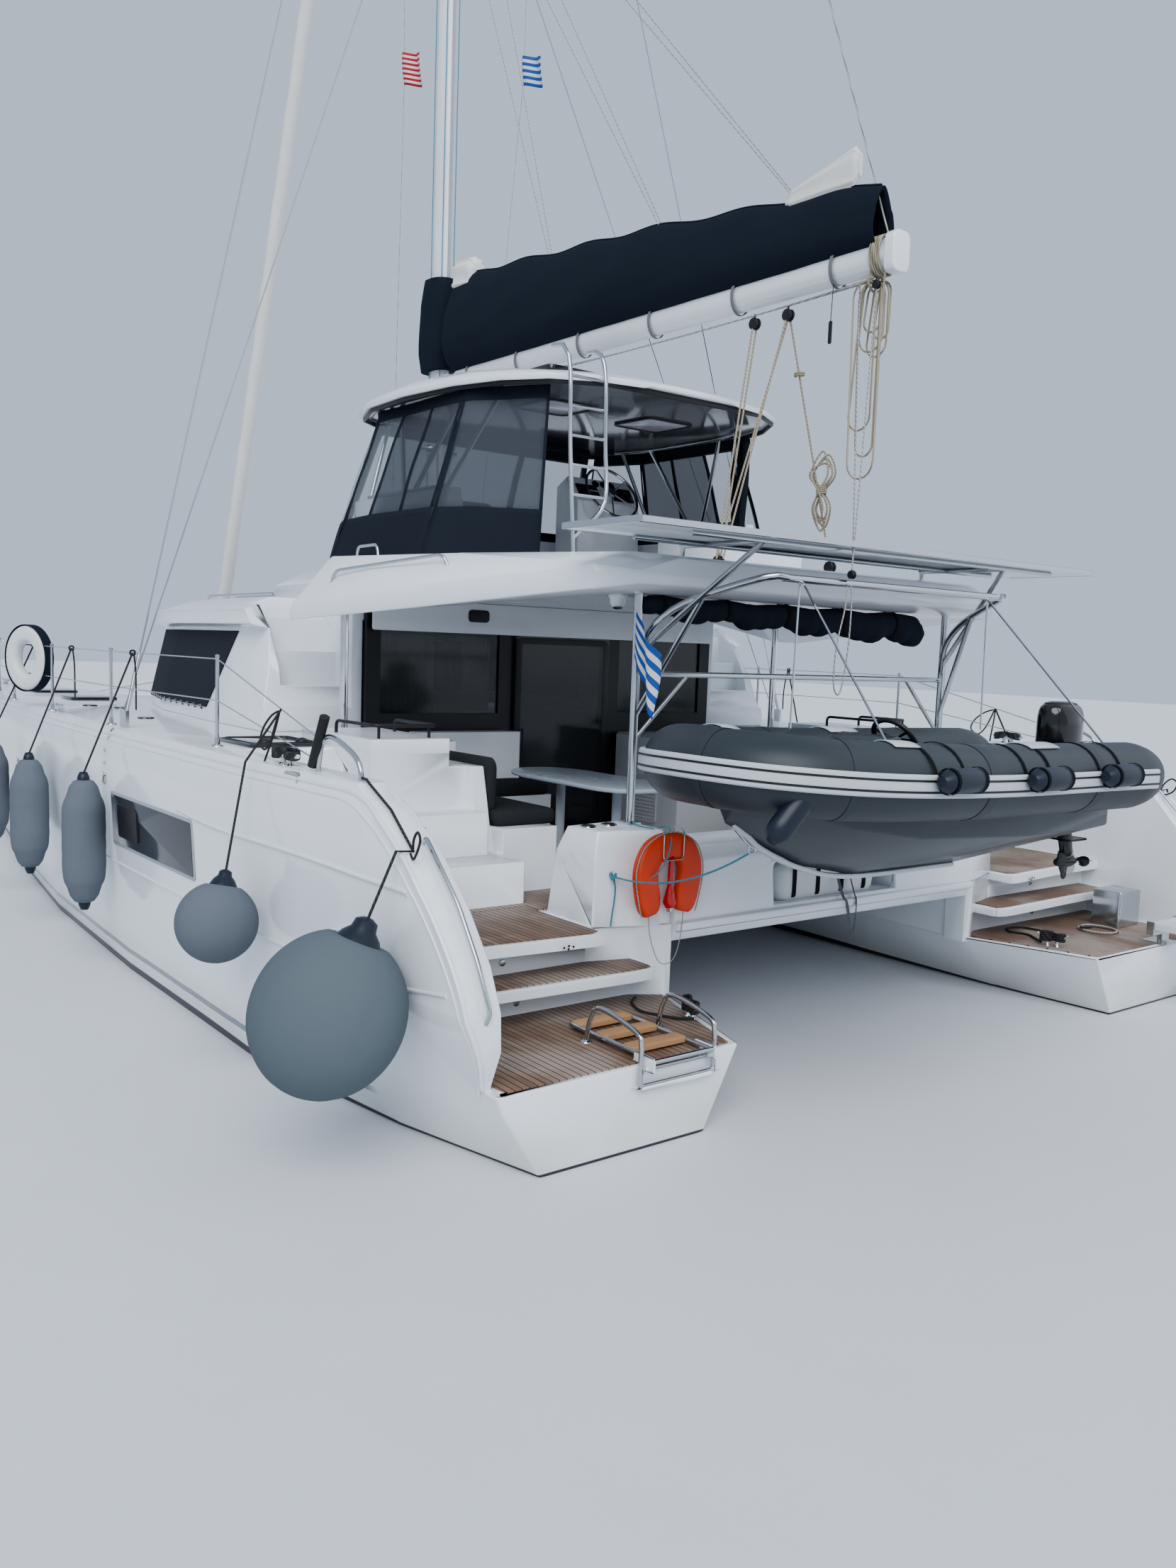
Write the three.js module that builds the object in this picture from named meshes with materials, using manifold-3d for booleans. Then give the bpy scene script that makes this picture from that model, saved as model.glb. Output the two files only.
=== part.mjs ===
// Sailing catamaran of the 14 m cruising class, with its tender in the davits.
// Millimetres: +X forward, +Y to port, +Z up. The origin is on the waterline and the
// centreline, level with the aft edge of the boarding platforms.
import * as THREE from 'three';
import { mergeVertices } from 'three/addons/utils/BufferGeometryUtils.js';
import Module from 'manifold-3d';

const wasm = await Module();
wasm.setup();

// Driving dimensions
const GAP = 0.3;             // between pieces that touch
const LENGTH = 13990;        // stem to platform edge
const DECK = 1950;           // side decks and foredeck above the waterline
const SOLE = 950;            // cockpit and saloon floor
const BRIDGE_UNDER = 830;    // underside between the hulls
const SEAM = 1600;           // hull meets bridgedeck, from the centreline
const BRIDGE_FRONT = 10300;  // forward face of the bridgedeck
const PLATFORM = 480;        // boarding platform
const STEP = 715;            // second step
const BENCH = 1420;          // cockpit seat mouldings
const CABIN_AFT = 4660;      // aft end of the coachroof
const CABIN_TOP = 3080;      // flat top of the coachroof
const ROOF_TOP = 3380;       // flybridge deck at the centreline
const MAST = { x: 6900, foot: CABIN_TOP, head: 21000, length: 300, width: 170 };
const GOOSENECK = { x: 6700, z: 5490 };
const BOOM_AFT = 780;
const HOUND = 19600;
const SPREADER = { z: 12000, tipX: 6350, tipY: 1250 };
const CHAINPLATE = [5280, 3800, 2060];
const TACK = [13400, 0, 2350];
const BEAM_X = 12500;        // forward crossbeam
const TENDER = { x: -120, stern: -900, transom: -680, bow: 2600, tube: 215, rail: 2050, half: 640 };
const KEEL = { x: 6500, y: 2900, chord: 2450, depth: -1350 };
const DRIVE = { x: 2350, y: 2840, shaft: -620 };
const RUDDER = { x: 1050, y: 2780, top: -230, bottom: -1150, chord: 560 };
const STOCK = 28;            // rudder stock's radius
const HARDTOP = { edge: 4790, under: 4810 };

// Making and joining solids

// A closed mesh becomes a solid, its faces turned outwards.
function solid(geometry) {
  const bare = geometry.clone();
  for (const name of ['normal', 'uv']) bare.deleteAttribute(name);
  const merged = mergeVertices(bare, 1e-3);
  const position = merged.attributes.position.array;
  const index = merged.index.array;
  const faces = [];
  let volume = 0;
  const corner = (i) => new THREE.Vector3().fromArray(position, 3 * i);
  for (let i = 0; i < index.length; i += 3) {
    const [a, b, c] = [index[i], index[i + 1], index[i + 2]];
    if (a === b || b === c || c === a) continue;
    faces.push(a, b, c);
    volume += corner(a).dot(corner(b).cross(corner(c)));
  }
  if (volume < 0) faces.reverse();
  return new wasm.Manifold(new wasm.Mesh({
    numProp: 3,
    vertProperties: new Float32Array(position),
    triVerts: new Uint32Array(faces),
  }));
}

function toGeometry(body) {
  const mesh = body.getMesh();
  const geometry = new THREE.BufferGeometry();
  geometry.setAttribute('position', new THREE.BufferAttribute(new Float32Array(mesh.vertProperties), 3));
  geometry.setIndex(new THREE.BufferAttribute(new Uint32Array(mesh.triVerts), 1));
  geometry.computeVertexNormals();
  return geometry;
}

const join = (first, ...rest) => rest.reduce((sum, next) => sum.add(next), first);
const cut = (first, ...rest) => rest.reduce((left, next) => left.subtract(next), first);

// A cut that leaves the seating gap on every side of the other piece.
function cutClear(first, other) {
  const geometry = toGeometry(other);
  const steps = [[1, 0, 0], [-1, 0, 0], [0, 1, 0], [0, -1, 0], [0, 0, 1], [0, 0, -1]];
  return cut(first, ...steps.map((step) => solid(geometry.clone().translate(...step.map((k) => k * GAP)))));
}

// The same solid on the other side of the centreline.
function mirrored(body) {
  const geometry = toGeometry(body);
  geometry.scale(1, -1, 1);
  return solid(geometry);
}
const bothSides = (body) => join(body, mirrored(body));

function block(x0, x1, y0, y1, z0, z1) {
  const box = new THREE.BoxGeometry(x1 - x0, y1 - y0, z1 - z0);
  return solid(box.translate((x0 + x1) / 2, (y0 + y1) / 2, (z0 + z1) / 2));
}

// A round or tapered bar between two points.
function rod(from, to, radius, sides = 8, endRadius = radius) {
  const a = new THREE.Vector3(...from);
  const along = new THREE.Vector3(...to).sub(a);
  const bar = new THREE.CylinderGeometry(endRadius, radius, along.length(), sides);
  const turn = new THREE.Quaternion().setFromUnitVectors(new THREE.Vector3(0, 1, 0),
    along.clone().normalize());
  bar.applyQuaternion(turn).translate(...a.addScaledVector(along, 0.5).toArray());
  return solid(bar);
}

// A bent tube through a list of points.
function tube(points, radius, steps = 4 * points.length, sides = 8, tension = 0.5) {
  const path = new THREE.CatmullRomCurve3(points.map((p) => new THREE.Vector3(...p)), false, 'catmullrom',
    tension);
  const ring = [...Array(sides).keys()].map((i) => {
    const angle = (2 * Math.PI * i) / sides;
    return new THREE.Vector2(radius * Math.cos(angle), radius * Math.sin(angle));
  });
  return solid(new THREE.ExtrudeGeometry(new THREE.Shape(ring),
    { steps, extrudePath: path, bevelEnabled: false }));
}

// An outline of pairs pushed along an axis: (x, y) along z, (x, z) along y, (y, z) along x.
function prism(axis, outline, from, to) {
  const shape = new THREE.Shape(outline.map((p) => new THREE.Vector2(...p)));
  const geometry = new THREE.ExtrudeGeometry(shape, { depth: to - from, bevelEnabled: false });
  const [X, Y, Z] = [[1, 0, 0], [0, 1, 0], [0, 0, 1]].map((v) => new THREE.Vector3(...v));
  const basis = new THREE.Matrix4();
  if (axis === 'y') basis.makeBasis(X, Z, Y.clone().negate()).setPosition(0, to, 0);
  else if (axis === 'x') basis.makeBasis(Y, Z, X).setPosition(from, 0, 0);
  else basis.setPosition(0, 0, from);
  return solid(geometry.applyMatrix4(basis));
}

// A skin over rings with the same number of points, closed by a fan at each end. A twisted
// sheet folds along the shorter diagonal of each of its fields, alike on both faces.
function loft(rings, twisted = false) {
  const count = rings[0].length;
  const points = rings.flat();
  const span = (p, q) => Math.hypot(...points[p].map((v, k) => v - points[q][k]));
  const faces = [];
  for (let r = 0; r + 1 < rings.length; r++) {
    for (let i = 0; i < count; i++) {
      const j = (i + 1) % count;
      const [a, b, c, d] = [r * count + i, r * count + j, (r + 1) * count + j, (r + 1) * count + i];
      if (twisted && span(b, d) < span(a, c)) faces.push(b, c, d, b, d, a);
      else faces.push(a, b, c, a, c, d);
    }
  }
  for (const [ring, first, flip] of [[rings[0], 0, true],
    [rings.at(-1), (rings.length - 1) * count, false]]) {
    const centre = points.length;
    points.push([0, 1, 2].map((k) => ring.reduce((sum, p) => sum + p[k], 0) / count));
    for (let i = 0; i < count; i++) {
      const [a, b] = [first + i, first + ((i + 1) % count)];
      faces.push(centre, flip ? b : a, flip ? a : b);
    }
  }
  const geometry = new THREE.BufferGeometry();
  geometry.setAttribute('position', new THREE.BufferAttribute(new Float32Array(points.flat()), 3));
  geometry.setIndex(faces);
  return solid(geometry);
}

// A sweep of an ellipse along x, y or z stations: rows of centre and two half sizes.
const ellipse = (sides, place) => [...Array(sides).keys()].map((i) => {
  const angle = (2 * Math.PI * i) / sides;
  return place(Math.cos(angle), Math.sin(angle));
});

// A symmetric foil standing in z: its outline is closed and starts at the nose.
function foil(x, y, chord, thickness) {
  const stations = [[0, 0], [0.04, 0.33], [0.15, 0.48], [0.35, 0.5], [0.65, 0.33], [1, 0.02]];
  const side = (sign, rows) => rows.map(([t, w]) => [x - t * chord, y + sign * w * thickness]);
  return [...side(1, stations), ...side(-1, stations.slice(1).reverse())];
}

// The scene graph
const catamaran = new THREE.Group();
catamaran.name = 'sailing_catamaran';

const FINISH = {
  gelcoat: { color: 0xf2f4f5, roughness: 0.25, metalness: 0 },
  steel: { color: 0xc8ccd0, roughness: 0.2, metalness: 1 },
  alloy: { color: 0xe6e9ec, roughness: 0.35, metalness: 0.3 },
  antifouling: { color: 0x1b2430, roughness: 0.8, metalness: 0 },
  glass: { color: 0x10151a, roughness: 0.08, metalness: 0 },
  navy: { color: 0x18222e, roughness: 0.9, metalness: 0 },
  canvas: { color: 0x1a2028, roughness: 0.9, metalness: 0 },
  cushion: { color: 0x2b3036, roughness: 0.9, metalness: 0 },
  teak: { color: 0x8a6f55, roughness: 0.7, metalness: 0 },
  hypalon: { color: 0x5b6770, roughness: 0.7, metalness: 0 },
  black: { color: 0x15171a, roughness: 0.5, metalness: 0 },
  orange: { color: 0xd8431f, roughness: 0.6, metalness: 0 },
  table: { color: 0xb9c2cc, roughness: 0.4, metalness: 0 },
  sail: { color: 0xe9e7df, roughness: 0.8, metalness: 0 },
};

// One named mesh. A place puts a piece that turns on its own pivot.
function add(name, body, finish, place = [0, 0, 0]) {
  const mesh = new THREE.Mesh(toGeometry(body), new THREE.MeshStandardMaterial(FINISH[finish]));
  mesh.name = name;
  mesh.position.set(...place);
  catamaran.add(mesh);
}

// Hulls

// Sections of the port hull; y is from the centreline, all at z = 0 unless named.
const HULL_COLUMNS = ['x', 'keelZ', 'keelY', 'inWater', 'inPlatform', 'outWater', 'inKnuckle', 'outKnuckle',
  'outMax', 'deck'];
const HULL_TABLE = [
  [0, -60, 2760, 2180, 1940, 3330, 1930, 3770, 3810, DECK],
  [1000, -230, 2790, 2100, 1625, 3590, SEAM, 3850, 3900, DECK],
  [2500, -400, 2830, 2060, 1690, 3840, SEAM, 3930, 3970, DECK],
  [5000, -540, 2870, 2040, 1740, 3850, SEAM, 3950, 3980, DECK],
  [7500, -560, 2890, 2090, 1780, 3760, SEAM, 3880, 3940, DECK],
  [BRIDGE_FRONT, -470, 2900, 2300, 1895, 3480, SEAM, 3640, 3760, DECK],
  [10650, -440, 2910, 2350, 2217, 3420, 2120, 3580, 3700, DECK],
  [11800, -330, 2930, 2570, 2483, 3240, 2420, 3370, 3480, 1970],
  [13000, -170, 2940, 2790, 2750, 3080, 2720, 3150, 3230, 2000],
  [LENGTH - 120, -20, 2950, 2915, 2900, 2985, 2890, 3015, 3040, 2030],
  [LENGTH, 60, 2950, 2930, 2924, 2970, 2920, 2985, 2995, 2035],
];

function hullSection(row) {
  const s = Object.fromEntries(HULL_COLUMNS.map((name, i) => [name, row[i]]));
  const bilge = (side) => s.keelY + 0.74 * (side - s.keelY);
  const chineY = s.outWater + 0.55 * (s.outKnuckle - s.outWater);
  return [
    [s.keelY, s.keelZ],
    [bilge(s.outWater), 0.7 * s.keelZ + 0.3 * Math.max(s.keelZ, 0)],
    [s.outWater, Math.max(0, s.keelZ + 40)],
    [chineY, 380],
    [s.outKnuckle, 880],
    [s.outMax, 1500],
    [s.outMax - 12, s.deck - 150],
    [s.outMax - 75, s.deck],
    [s.inKnuckle + GAP, s.deck],
    [s.inKnuckle + GAP, BRIDGE_UNDER],
    [s.inPlatform, PLATFORM - 15],
    [s.inWater, Math.max(0, s.keelZ + 40)],
    [bilge(s.inWater), 0.7 * s.keelZ + 0.3 * Math.max(s.keelZ, 0)],
  ].map(([y, z]) => [s.x, y, z]);
}

// The quarter's fin sweeps down from the deck to the platform (x, z).
const QUARTER_SWEEP = [
  [-400, PLATFORM], [110, PLATFORM], [30, 700], [40, 900], [130, 1120], [300, 1370], [520, 1600],
  [820, 1820], [1080, DECK - 20], [1200, DECK + 60], [-400, DECK + 60],
];
// The boarding steps in side view: each tread overhangs its riser.
const STAIR_PROFILE = [
  [-400, PLATFORM], [1100, PLATFORM], [1100, STEP - 62], [870, STEP - 62], [870, STEP], [1175, STEP],
  [1175, SOLE - 66], [1030, SOLE - 66], [1030, SOLE], [2300, SOLE], [2300, DECK + 60], [-400, DECK + 60],
];
// Where the treads end inboard, and the pillar between the hull and the crossbeam (x, y).
const TREAD_ENDS = { step: 1830, sole: 2165 };
const PILLAR = [
  [985, SEAM + GAP], [985, 1680], [1080, 1850], [1150, 2130], [1185, 2175], [1185, SEAM + GAP],
];
// How wide the way down is at each place.
const WELL_SIDE = 3640;
const STAIR_WIDTH = [
  [-400, 1000], [-400, 3600], [0, 3560], [330, 3600], [900, WELL_SIDE], [2301, WELL_SIDE], [2301, 1000],
];
// Cuts behind the well that step up to the side deck: x, y and z of each floor.
const LEDGE_COLUMNS = ['x0', 'x1', 'y0', 'y1', 'floor'];
const LEDGES = [
  [2299, 3500, 1000, 2080, BENCH],
  [2299, 3120, 2079, 2340, 1850],
  [2299, 2620, 2200, WELL_SIDE, 1550],
  [2619, 2910, 2970, WELL_SIDE, 1550],
  [2909, 3200, 2970, WELL_SIDE, 1750],
];
// The seat's arm leans forward over its aft face (x, z).
const ARM_FACE = [[2290, 1250], [2420, 1250], [2570, 1851], [2570, DECK + 60], [2290, DECK + 60]];
// The low locker under the davit post: its plan (x, y) at three heights; it narrows upwards.
const LOCKER_PLAN = [
  [SOLE - 5, [[1005, SEAM + GAP], [1005, 1695], [1145, 2148], [1650, 2148], [1690, SEAM + GAP]]],
  [1400, [[1025, SEAM + GAP], [1025, 1700], [1155, 2135], [1570, 2140], [1620, SEAM + GAP]]],
  [1560, [[1120, SEAM + GAP], [1120, 1710], [1210, 2080], [1500, 2110], [1560, SEAM + GAP]]],
];
const SALOON = { aft: CABIN_AFT + 90, fore: 9500, half: 2250 };

// Mooring cleats: where each stands on the deck.
const CLEATS = [[2150, 3790, DECK], [7300, 3790, DECK], [12500, 3150, 1985]];
function cleat([x, y, z]) {
  const legs = [-45, 45].map((dx) => rod([x + dx, y, z - 20], [x + dx, y, z + 50], 13, 8));
  return join(block(x - 140, x + 140, y - 16, y + 16, z + 44, z + 66), ...legs);
}

// The swim ladder's two ears stand past the platform's aft edge.
const SWIM = { x: -75, z: PLATFORM + 36, y0: 2230, y1: 2630, length: 700 };
const swimEar = (y0, y1) => block(SWIM.x - 22, 80, y0, y1, PLATFORM - 25, SWIM.z + 20);

function portHull() {
  const shell = loft(HULL_TABLE.map(hullSection));
  const above = prism('y', QUARTER_SWEEP, 1000, 4200);
  const stairs = prism('y', STAIR_PROFILE, 900, 4000).intersect(prism('z', STAIR_WIDTH, 0, 2400));
  const ledges = LEDGES.map((row) => {
    const s = Object.fromEntries(LEDGE_COLUMNS.map((name, i) => [name, row[i]]));
    return block(s.x0, s.x1, s.y0, s.y1, s.floor, DECK + 60);
  });
  const armFace = prism('y', ARM_FACE, 2079, 2201);
  const topStep = block(1950, 2310, 2120, WELL_SIDE + 10, SOLE - 1, 1250);
  const tray = block(2620, 3750, 2340, 2970, DECK - 5, 2050);
  const saloon = block(SALOON.aft, SALOON.fore, 1000, SALOON.half, SOLE, DECK + 60);
  const cockpitFront = block(3499, SALOON.aft + 1, 1000, 1750, SOLE, DECK + 60);
  const locker = loft(LOCKER_PLAN.map(([z, plan]) => plan.map(([x, y]) => [x, y, z])));
  const inboard = [
    block(840, 1100, 1000, TREAD_ENDS.step, PLATFORM, STEP + 5),
    block(1000, 1175, 1000, TREAD_ENDS.sole, STEP, SOLE + 5),
  ];
  const pillar = prism('z', PILLAR, PLATFORM - 40, SOLE);
  const carved = cut(shell, above, stairs, ...ledges, armFace, saloon, cockpitFront, ...inboard);
  return join(carved, locker, pillar, topStep, tray, ...CLEATS.map(cleat));
}

// Keels, drives and rudders hang under the port hull; the other side is their mirror.
function keelBody() {
  const plan = (t, z) => {
    const nose = KEEL.x + KEEL.chord * (0.5 - 0.12 * t);
    return foil(nose, KEEL.y, KEEL.chord * (1 - 0.22 * t), 290).map(([x, y]) => [x, y, z]);
  };
  return loft([plan(0, -400), plan(1, KEEL.depth)]);
}

function driveLeg() {
  const strut = (z, grow) => foil(DRIVE.x + 130 * grow, DRIVE.y, 300 * grow, 90).map(([x, y]) => [x, y, z]);
  const leg = loft([strut(-330, 1.2), strut(DRIVE.shaft, 0.9)]);
  const gear = rod([DRIVE.x + 150, DRIVE.y, DRIVE.shaft], [DRIVE.x - 190, DRIVE.y, DRIVE.shaft], 30, 12, 62);
  return join(leg, gear);
}

// Three blades on a hub whose front face is at x = 0, turning about x.
function propeller(radius, hubRadius, hubLength) {
  let wheel = rod([0, 0, 0], [-hubLength, 0, 0], hubRadius, 12, hubRadius * 0.6);
  const blade = new THREE.Shape();
  blade.moveTo(-0.35 * hubRadius, 0.4 * hubRadius);
  blade.bezierCurveTo(-0.5 * radius, 0.5 * radius, -0.35 * radius, radius, 0.05 * radius, radius);
  blade.bezierCurveTo(0.42 * radius, 0.9 * radius, 0.36 * radius, 0.5 * radius, 0.35 * hubRadius,
    0.4 * hubRadius);
  for (let i = 0; i < 3; i++) {
    const flat = new THREE.ExtrudeGeometry(blade, { depth: 8, bevelEnabled: false, curveSegments: 5 });
    flat.translate(0, 0, -4).rotateY(Math.PI / 2 - 0.5).translate(-hubLength * 0.45, 0, 0);
    flat.rotateX((2 * Math.PI * i) / 3);
    wheel = join(wheel, solid(flat));
  }
  return wheel;
}

function rudderBlade() {
  const plan = (chord, z, shift) => {
    const outline = foil(0.27 * RUDDER.chord + shift, 0, chord, 0.16 * chord);
    return outline.map(([x, y]) => [x, y, z]);
  };
  const blade = loft([plan(RUDDER.chord, RUDDER.top - 60, 0), plan(0.7 * RUDDER.chord, RUDDER.bottom, -60)]);
  return join(blade, rod([0, 0, RUDDER.top - 80], [0, 0, -120], STOCK, 16));
}

// Two bent handrails beside the ladder carry a fixed rung each side of the platform's edge.
const handrail = (y) => tube([
  [460, y, 470], [420, y, 640], [330, y, 715], [20, y, 665], [-28, y, 600], [-30, y, 500], [-30, y, 370],
], 13, 24);
const fixedRung = (z) => rod([-30, 2160, z], [-30, 2700, z], 11);
const swimEars = join(
  swimEar(SWIM.y0 - 32, SWIM.y0 - 20 - GAP),
  swimEar(SWIM.y1 + 20 + GAP, SWIM.y1 + 32),
  handrail(2160), handrail(2700), fixedRung(466), fixedRung(374),
);
const hull = portHull();
const keel = keelBody();
const hullBored = cut(hull, rod([RUDDER.x, RUDDER.y, -400], [RUDDER.x, RUDDER.y, -110], STOCK + 1, 16));
const seatedKeel = cutClear(keel, hull);
const seatedLeg = cutClear(driveLeg(), hull);

for (const [side, sign] of [['port', 1], ['starboard', -1]]) {
  const place = (body) => (sign > 0 ? body : mirrored(body));
  add(`${side}_hull`, sign > 0 ? join(hullBored, swimEars) : mirrored(hullBored), 'gelcoat');
  add(`${side}_keel`, place(seatedKeel), 'antifouling');
  add(`${side}_saildrive`, place(seatedLeg), 'black');
  add(`${side}_propeller`, propeller(230, 52, 120), 'steel',
    [DRIVE.x - 190 - GAP, sign * DRIVE.y, DRIVE.shaft]);
  add(`${side}_rudder`, rudderBlade(), 'antifouling', [RUDDER.x, sign * RUDDER.y, 0]);
}

// Bridgedeck: sole, aft crossbeam, foredeck and the forward bulkhead
const LOCKER = { half: 665, low: 985, high: 1285, depth: 420 };
function bridgedeck() {
  const inner = SEAM - GAP;
  const profile = [
    [990, BRIDGE_UNDER], [BRIDGE_FRONT - 420, BRIDGE_UNDER], [BRIDGE_FRONT, 1250], [BRIDGE_FRONT, DECK],
    [SALOON.fore, DECK], [SALOON.fore, SOLE], [1600, SOLE], [1600, BENCH], [1080, BENCH + 20],
    [1010, BENCH - 60], [960, BRIDGE_UNDER + 60],
  ];
  const slab = prism('y', profile, -inner, inner);
  const recess = block(900, 1000 + LOCKER.depth, -LOCKER.half, LOCKER.half, LOCKER.low, LOCKER.high);
  const lip = block(930, 1010, -inner, inner, 905, 960);
  const foreSeat = block(3900, 4350, 500, inner, SOLE - 1, BENCH);
  const seatBack = block(4330, 4550, 560, inner, SOLE - 1, 1950);
  return join(cut(slab, recess), lip, foreSeat, seatBack);
}
const crossbeam = bridgedeck();
add('bridgedeck', crossbeam, 'gelcoat');

// Coachroof: a ring of walls with their windows cut, a brow and a flat top

// Half plan at the deck (x, y), from the aft corner to the centreline.
const CABIN_PLAN = [
  [CABIN_AFT, 2900], [6050, 2860], [7600, 2730], [8850, 2440], [9750, 1930], [10120, 1150], [10240, 0],
];
// The plan moved in by a distance square to its sides; its aft ends stay on the aft face.
function planOffset(inward, z) {
  const half = CABIN_PLAN.map(([x, y], i) => {
    const normal = (a, b) => {
      const [dx, dy] = [b[0] - a[0], b[1] - a[1]];
      const length = Math.hypot(dx, dy);
      return [-dy / length, dx / length];
    };
    const before = i > 0 ? normal(CABIN_PLAN[i - 1], CABIN_PLAN[i]) : null;
    const after = i + 1 < CABIN_PLAN.length ? normal(CABIN_PLAN[i], CABIN_PLAN[i + 1]) : null;
    if (!before) return [x, y - inward / after[1], z];
    if (!after) return [x - inward / before[0], 0, z];
    const scale = -inward / (1 + before[0] * after[0] + before[1] * after[1]);
    return [x + scale * (before[0] + after[0]), y + scale * (before[1] + after[1]), z];
  });
  const other = half.slice(0, -1).reverse().map(([x, y]) => [x, -y, z]);
  return [...half, ...other];
}

const WINDOW = { low: 2100, high: 2760, lean: 170, band: 2800 };
const leanAt = (z) => (WINDOW.lean * (z - 2050)) / (WINDOW.band - 2050);

// An opening through one side of the plan, between two shares of its length.
function windowCutter(i, from, to) {
  const [a, b] = [CABIN_PLAN[i], CABIN_PLAN[i + 1]];
  const [dx, dy] = [b[0] - a[0], b[1] - a[1]];
  const length = Math.hypot(dx, dy);
  const [nx, ny] = [-dy / length, dx / length];
  const point = (t, out) => [a[0] + t * dx + out * nx, a[1] + t * dy + out * ny];
  return prism('z', [point(from, -420), point(to, -420), point(to, 200), point(from, 200)], WINDOW.low,
    WINDOW.high);
}

function coachroof() {
  const levels = [[0, DECK + GAP], [0, 2050], [WINDOW.lean, WINDOW.band], [30, 2830], [50, 2960],
    [400, CABIN_TOP]];
  const outer = loft(levels.map(([inward, z]) => planOffset(inward, z)));
  const room = loft([[90, DECK - 50], [90, 2050], [WINDOW.lean + 90, WINDOW.band], [WINDOW.lean + 160, 2900]]
    .map(([inward, z]) => planOffset(inward, z)));
  const aftCorner = block(4400, 5650, 2000, 3100, 1800, 3100);
  const aftOpening = block(4400, 4900, -2000, 2000, DECK - 60, 2900);
  const cavity = join(cut(room, aftCorner, mirrored(aftCorner)), aftOpening);
  const stairs = prism('y',
    [[4500, 2330], [4930, 2330], [4930, 2620], [5200, 2620], [5200, 2900], [5480, 2900],
    [5480, 3300], [4500, 3300]], 2110, 2700);
  const panelTop = prism('y',
    [[4400, 2150], [4700, 2150], [4780, 2480], [4960, 2800], [5250, 3000], [5400, 3200],
    [4400, 3200]], 2105, 3100);
  const openings = [[1, 0.06, 0.94], [2, 0.06, 0.94], [3, 0.1, 0.9], [4, 0.1, 0.9]]
    .map(([i, from, to]) => windowCutter(i, from, to));
  const front = block(9300, 10600, -1000, 1000, WINDOW.low, WINDOW.high);
  let shell = cut(outer, cavity, front);
  for (const piece of [stairs, panelTop, ...openings]) shell = cut(shell, piece, mirrored(piece));
  return shell;
}
add('coachroof', coachroof(), 'gelcoat');

// The dark glazing runs round the coachroof outside its pillars.
function cabinWindows() {
  const [low, high] = [2075, 2770];
  // Its aft edge slants: the top reaches further aft along the side.
  const reach = (z) => 0.01 + (0.28 * (z - low)) / (high - low);
  const ring = (out, z) => {
    const plan = planOffset(leanAt(z) - out, z);
    const along = (corner, next) => next.map((v, k) => v + (corner[k] - v) * reach(z));
    return [along(plan[0], plan[1]), ...plan.slice(1, -1), along(plan.at(-1), plan.at(-2))];
  };
  const [a, b, c, d] = [ring(GAP, low), ring(12, low), ring(12, high), ring(GAP, high)];
  return loft(a.map((point, i) => [point, b[i], c[i], d[i]]));
}
add('cabin_windows', cabinWindows(), 'glass');

// Aft bulkhead of the saloon, with the doorway and the fixed panes
const BULKHEAD = { aft: 4600, fore: CABIN_AFT - GAP, half: 1995, top: 3090 };
const DOOR = { from: -620, to: 480, low: 960, high: 2820, pane: 34 };
function bulkhead() {
  const { aft, fore, half, top } = BULKHEAD;
  const lowHalf = SEAM + 140;
  const low = block(aft, fore, -lowHalf, lowHalf, SOLE + GAP, DECK + 20);
  const wall = join(block(aft, fore, -half, half, DECK + GAP, top), low);
  const doorway = block(aft - 50, fore + 50, DOOR.from + 60, DOOR.to - 60, DOOR.low + 20, DOOR.high - 20);
  const sash = (y0, y1) => join(
    block(aft - 50, fore + 50, y0 + 20, y1 - 20, 2100, 2830),
    block(aft + 20, aft + 32, y0, y1, 2080, 2850),
  );
  const track = block(aft - 44, aft + 10, -1720, 520, DOOR.high + GAP, DOOR.high + 40);
  return join(cut(wall, doorway, sash(620, 1880), sash(-1880, -760)), track);
}
add('saloon_bulkhead', bulkhead(), 'black');
// A pane sits in its groove with the seating gap all round.
const pane = (y0, y1, z0, z1) => block(BULKHEAD.aft + 20 + GAP, BULKHEAD.aft + 32 - GAP, y0 + GAP,
  y1 - GAP, z0 + GAP, z1 - GAP);
add('saloon_pane_port', pane(620, 1880, 2080, 2850), 'glass');
add('saloon_pane_starboard', pane(-1880, -760, 2080, 2850), 'glass');
// The door hangs just aft of the wall and slides to starboard.
function saloonDoor() {
  const [x0, x1] = [BULKHEAD.aft - 6 - DOOR.pane, BULKHEAD.aft - 6];
  const frame = block(x0, x1, DOOR.from, DOOR.to, DOOR.low + 5, DOOR.high);
  const handle = join(
    rod([x0 + 5, DOOR.to - 70, 1650], [x0 - 40, DOOR.to - 70, 1650], 8),
    rod([x0 + 5, DOOR.to - 70, 1950], [x0 - 40, DOOR.to - 70, 1950], 8),
    rod([x0 - 40, DOOR.to - 70, 1640], [x0 - 40, DOOR.to - 70, 1960], 10),
  );
  return join(frame, handle);
}
add('saloon_door', saloonDoor(), 'glass');

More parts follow.
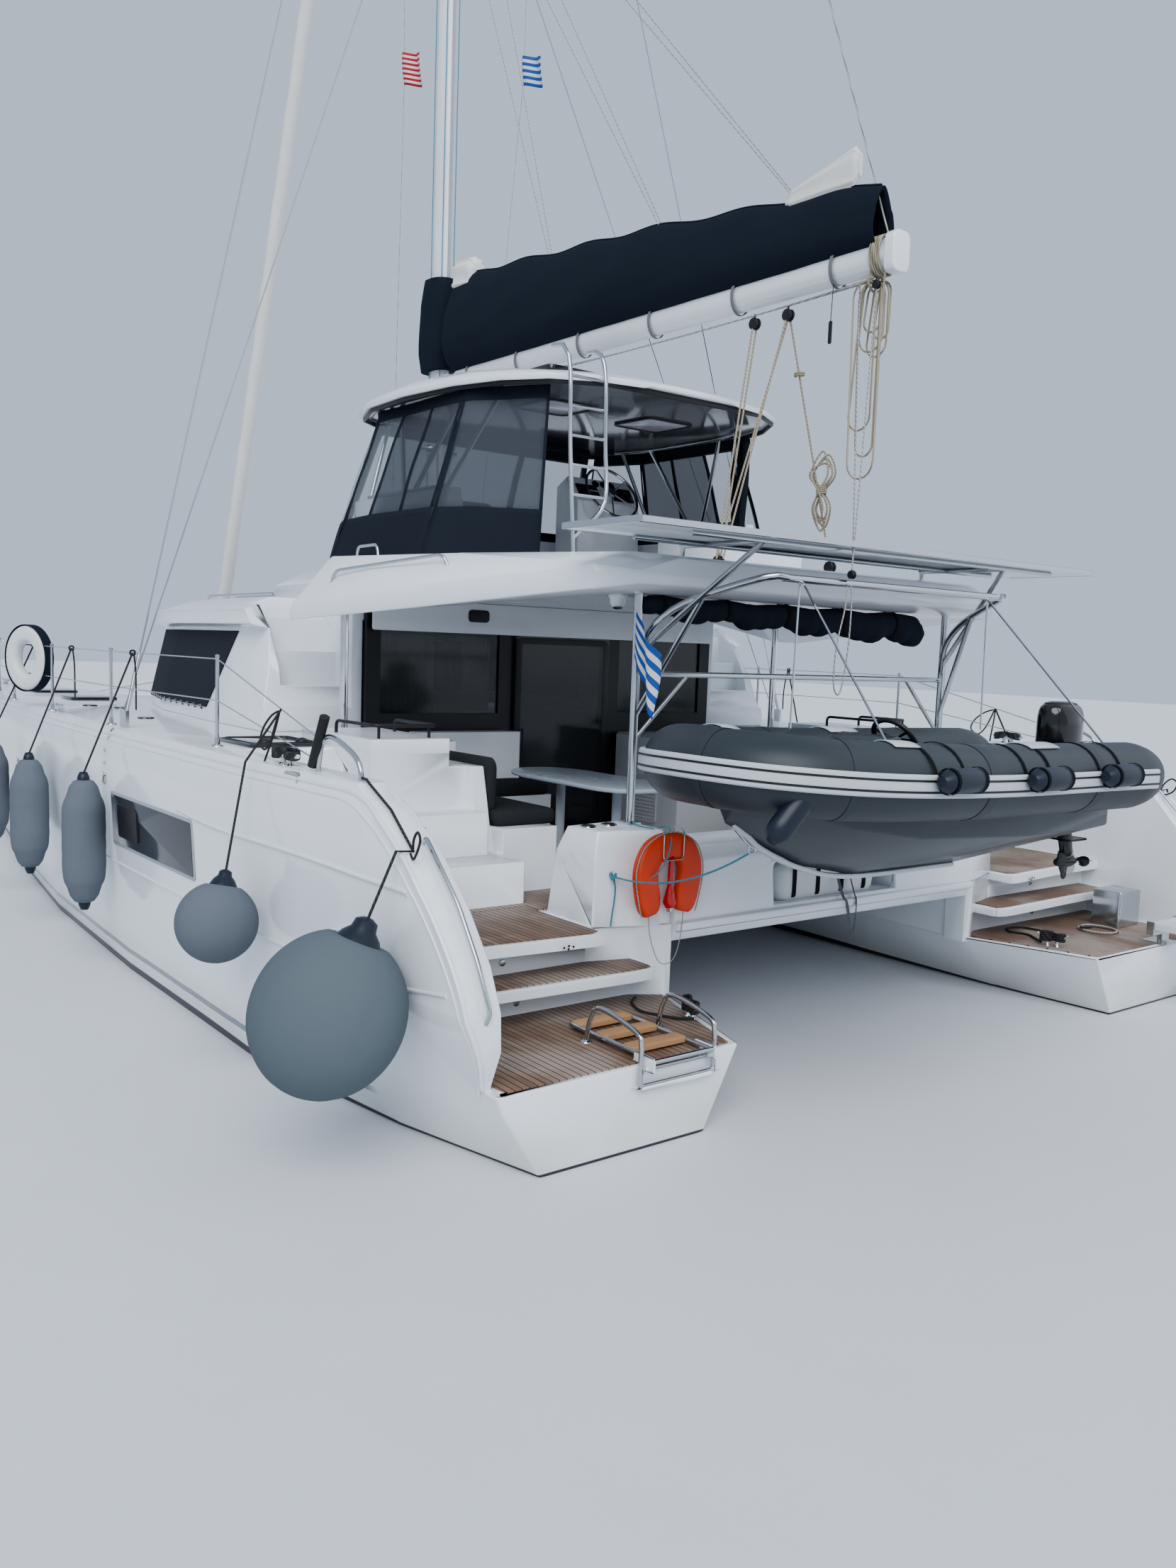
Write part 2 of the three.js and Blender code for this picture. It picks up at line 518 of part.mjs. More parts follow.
// Cockpit roof, which is the flybridge deck, with its side wings and two posts
const ROOF_COLUMNS = ['x', 'half', 'under', 'edge', 'crown'];
const ROOF_TABLE = [
  [1150, 1850, 3150, 3230, 3330],
  [1300, 2120, 3100, 3260, 3360],
  [2800, 2520, 2970, 3140, ROOF_TOP],
  [4150, 2870, 2860, 2990, ROOF_TOP],
  [4430, 2760, 2870, 2990, ROOF_TOP],
  [4600, 2095, 3095, 3250, ROOF_TOP],
  [6560, 1980, 3095, 3230, ROOF_TOP],
];
function cockpitRoof() {
  const rings = ROOF_TABLE.map((row) => {
    const s = Object.fromEntries(ROOF_COLUMNS.map((name, i) => [name, row[i]]));
    const half = [[s.half - 420, Math.max(3095, s.under)], [s.half, s.under],
      [s.half + 15, (s.under + s.edge) / 2],
      [s.half, s.edge], [s.half - 330, s.crown]];
    return [...half, ...half.map(([y, z]) => [-y, z]).reverse()].map(([y, z]) => [s.x, y, z]);
  });
  const post = rod([4100, 2450, DECK + GAP], [4100, 2450, 3200], 32, 12);
  return join(loft(rings), bothSides(post));
}
const roof = cockpitRoof();
add('cockpit_roof', roof, 'gelcoat');

// Flybridge: a moulded ring of seats round a floor, and the helm
const FLY = { aft: 3750, fore: 6050, seat: 3800, back: 3980 };
function flybridgeSeats() {
  const low = ROOF_TOP + GAP;
  const side = prism('x', [[1250, low], [1630, low], [1820, 3600], [1710, FLY.back], [1610, FLY.back],
    [1580, FLY.seat], [1250, FLY.seat]], FLY.aft, FLY.fore);
  const corner = prism('z', [[5200, 1810], [6131, 1380], [6400, 1380], [6400, 2200], [5200, 2200]],
    low - 1, 4300);
  const front = prism('y',
    [[5500, low], [6250, low], [6100, FLY.back - 80], [5980, FLY.back - 80], [5940, FLY.seat],
    [5500, FLY.seat]], -1600, 1600);
  const aftSeat = block(2950, FLY.aft + 10, 500, 1560, low, FLY.seat);
  return join(cut(join(side, mirrored(side), front), bothSides(corner)), mirrored(aftSeat));
}
const flySeats = flybridgeSeats();
add('flybridge_seats', flySeats, 'gelcoat');
add('flybridge_cushions', join(
  block(5505, 5930, -1260, 1260, FLY.seat + GAP, FLY.seat + 90),
  bothSides(block(3800, 5560, 1255, 1575, FLY.seat + GAP, FLY.seat + 90)),
), 'cushion');

// The wheel turns about an axis that leans up and aft; its shaft ends at x, y, z.
const WHEEL = { x: 4868, y: -810, z: 4262, lean: Math.atan2(62, 92), radius: 300, hub: 20 };
function helmConsole() {
  const low = ROOF_TOP + GAP;
  const stand = prism('y', [[4850, low], [5250, low], [5250, 4330], [5080, 4420], [4900, 4180]], -1200, -420);
  return join(stand, rod([4960, WHEEL.y, 4200], [WHEEL.x, WHEEL.y, WHEEL.z], 26, 12));
}
add('helm_console', helmConsole(), 'gelcoat');
function helmWheel() {
  const rim = solid(new THREE.TorusGeometry(WHEEL.radius, 14, 6, 28));
  const hub = solid(new THREE.CylinderGeometry(45, 45, 2 * WHEEL.hub, 14).rotateX(Math.PI / 2));
  const spokes = [0, 1, 2, 3, 4].map((i) => {
    const angle = (2 * Math.PI * i) / 5 + Math.PI / 2;
    return rod([0, 0, 0], [WHEEL.radius * Math.cos(angle), WHEEL.radius * Math.sin(angle), 0], 8, 6);
  });
  const flat = toGeometry(join(rim, hub, ...spokes));
  flat.rotateY(-Math.PI / 2).rotateY(WHEEL.lean);
  return solid(flat);
}
const seat = WHEEL.hub + GAP;
add('helm_wheel', helmWheel(), 'steel',
  [WHEEL.x - seat * Math.cos(WHEEL.lean), WHEEL.y, WHEEL.z + seat * Math.sin(WHEEL.lean)]);

// Hardtop over the flybridge, on slanting tubes

// An oval in plan: how wide it is at each place and how far its top rises.
const HARDTOP_COLUMNS = ['x', 'half', 'rise'];
const HARDTOP_TABLE = [
  [2800, 520, 12], [2880, 920, 40], [3080, 1270, 90], [3420, 1500, 150], [3900, 1650, 205], [4600, 1720, 235],
  [5300, 1680, 215], [5800, 1500, 130], [6020, 1230, 55], [6080, 1000, 15],
];
function hardtop() {
  const { edge, under } = HARDTOP;
  return loft(HARDTOP_TABLE.map((row) => {
    const s = Object.fromEntries(HARDTOP_COLUMNS.map((name, i) => [name, row[i]]));
    const side = [[s.half - 90, under], [s.half - 10, edge], [s.half, edge + 50],
      [s.half - 160, edge + 50 + 0.45 * s.rise], [0.45 * s.half, edge + 50 + s.rise]];
    return [...side, ...side.map(([y, z]) => [-y, z]).reverse()].map(([y, z]) => [s.x, y, z]);
  }));
}
add('hardtop', hardtop(), 'gelcoat');

// Each side: four slanting legs from the seat moulding to a rail under the roof.
function hardtopFrame() {
  const rail = HARDTOP.under - 20 - GAP;
  const foot = FLY.back + GAP;
  const legs = [
    [[3900, 1660, foot], [3640, 1300, rail]],
    [[4450, 1660, foot], [4000, 1440, rail]],
    [[4600, 1660, foot], [5050, 1455, rail]],
    [[5230, 1660, foot], [5400, 1365, rail]],
  ].map(([from, to]) => rod(from, to, 20, 10));
  const long = tube([
    [3500, 1215, rail], [3640, 1300, rail], [3900, 1415, rail], [4300, 1460, rail], [5050, 1455, rail],
    [5400, 1365, rail], [5480, 1330, rail],
  ], 20, 14, 8, 0.3);
  const lowRail = rod([3880, 1660, FLY.back + 24], [5250, 1660, FLY.back + 24], 18, 8);
  return join(long, ...legs, lowRail);
}
const frame = cutClear(hardtopFrame(), flySeats);
add('port_hardtop_frame', frame, 'steel');
add('starboard_hardtop_frame', mirrored(frame), 'steel');

// Canvas screens lean in from the flybridge deck to the hardtop: foot and head of each corner (x, y).
const SCREEN_COLUMNS = ['footX', 'footY', 'headX', 'headY'];
const SCREEN_TABLE = [
  [3150, 1250, 3200, 1150],
  [3425, 1650, 3530, 1350],
  [3700, 2050, 3850, 1525],
  [5500, 1975, 5300, 1525],
  [6440, 1540, 5790, 1300],
];
const CLOTH = 25;
function sideScreen(rows) {
  const corners = rows.map((row) => Object.fromEntries(SCREEN_COLUMNS.map((name, i) => [name, row[i]])));
  // Square to the line between a corner's neighbours, pointing to the cloth's inner face.
  const inward = corners.map((s, i) => {
    const [a, b] = [corners[Math.max(i - 1, 0)], corners[Math.min(i + 1, corners.length - 1)]];
    const [dx, dy] = [b.footX - a.footX, b.footY - a.footY];
    const length = Math.hypot(dx, dy);
    return [(CLOTH * dy) / length, (-CLOTH * dx) / length];
  });
  return loft(corners.map(({ footX, footY, headX, headY }, i) => {
    const [nx, ny] = inward[i];
    const [low, high] = [ROOF_TOP - 130, HARDTOP.edge - 5];
    return [[footX, footY, low], [footX + nx, footY + ny, low], [headX + nx, headY + ny, high],
      [headX, headY, high]];
  }), true);
}
add('port_screen', cutClear(sideScreen(SCREEN_TABLE), roof), 'canvas');
add('starboard_screen', cutClear(mirrored(sideScreen(SCREEN_TABLE.slice(2))), roof), 'canvas');
add('front_screen', loft([
  [[6500, -1500], [6500, 1500], [6475, 1500], [6475, -1500]].map(([x, y]) => [x, y, ROOF_TOP + GAP]),
  [[5850, -1260], [5850, 1260], [5825, 1260], [5825, -1260]].map(([x, y]) => [x, y, HARDTOP.edge - 5]),
]), 'canvas');

// Ladder from the flybridge deck to the hardtop
function ladder() {
  const at = (z) => 2700 + (z - 3358) * 0.098;
  const [inY, outY] = [900, 1240];
  const top = (y) => [[2820, y, 4820], [2900, y, 5010], [3060, y, 5040]];
  const outer = tube([[at(3358), outY, 3358], [at(4300), outY, 4300], ...top(outY)], 17, 14);
  // The inner side bends across and ends on the outer one, above the deck.
  const bend = [[3560, outY], [3650, 1130], [3790, 960], [3960, inY], [4300, inY]]
    .map(([z, y]) => [at(z), y, z]);
  const inner = tube([...bend, ...top(inY)], 17, 20);
  const rungs = [0, 1, 2, 3, 4].map((i) => {
    const z = 3890 + 225 * i;
    return rod([at(z), inY + 12, z], [at(z), outY, z], 13, 8);
  });
  return join(outer, inner, ...rungs);
}
add('hardtop_ladder', cutClear(ladder(), roof), 'steel');

// Mast with one pair of swept spreaders
function mastTube(z0, z1, share = 1) {
  const ring = (z, k) => ellipse(20,
    (c, s) => [MAST.x + (c * MAST.length * k) / 2, (s * MAST.width * k) / 2, z]);
  return loft([ring(z0, 1), ring(z1 - 2500, 1), ring(z1, share)]);
}
function mast() {
  const spar = mastTube(MAST.foot + GAP, MAST.head, 0.6);
  const arm = rod([MAST.x - 20, 60, SPREADER.z], [SPREADER.tipX, SPREADER.tipY, SPREADER.z + 60], 45, 8, 22);
  const crane = block(MAST.x - 260, MAST.x + 160, -35, 35, MAST.head - 60, MAST.head);
  const foot = block(MAST.x - 165, MAST.x + 190, -130, 130, MAST.foot + GAP, MAST.foot + 60);
  const jaw = join(
    block(GOOSENECK.x - 24, MAST.x, -30, 30, GOOSENECK.z + 44 + GAP, GOOSENECK.z + 80),
    block(GOOSENECK.x - 24, MAST.x, -30, 30, GOOSENECK.z - 80, GOOSENECK.z - 44 - GAP),
  );
  return join(spar, arm, mirrored(arm), crane, foot, jaw);
}
add('mast', mast(), 'alloy');

// Boom, and the sail bag that lies along it
function boom() {
  const { x, z } = GOOSENECK;
  const section = (at, w, h) => ellipse(16, (c, s) => [at, c * w, z + s * h]);
  const spar = loft([section(BOOM_AFT, 80, 120), section(x - 260, 85, 120), section(x - 140, 60, 60)]);
  const toggle = rod([x - 150, 0, z], [x, 0, z], 38, 12);
  const pin = rod([x, 0, z - 44], [x, 0, z + 44], 20, 12);
  const cap = block(BOOM_AFT - 30, BOOM_AFT + 40, -75, 75, z - 125, z + 125);
  return join(spar, toggle, pin, cap);
}
add('boom', boom(), 'alloy');

// Rows of x, half width at the foot, height of the top edge.
const BAG_TABLE = [[920, 120, 5990], [1700, 150, 6090], [3560, 185, 6300], [5300, 205, 6450],
  [6560, 200, 6530]];
function sailBag() {
  const foot = GOOSENECK.z + 30;
  return cutClear(
    loft(BAG_TABLE.map(([x, w, top]) => [[w * 0.7, foot], [w, foot + 160], [w * 0.85, top - 180], [28, top],
      [-28, top], [-w * 0.85, top - 180], [-w, foot + 160], [-w * 0.7, foot]].map(([y, z]) => [x, y, z]))),
    boom(),
  );
}
add('sail_bag', sailBag(), 'navy');

// Furled headsail round the forestay, from the tack drum to the hounds
function headsail() {
  const from = new THREE.Vector3(...TACK);
  const to = new THREE.Vector3(MAST.x + 146, 0, HOUND);
  const at = (t) => from.clone().lerp(to, t).toArray();
  const roll = join(rod(at(0.028), at(0.06), 60, 10, 85), rod(at(0.06), at(0.5), 85, 10, 75),
    rod(at(0.5), at(0.93), 75, 10, 32));
  const drum = rod(at(0.006), at(0.02), 110, 14);
  return cutClear(join(rod(at(0), at(1), 9, 8), roll, drum), mastTube(MAST.foot, MAST.head, 0.6));
}

// Shrouds: the cap goes over the spreader's tip, the lower to the mast below it
function shrouds() {
  const [x, y, z] = CHAINPLATE;
  const tip = [SPREADER.tipX - 20, SPREADER.tipY + 30, SPREADER.z + 62];
  const cap = join(rod([x, y, z], tip, 7, 6), rod(tip, [MAST.x - 30, 95, HOUND - 400], 6, 6));
  const lower = rod([x + 90, y, z], [MAST.x + 20, 105, SPREADER.z - 350], 6, 6);
  const toward = new THREE.Vector3(...tip).sub(new THREE.Vector3(x, y, z)).normalize();
  const screw = rod([x, y, z], new THREE.Vector3(x, y, z).addScaledVector(toward, 520).toArray(), 16, 8);
  const plate = block(x - 35, x + 125, y - 14, y + 14, DECK + GAP, z + 30);
  const arm = rod([MAST.x - 20, 60, SPREADER.z], [SPREADER.tipX, SPREADER.tipY, SPREADER.z + 60], 45.5, 8,
    23);
  const wire = join(cap, lower, screw, plate);
  return cut(wire, arm, rod([SPREADER.tipX, SPREADER.tipY, SPREADER.z + 60],
    [SPREADER.tipX - 2, SPREADER.tipY + 2, SPREADER.z + 60.3], 24, 8));
}
const rigging = shrouds();
add('port_shrouds', rigging, 'steel');
add('starboard_shrouds', mirrored(rigging), 'steel');

// Forward crossbeam, the striker under the stay, the longeron and the anchor roller
function forwardBeam() {
  const inside = 2640;
  const beam = rod([BEAM_X, -inside, 1780], [BEAM_X, inside, 1780], 110, 16);
  const striker = join(
    rod([BEAM_X, -inside + 250, 1850], [BEAM_X + 10, -40, 2260], 22, 8),
    rod([BEAM_X, inside - 250, 1850], [BEAM_X + 10, 40, 2260], 22, 8),
    rod([BEAM_X, 0, 1780], [BEAM_X, 0, 2300], 40, 10),
  );
  const longeron = rod([BRIDGE_FRONT + GAP, 0, 1780], [TACK[0] + 120, 0, 1850], 90, 12);
  const pad = block(TACK[0] - 70, TACK[0] + 70, -45, 45, 1850, TACK[2] + 6);
  const shank = rod([13250, 0, 1700], [13760, 0, 1640], 32, 8, 24);
  const fluke = prism('x', [[-190, 1560], [0, 1690], [190, 1560], [0, 1640]], 13560, 13860);
  return join(beam, striker, longeron, pad, shank, fluke, rod([13300, 0, 1700], [13300, 0, 1840], 26, 8));
}
const trimmedBeam = cut(cutClear(cutClear(forwardBeam(), hull), mirrored(hull)),
  block(10000, BRIDGE_FRONT + GAP, -400, 400, 1500, 2100));
add('forward_beam', trimmedBeam, 'alloy');
add('furled_headsail', cutClear(headsail(), trimmedBeam), 'sail');

// Trampoline nets fill the space between the hulls
function net() {
  const [aft, fore] = [BRIDGE_FRONT + GAP, BEAM_X - 60];
  return prism('z', [[aft, 60], [fore, 60], [fore, 2550], [10700, 2050], [aft, 1570]], 1830, 1842);
}
add('port_trampoline', cutClear(cutClear(net(), hull), trimmedBeam), 'black');
add('starboard_trampoline', cutClear(mirrored(cutClear(net(), hull)), trimmedBeam), 'black');

// Guardrails: stanchions, two wires, a pulpit at the bow and fenders on their lines
const RAIL_TABLE = [[3474, 3725], [5650, 3810], [7600, 3790], [9500, 3710], [11300, 3480]];
const RAIL = { top: 620, middle: 320 };
// Where the rail's line lies across the boat at a place along it.
function railY(x) {
  const i = RAIL_TABLE.findIndex(([end]) => end > x);
  const [[x0, y0], [x1, y1]] = [RAIL_TABLE[i - 1], RAIL_TABLE[i]];
  return y0 + ((y1 - y0) * (x - x0)) / (x1 - x0);
}
// Long fenders by x and height, then the two round ones by the quarter.
const LONG_FENDERS = [[5200, 1050], [6950, 1050], [8500, 1080]];
const ROUND_FENDERS = [
  { x: 2150, y: 4225, z: 1010, r: 245, tie: [[2280, 4000, 1960], [2300, 3761, 2281]] },
  {
    x: 600, y: 4237, z: 855, r: 395,
    tie: [[565, 3890, 1662], [565, 3790, 1654], [820, 3785, 1838], [1080, 3780, 1950], [1112, 3779, 1967],
      [1200, 3767, 1968]],
  },
];
function lathed(profile, sides, x, y, z) {
  const body = new THREE.LatheGeometry(profile.map((p) => new THREE.Vector2(...p)), sides);
  return solid(body.rotateX(Math.PI / 2).translate(x, y, z));
}
function longFender([x, z]) {
  const [r, half, y] = [165, 560, 4160];
  const profile = [
    [0, -half], [45, -half], [60, 100 - half], [0.8 * r, 190 - half], [r, 270 - half],
    [r, half - 270], [0.8 * r, half - 190], [60, half - 100], [45, half], [0, half],
  ];
  const body = lathed(profile, 12, x, y, z);
  return join(body, rod([x, y, z + half - 20], [x - 60, railY(x - 60), DECK + RAIL.top - 10], 7, 6));
}
// A ball with its neck turned towards the place where its line goes.
function roundFender({ x, y, z, r, tie }) {
  const arc = [...Array(9).keys()].map((i) => {
    const angle = -Math.PI / 2 + (0.86 * Math.PI * i) / 8;
    return [i === 0 ? 0 : r * Math.cos(angle), r * Math.sin(angle)];
  });
  const profile = [...arc, [0.2 * r, 1.12 * r], [0.16 * r, 1.32 * r], [0, 1.32 * r]];
  const axis = new THREE.Vector3(...tie[0]).sub(new THREE.Vector3(x, y, z)).normalize();
  const turn = new THREE.Quaternion().setFromUnitVectors(new THREE.Vector3(0, 1, 0), axis);
  const ball = new THREE.LatheGeometry(profile.map((p) => new THREE.Vector2(...p)), 14);
  const neck = [x, y, z].map((v, k) => v + 1.28 * r * axis.getComponent(k));
  const line = [neck, ...tie].slice(1).map((to, i) => rod([neck, ...tie][i], to, 7, 6));
  return join(solid(ball.applyQuaternion(turn).translate(x, y, z)), ...line);
}
function guardrail() {
  const posts = RAIL_TABLE.map(([x, y]) => rod([x, y, DECK + GAP], [x, y, DECK + RAIL.top], 13, 8));
  const wires = [RAIL.top - 10, RAIL.middle].flatMap((h) => RAIL_TABLE.slice(1).map(([x, y], i) => {
    const [px, py] = RAIL_TABLE[i];
    return rod([px, py, DECK + h], [x, y, DECK + h], 5, 6);
  }));
  const last = RAIL_TABLE.at(-1);
  const bow = [13650, 2990];
  const pulpit = [
    tube([[last[0], last[1], DECK + RAIL.top - 14], [12500, 3260, DECK + RAIL.top],
      [bow[0], bow[1] + 20, DECK + RAIL.top],
      [13700, 2900, DECK + RAIL.top - 60], [13500, 2780, 2010]], 14, 18),
    rod([12500, 3220, 1986], [12500, 3255, DECK + RAIL.top], 13, 8),
    rod([13550, 3000, 2024], [13600, 3005, DECK + RAIL.top], 13, 8),
  ];
  const hoop = tube([
    [1720, 3780, DECK - 4], [1712, 3780, 2010], [1665, 3780, 2130], [1540, 3778, 2165], [1300, 3770, 2090],
    [1215, 3768, 2020], [1200, 3767, DECK - 4],
  ], 15, 24);
  const [firstX, firstY] = RAIL_TABLE[0];
  const aftWires = [RAIL.top - 10, RAIL.middle]
    .map((h, i) => rod([firstX, firstY, DECK + h], [1665 + 47 * i, 3780, 2130 - 120 * i], 5, 6));
  const fenders = [...LONG_FENDERS.map(longFender), ...ROUND_FENDERS.map(roundFender)];
  return join(...posts, ...wires, ...pulpit, hoop, ...aftWires, ...fenders);
}
const railPort = cutClear(guardrail(), hull);
add('port_guardrail', railPort, 'steel');
add('starboard_guardrail', mirrored(railPort), 'steel');

// Davits: two posts on the aft lockers carry an arm each, a top bar and the panel frame
const POST = { x: 1410, y: 1650, foot: 1560 };
function davits() {
  const { x, y, foot } = POST;
  const post = rod([x, y, foot + GAP], [x, y, 3120], 30, 12);
  const arm = tube([[x, y, 2600], [1350, 1600, 2850], [1120, 1500, 3040], [640, 1270, 3210],
    [560, 1130, 3215]], 25, 16, 10);
  const strut = rod([x, y, 2280], [1010, 1445, 3080], 20, 8);
  const small = rod([x, y, 2120], [x, 1180, 2570], 15, 8);
  const brace = rod([x - 10, y, 2700], [640, 1290, 3436], 20, 8);
  const pad = block(x - 70, x + 70, y - 40, y + 60, foot + GAP, foot + 14);
  const side = join(post, arm, strut, small, brace, pad);
  const bars = join(
    rod([575, -1160, 3214], [575, 1160, 3214], 25, 10),
    rod([x, -y, 2570], [x, y, 2570], 20, 10),
    rod([640, -1900, 3436], [640, 1900, 3436], 18, 8),
    rod([1180, -1900, 3436], [1180, 1900, 3436], 18, 8),
    bothSides(rod([640, 1290, 3436], [1420, 1290, 3436], 18, 8)),
    bothSides(rod([1400, 1290, 3340], [1400, 1290, 3436], 18, 8)),
  );
  return join(side, mirrored(side), bars);
}
add('solar_panel', block(550, 1300, -2370, 2370, 3454.3, 3490), 'glass');

// Tender: a horseshoe of tube round a vee hull, bow to port
function tenderTubes() {
  const { x, stern, bow, tube: r, rail, half } = TENDER;
  const path = [
    [x + half, stern - 120, rail - 20], [x + half, -200, rail - 10], [x + half, 900, rail],
    [x + 590, 1700, rail + 25], [x + 410, 2220, rail + 55], [x, bow - r, rail + 70],
    [x - 410, 2220, rail + 55], [x - 590, 1700, rail + 25], [x - half, 900, rail],
    [x - half, -200, rail - 10], [x - half, stern - 120, rail - 20],
  ];
  return tube(path, r, 40, 12);
}
function tenderHull() {
  const { x, transom } = TENDER;
  // Rows of y, keel height, chine height, half width, deck height.
  const rows = [
    [transom, 1490, 1700, 560, 1900], [200, 1425, 1680, 570, 1900], [1200, 1430, 1720, 520, 1910],
    [1650, 1520, 1790, 410, 1935], [1980, 1660, 1880, 290, 1960], [2250, 1800, 1970, 110, 2040],
  ];
  const shell = loft(rows.map(([y, keelZ, chineZ, half, deck]) => [
    [x, y, keelZ], [x + half, y, chineZ], [x + half, y, deck], [x - half, y, deck], [x - half, y, chineZ],
  ]));
  const well = prism('z', [
    [x - 430, transom + 65], [x + 430, transom + 65], [x + 430, 1300], [x + 220, 1750], [x - 220, 1750],
    [x - 430, 1300],
  ], 1790, 2300);
  const board = block(x - 430, x + 430, transom, transom + 65, 1780, 2080);
  return join(cut(shell, well), board);
}
const tubes = tenderTubes();
add('tender_tubes', tubes, 'hypalon');
add('tender_hull', cutClear(tenderHull(), tubes), 'gelcoat');

// Four falls hang the tender from the ends of the davits' top bar.
const FALLS = [[480, 1130, 1010], [-640, 1500, 990], [480, -900, -1010], [-640, -680, -990]];
const falls = FALLS.map(([x, y, barY]) => rod([x, y, TENDER.rail + 150], [575, barY, 3205], 7, 6));
add('davit_frame', cutClear(cutClear(join(davits(), ...falls), roof), tubes), 'steel');
function tenderConsole() {
  const { x } = TENDER;
  const low = 1790 + GAP;
  const desk = prism('x', [[780, low], [1280, low], [1260, 2230], [1080, 2280], [800, 2080]], x - 220,
    x + 220);
  const seat = block(x - 300, x + 300, -250, 160, low, 2080);
  const floor = block(x - 200, x + 200, 140, 800, low, 1800);
  const hub = [x, 840, 2240];
  const rim = solid(new THREE.TorusGeometry(150, 12, 6, 20).rotateX(-0.65 - Math.PI / 2).translate(...hub));
  const column = rod([x, 980, 2150], hub, 16, 8);
  const bar = rod([x - 150, hub[1], hub[2]], [x + 150, hub[1], hub[2]], 9, 6);
  return join(desk, seat, floor, rim, column, bar);
}
add('tender_console', tenderConsole(), 'gelcoat');

// Outboard: the clamp turns with the tilt tube, the motor steers in it
const MOTOR = { x: TENDER.x, y: TENDER.transom - 120, rake: 210, shaft: 1330 };
function motorBracket() {
  const { x, y } = MOTOR;
  const face = TENDER.transom - GAP;
  const clamp = block(x - 90, x + 90, face - 45, face, 1880, 2130);
  const hook = block(x - 90, x + 90, face - 45, face + 90, 2080 + GAP, 2130);
  const sleeve = (z0, z1) => join(rod([x, y, z0], [x, y, z1], 38, 12),
    block(x - 30, x + 30, y, face - 20, z0, z1));
  return join(clamp, hook, sleeve(1880, 1925 - GAP), sleeve(2075 + GAP, 2130));
}
function motor() {
  const { x, y, rake, shaft } = MOTOR;
  const top = y - 160;
  const low = top - rake;
  // Ellipses by height: how far aft each sits, then its half sizes.
  const column = (rows, sides) => loft(rows.map(([z, at, w, l]) => ellipse(sides,
    (c, s) => [x + w * c, at + l * s, z])));
  const cowl = column([[2140, top, 112, 172], [2200, top, 130, 200], [2380, top, 130, 200],
    [2470, top + 10, 91, 140]], 16);
  const leg = column([[2145, top, 55, 105], [1700, top - 0.57 * rake, 44, 84], [1380, low, 34, 65]], 12);
  const plate = block(x - 90, x + 90, low - 110, low + 110, 1490, 1500);
  const bullet = rod([x, low + 130, shaft], [x, low - 70, shaft], 25, 12, 42);
  const lowLeg = column([[1400, low + 30, 22, 80], [1320, low + 30, 22, 80]], 10);
  const skeg = column([[1330, low + 30, 9, 70], [1200, low + 14, 4, 31]], 8);
  const swivel = join(
    rod([x, y, 1925], [x, y, 2075], 24, 12),
    block(x - 24, x + 24, top - 30, y, 1945, 1975),
    block(x - 24, x + 24, top - 30, y, 2030, 2060),
  );
  return join(cowl, leg, plate, bullet, lowLeg, skeg, swivel);
}
add('tender_motor_bracket', motorBracket(), 'black');
add('tender_motor', motor(), 'black');
const tenderScrew = solid(toGeometry(propeller(125, 36, 80)).rotateZ(Math.PI / 2));
add('tender_propeller', tenderScrew, 'black', [MOTOR.x, MOTOR.y - 230 - MOTOR.rake - GAP, MOTOR.shaft]);

// Swim ladder folded on the port platform; its hinge is just aft of the edge
function swimLadder() {
  const side = (y) => rod([SWIM.x, y, SWIM.z], [SWIM.length, y, SWIM.z], 14, 8);
  const rungs = [170, 420, 655].map((x) => block(x - 45, x + 45, SWIM.y0, SWIM.y1, SWIM.z - 12, SWIM.z + 12));
  return join(side(SWIM.y0), side(SWIM.y1),
    rod([SWIM.x, SWIM.y0 - 20, SWIM.z], [SWIM.x, SWIM.y1 + 20, SWIM.z], 14, 10), ...rungs);
}
add('swim_ladder', swimLadder(), 'steel');

// Passerelle on the starboard platform: socket and swivel, then the plank
const GANGWAY = { x: 40, y: -3000, z: 640, length: 2300, width: 380 };
function gangwaySocket() {
  const { x, y } = GANGWAY;
  return join(
    block(x - 90, x + 130, y - 110, y + 110, PLATFORM + GAP, PLATFORM + 12),
    rod([x, y, PLATFORM + 6], [x, y, 560], 45, 16),
  );
}
function gangwaySwivel() {
  const { x, y, z } = GANGWAY;
  const yoke = (sign) => block(x - 30, x + 30, y + sign * 215 - 8, y + sign * 215 + 8, 570, z + 35);
  return join(
    rod([x, y, 560 + GAP], [x, y, 588], 45, 16),
    block(x - 30, x + 30, y - 223, y + 223, 566, 586),
    yoke(1), yoke(-1),
    rod([x, y - 222, z], [x, y + 222, z], 9, 10),
  );
}
function gangwayPlank() {
  const { x, y, z, length, width } = GANGWAY;
  const bore = rod([x, y - 300, z], [x, y + 300, z], 9.8, 12);
  const plank = block(x - length, x + 20, y - width / 2, y + width / 2, z - 22, z + 22);
  const rails = [1, -1].map((s) => block(x - length, x + 20, y + s * (width / 2 - 5) - 12,
    y + s * (width / 2 - 5) + 12, z - 30, z + 30));
  const roller = rod([x - length, y - 150, z], [x - length, y + 150, z], 42, 12);
  return cut(join(plank, ...rails, roller), bore);
}
add('passerelle_socket', gangwaySocket(), 'steel');
add('passerelle_swivel', gangwaySwivel(), 'steel');
add('passerelle', gangwayPlank(), 'teak');

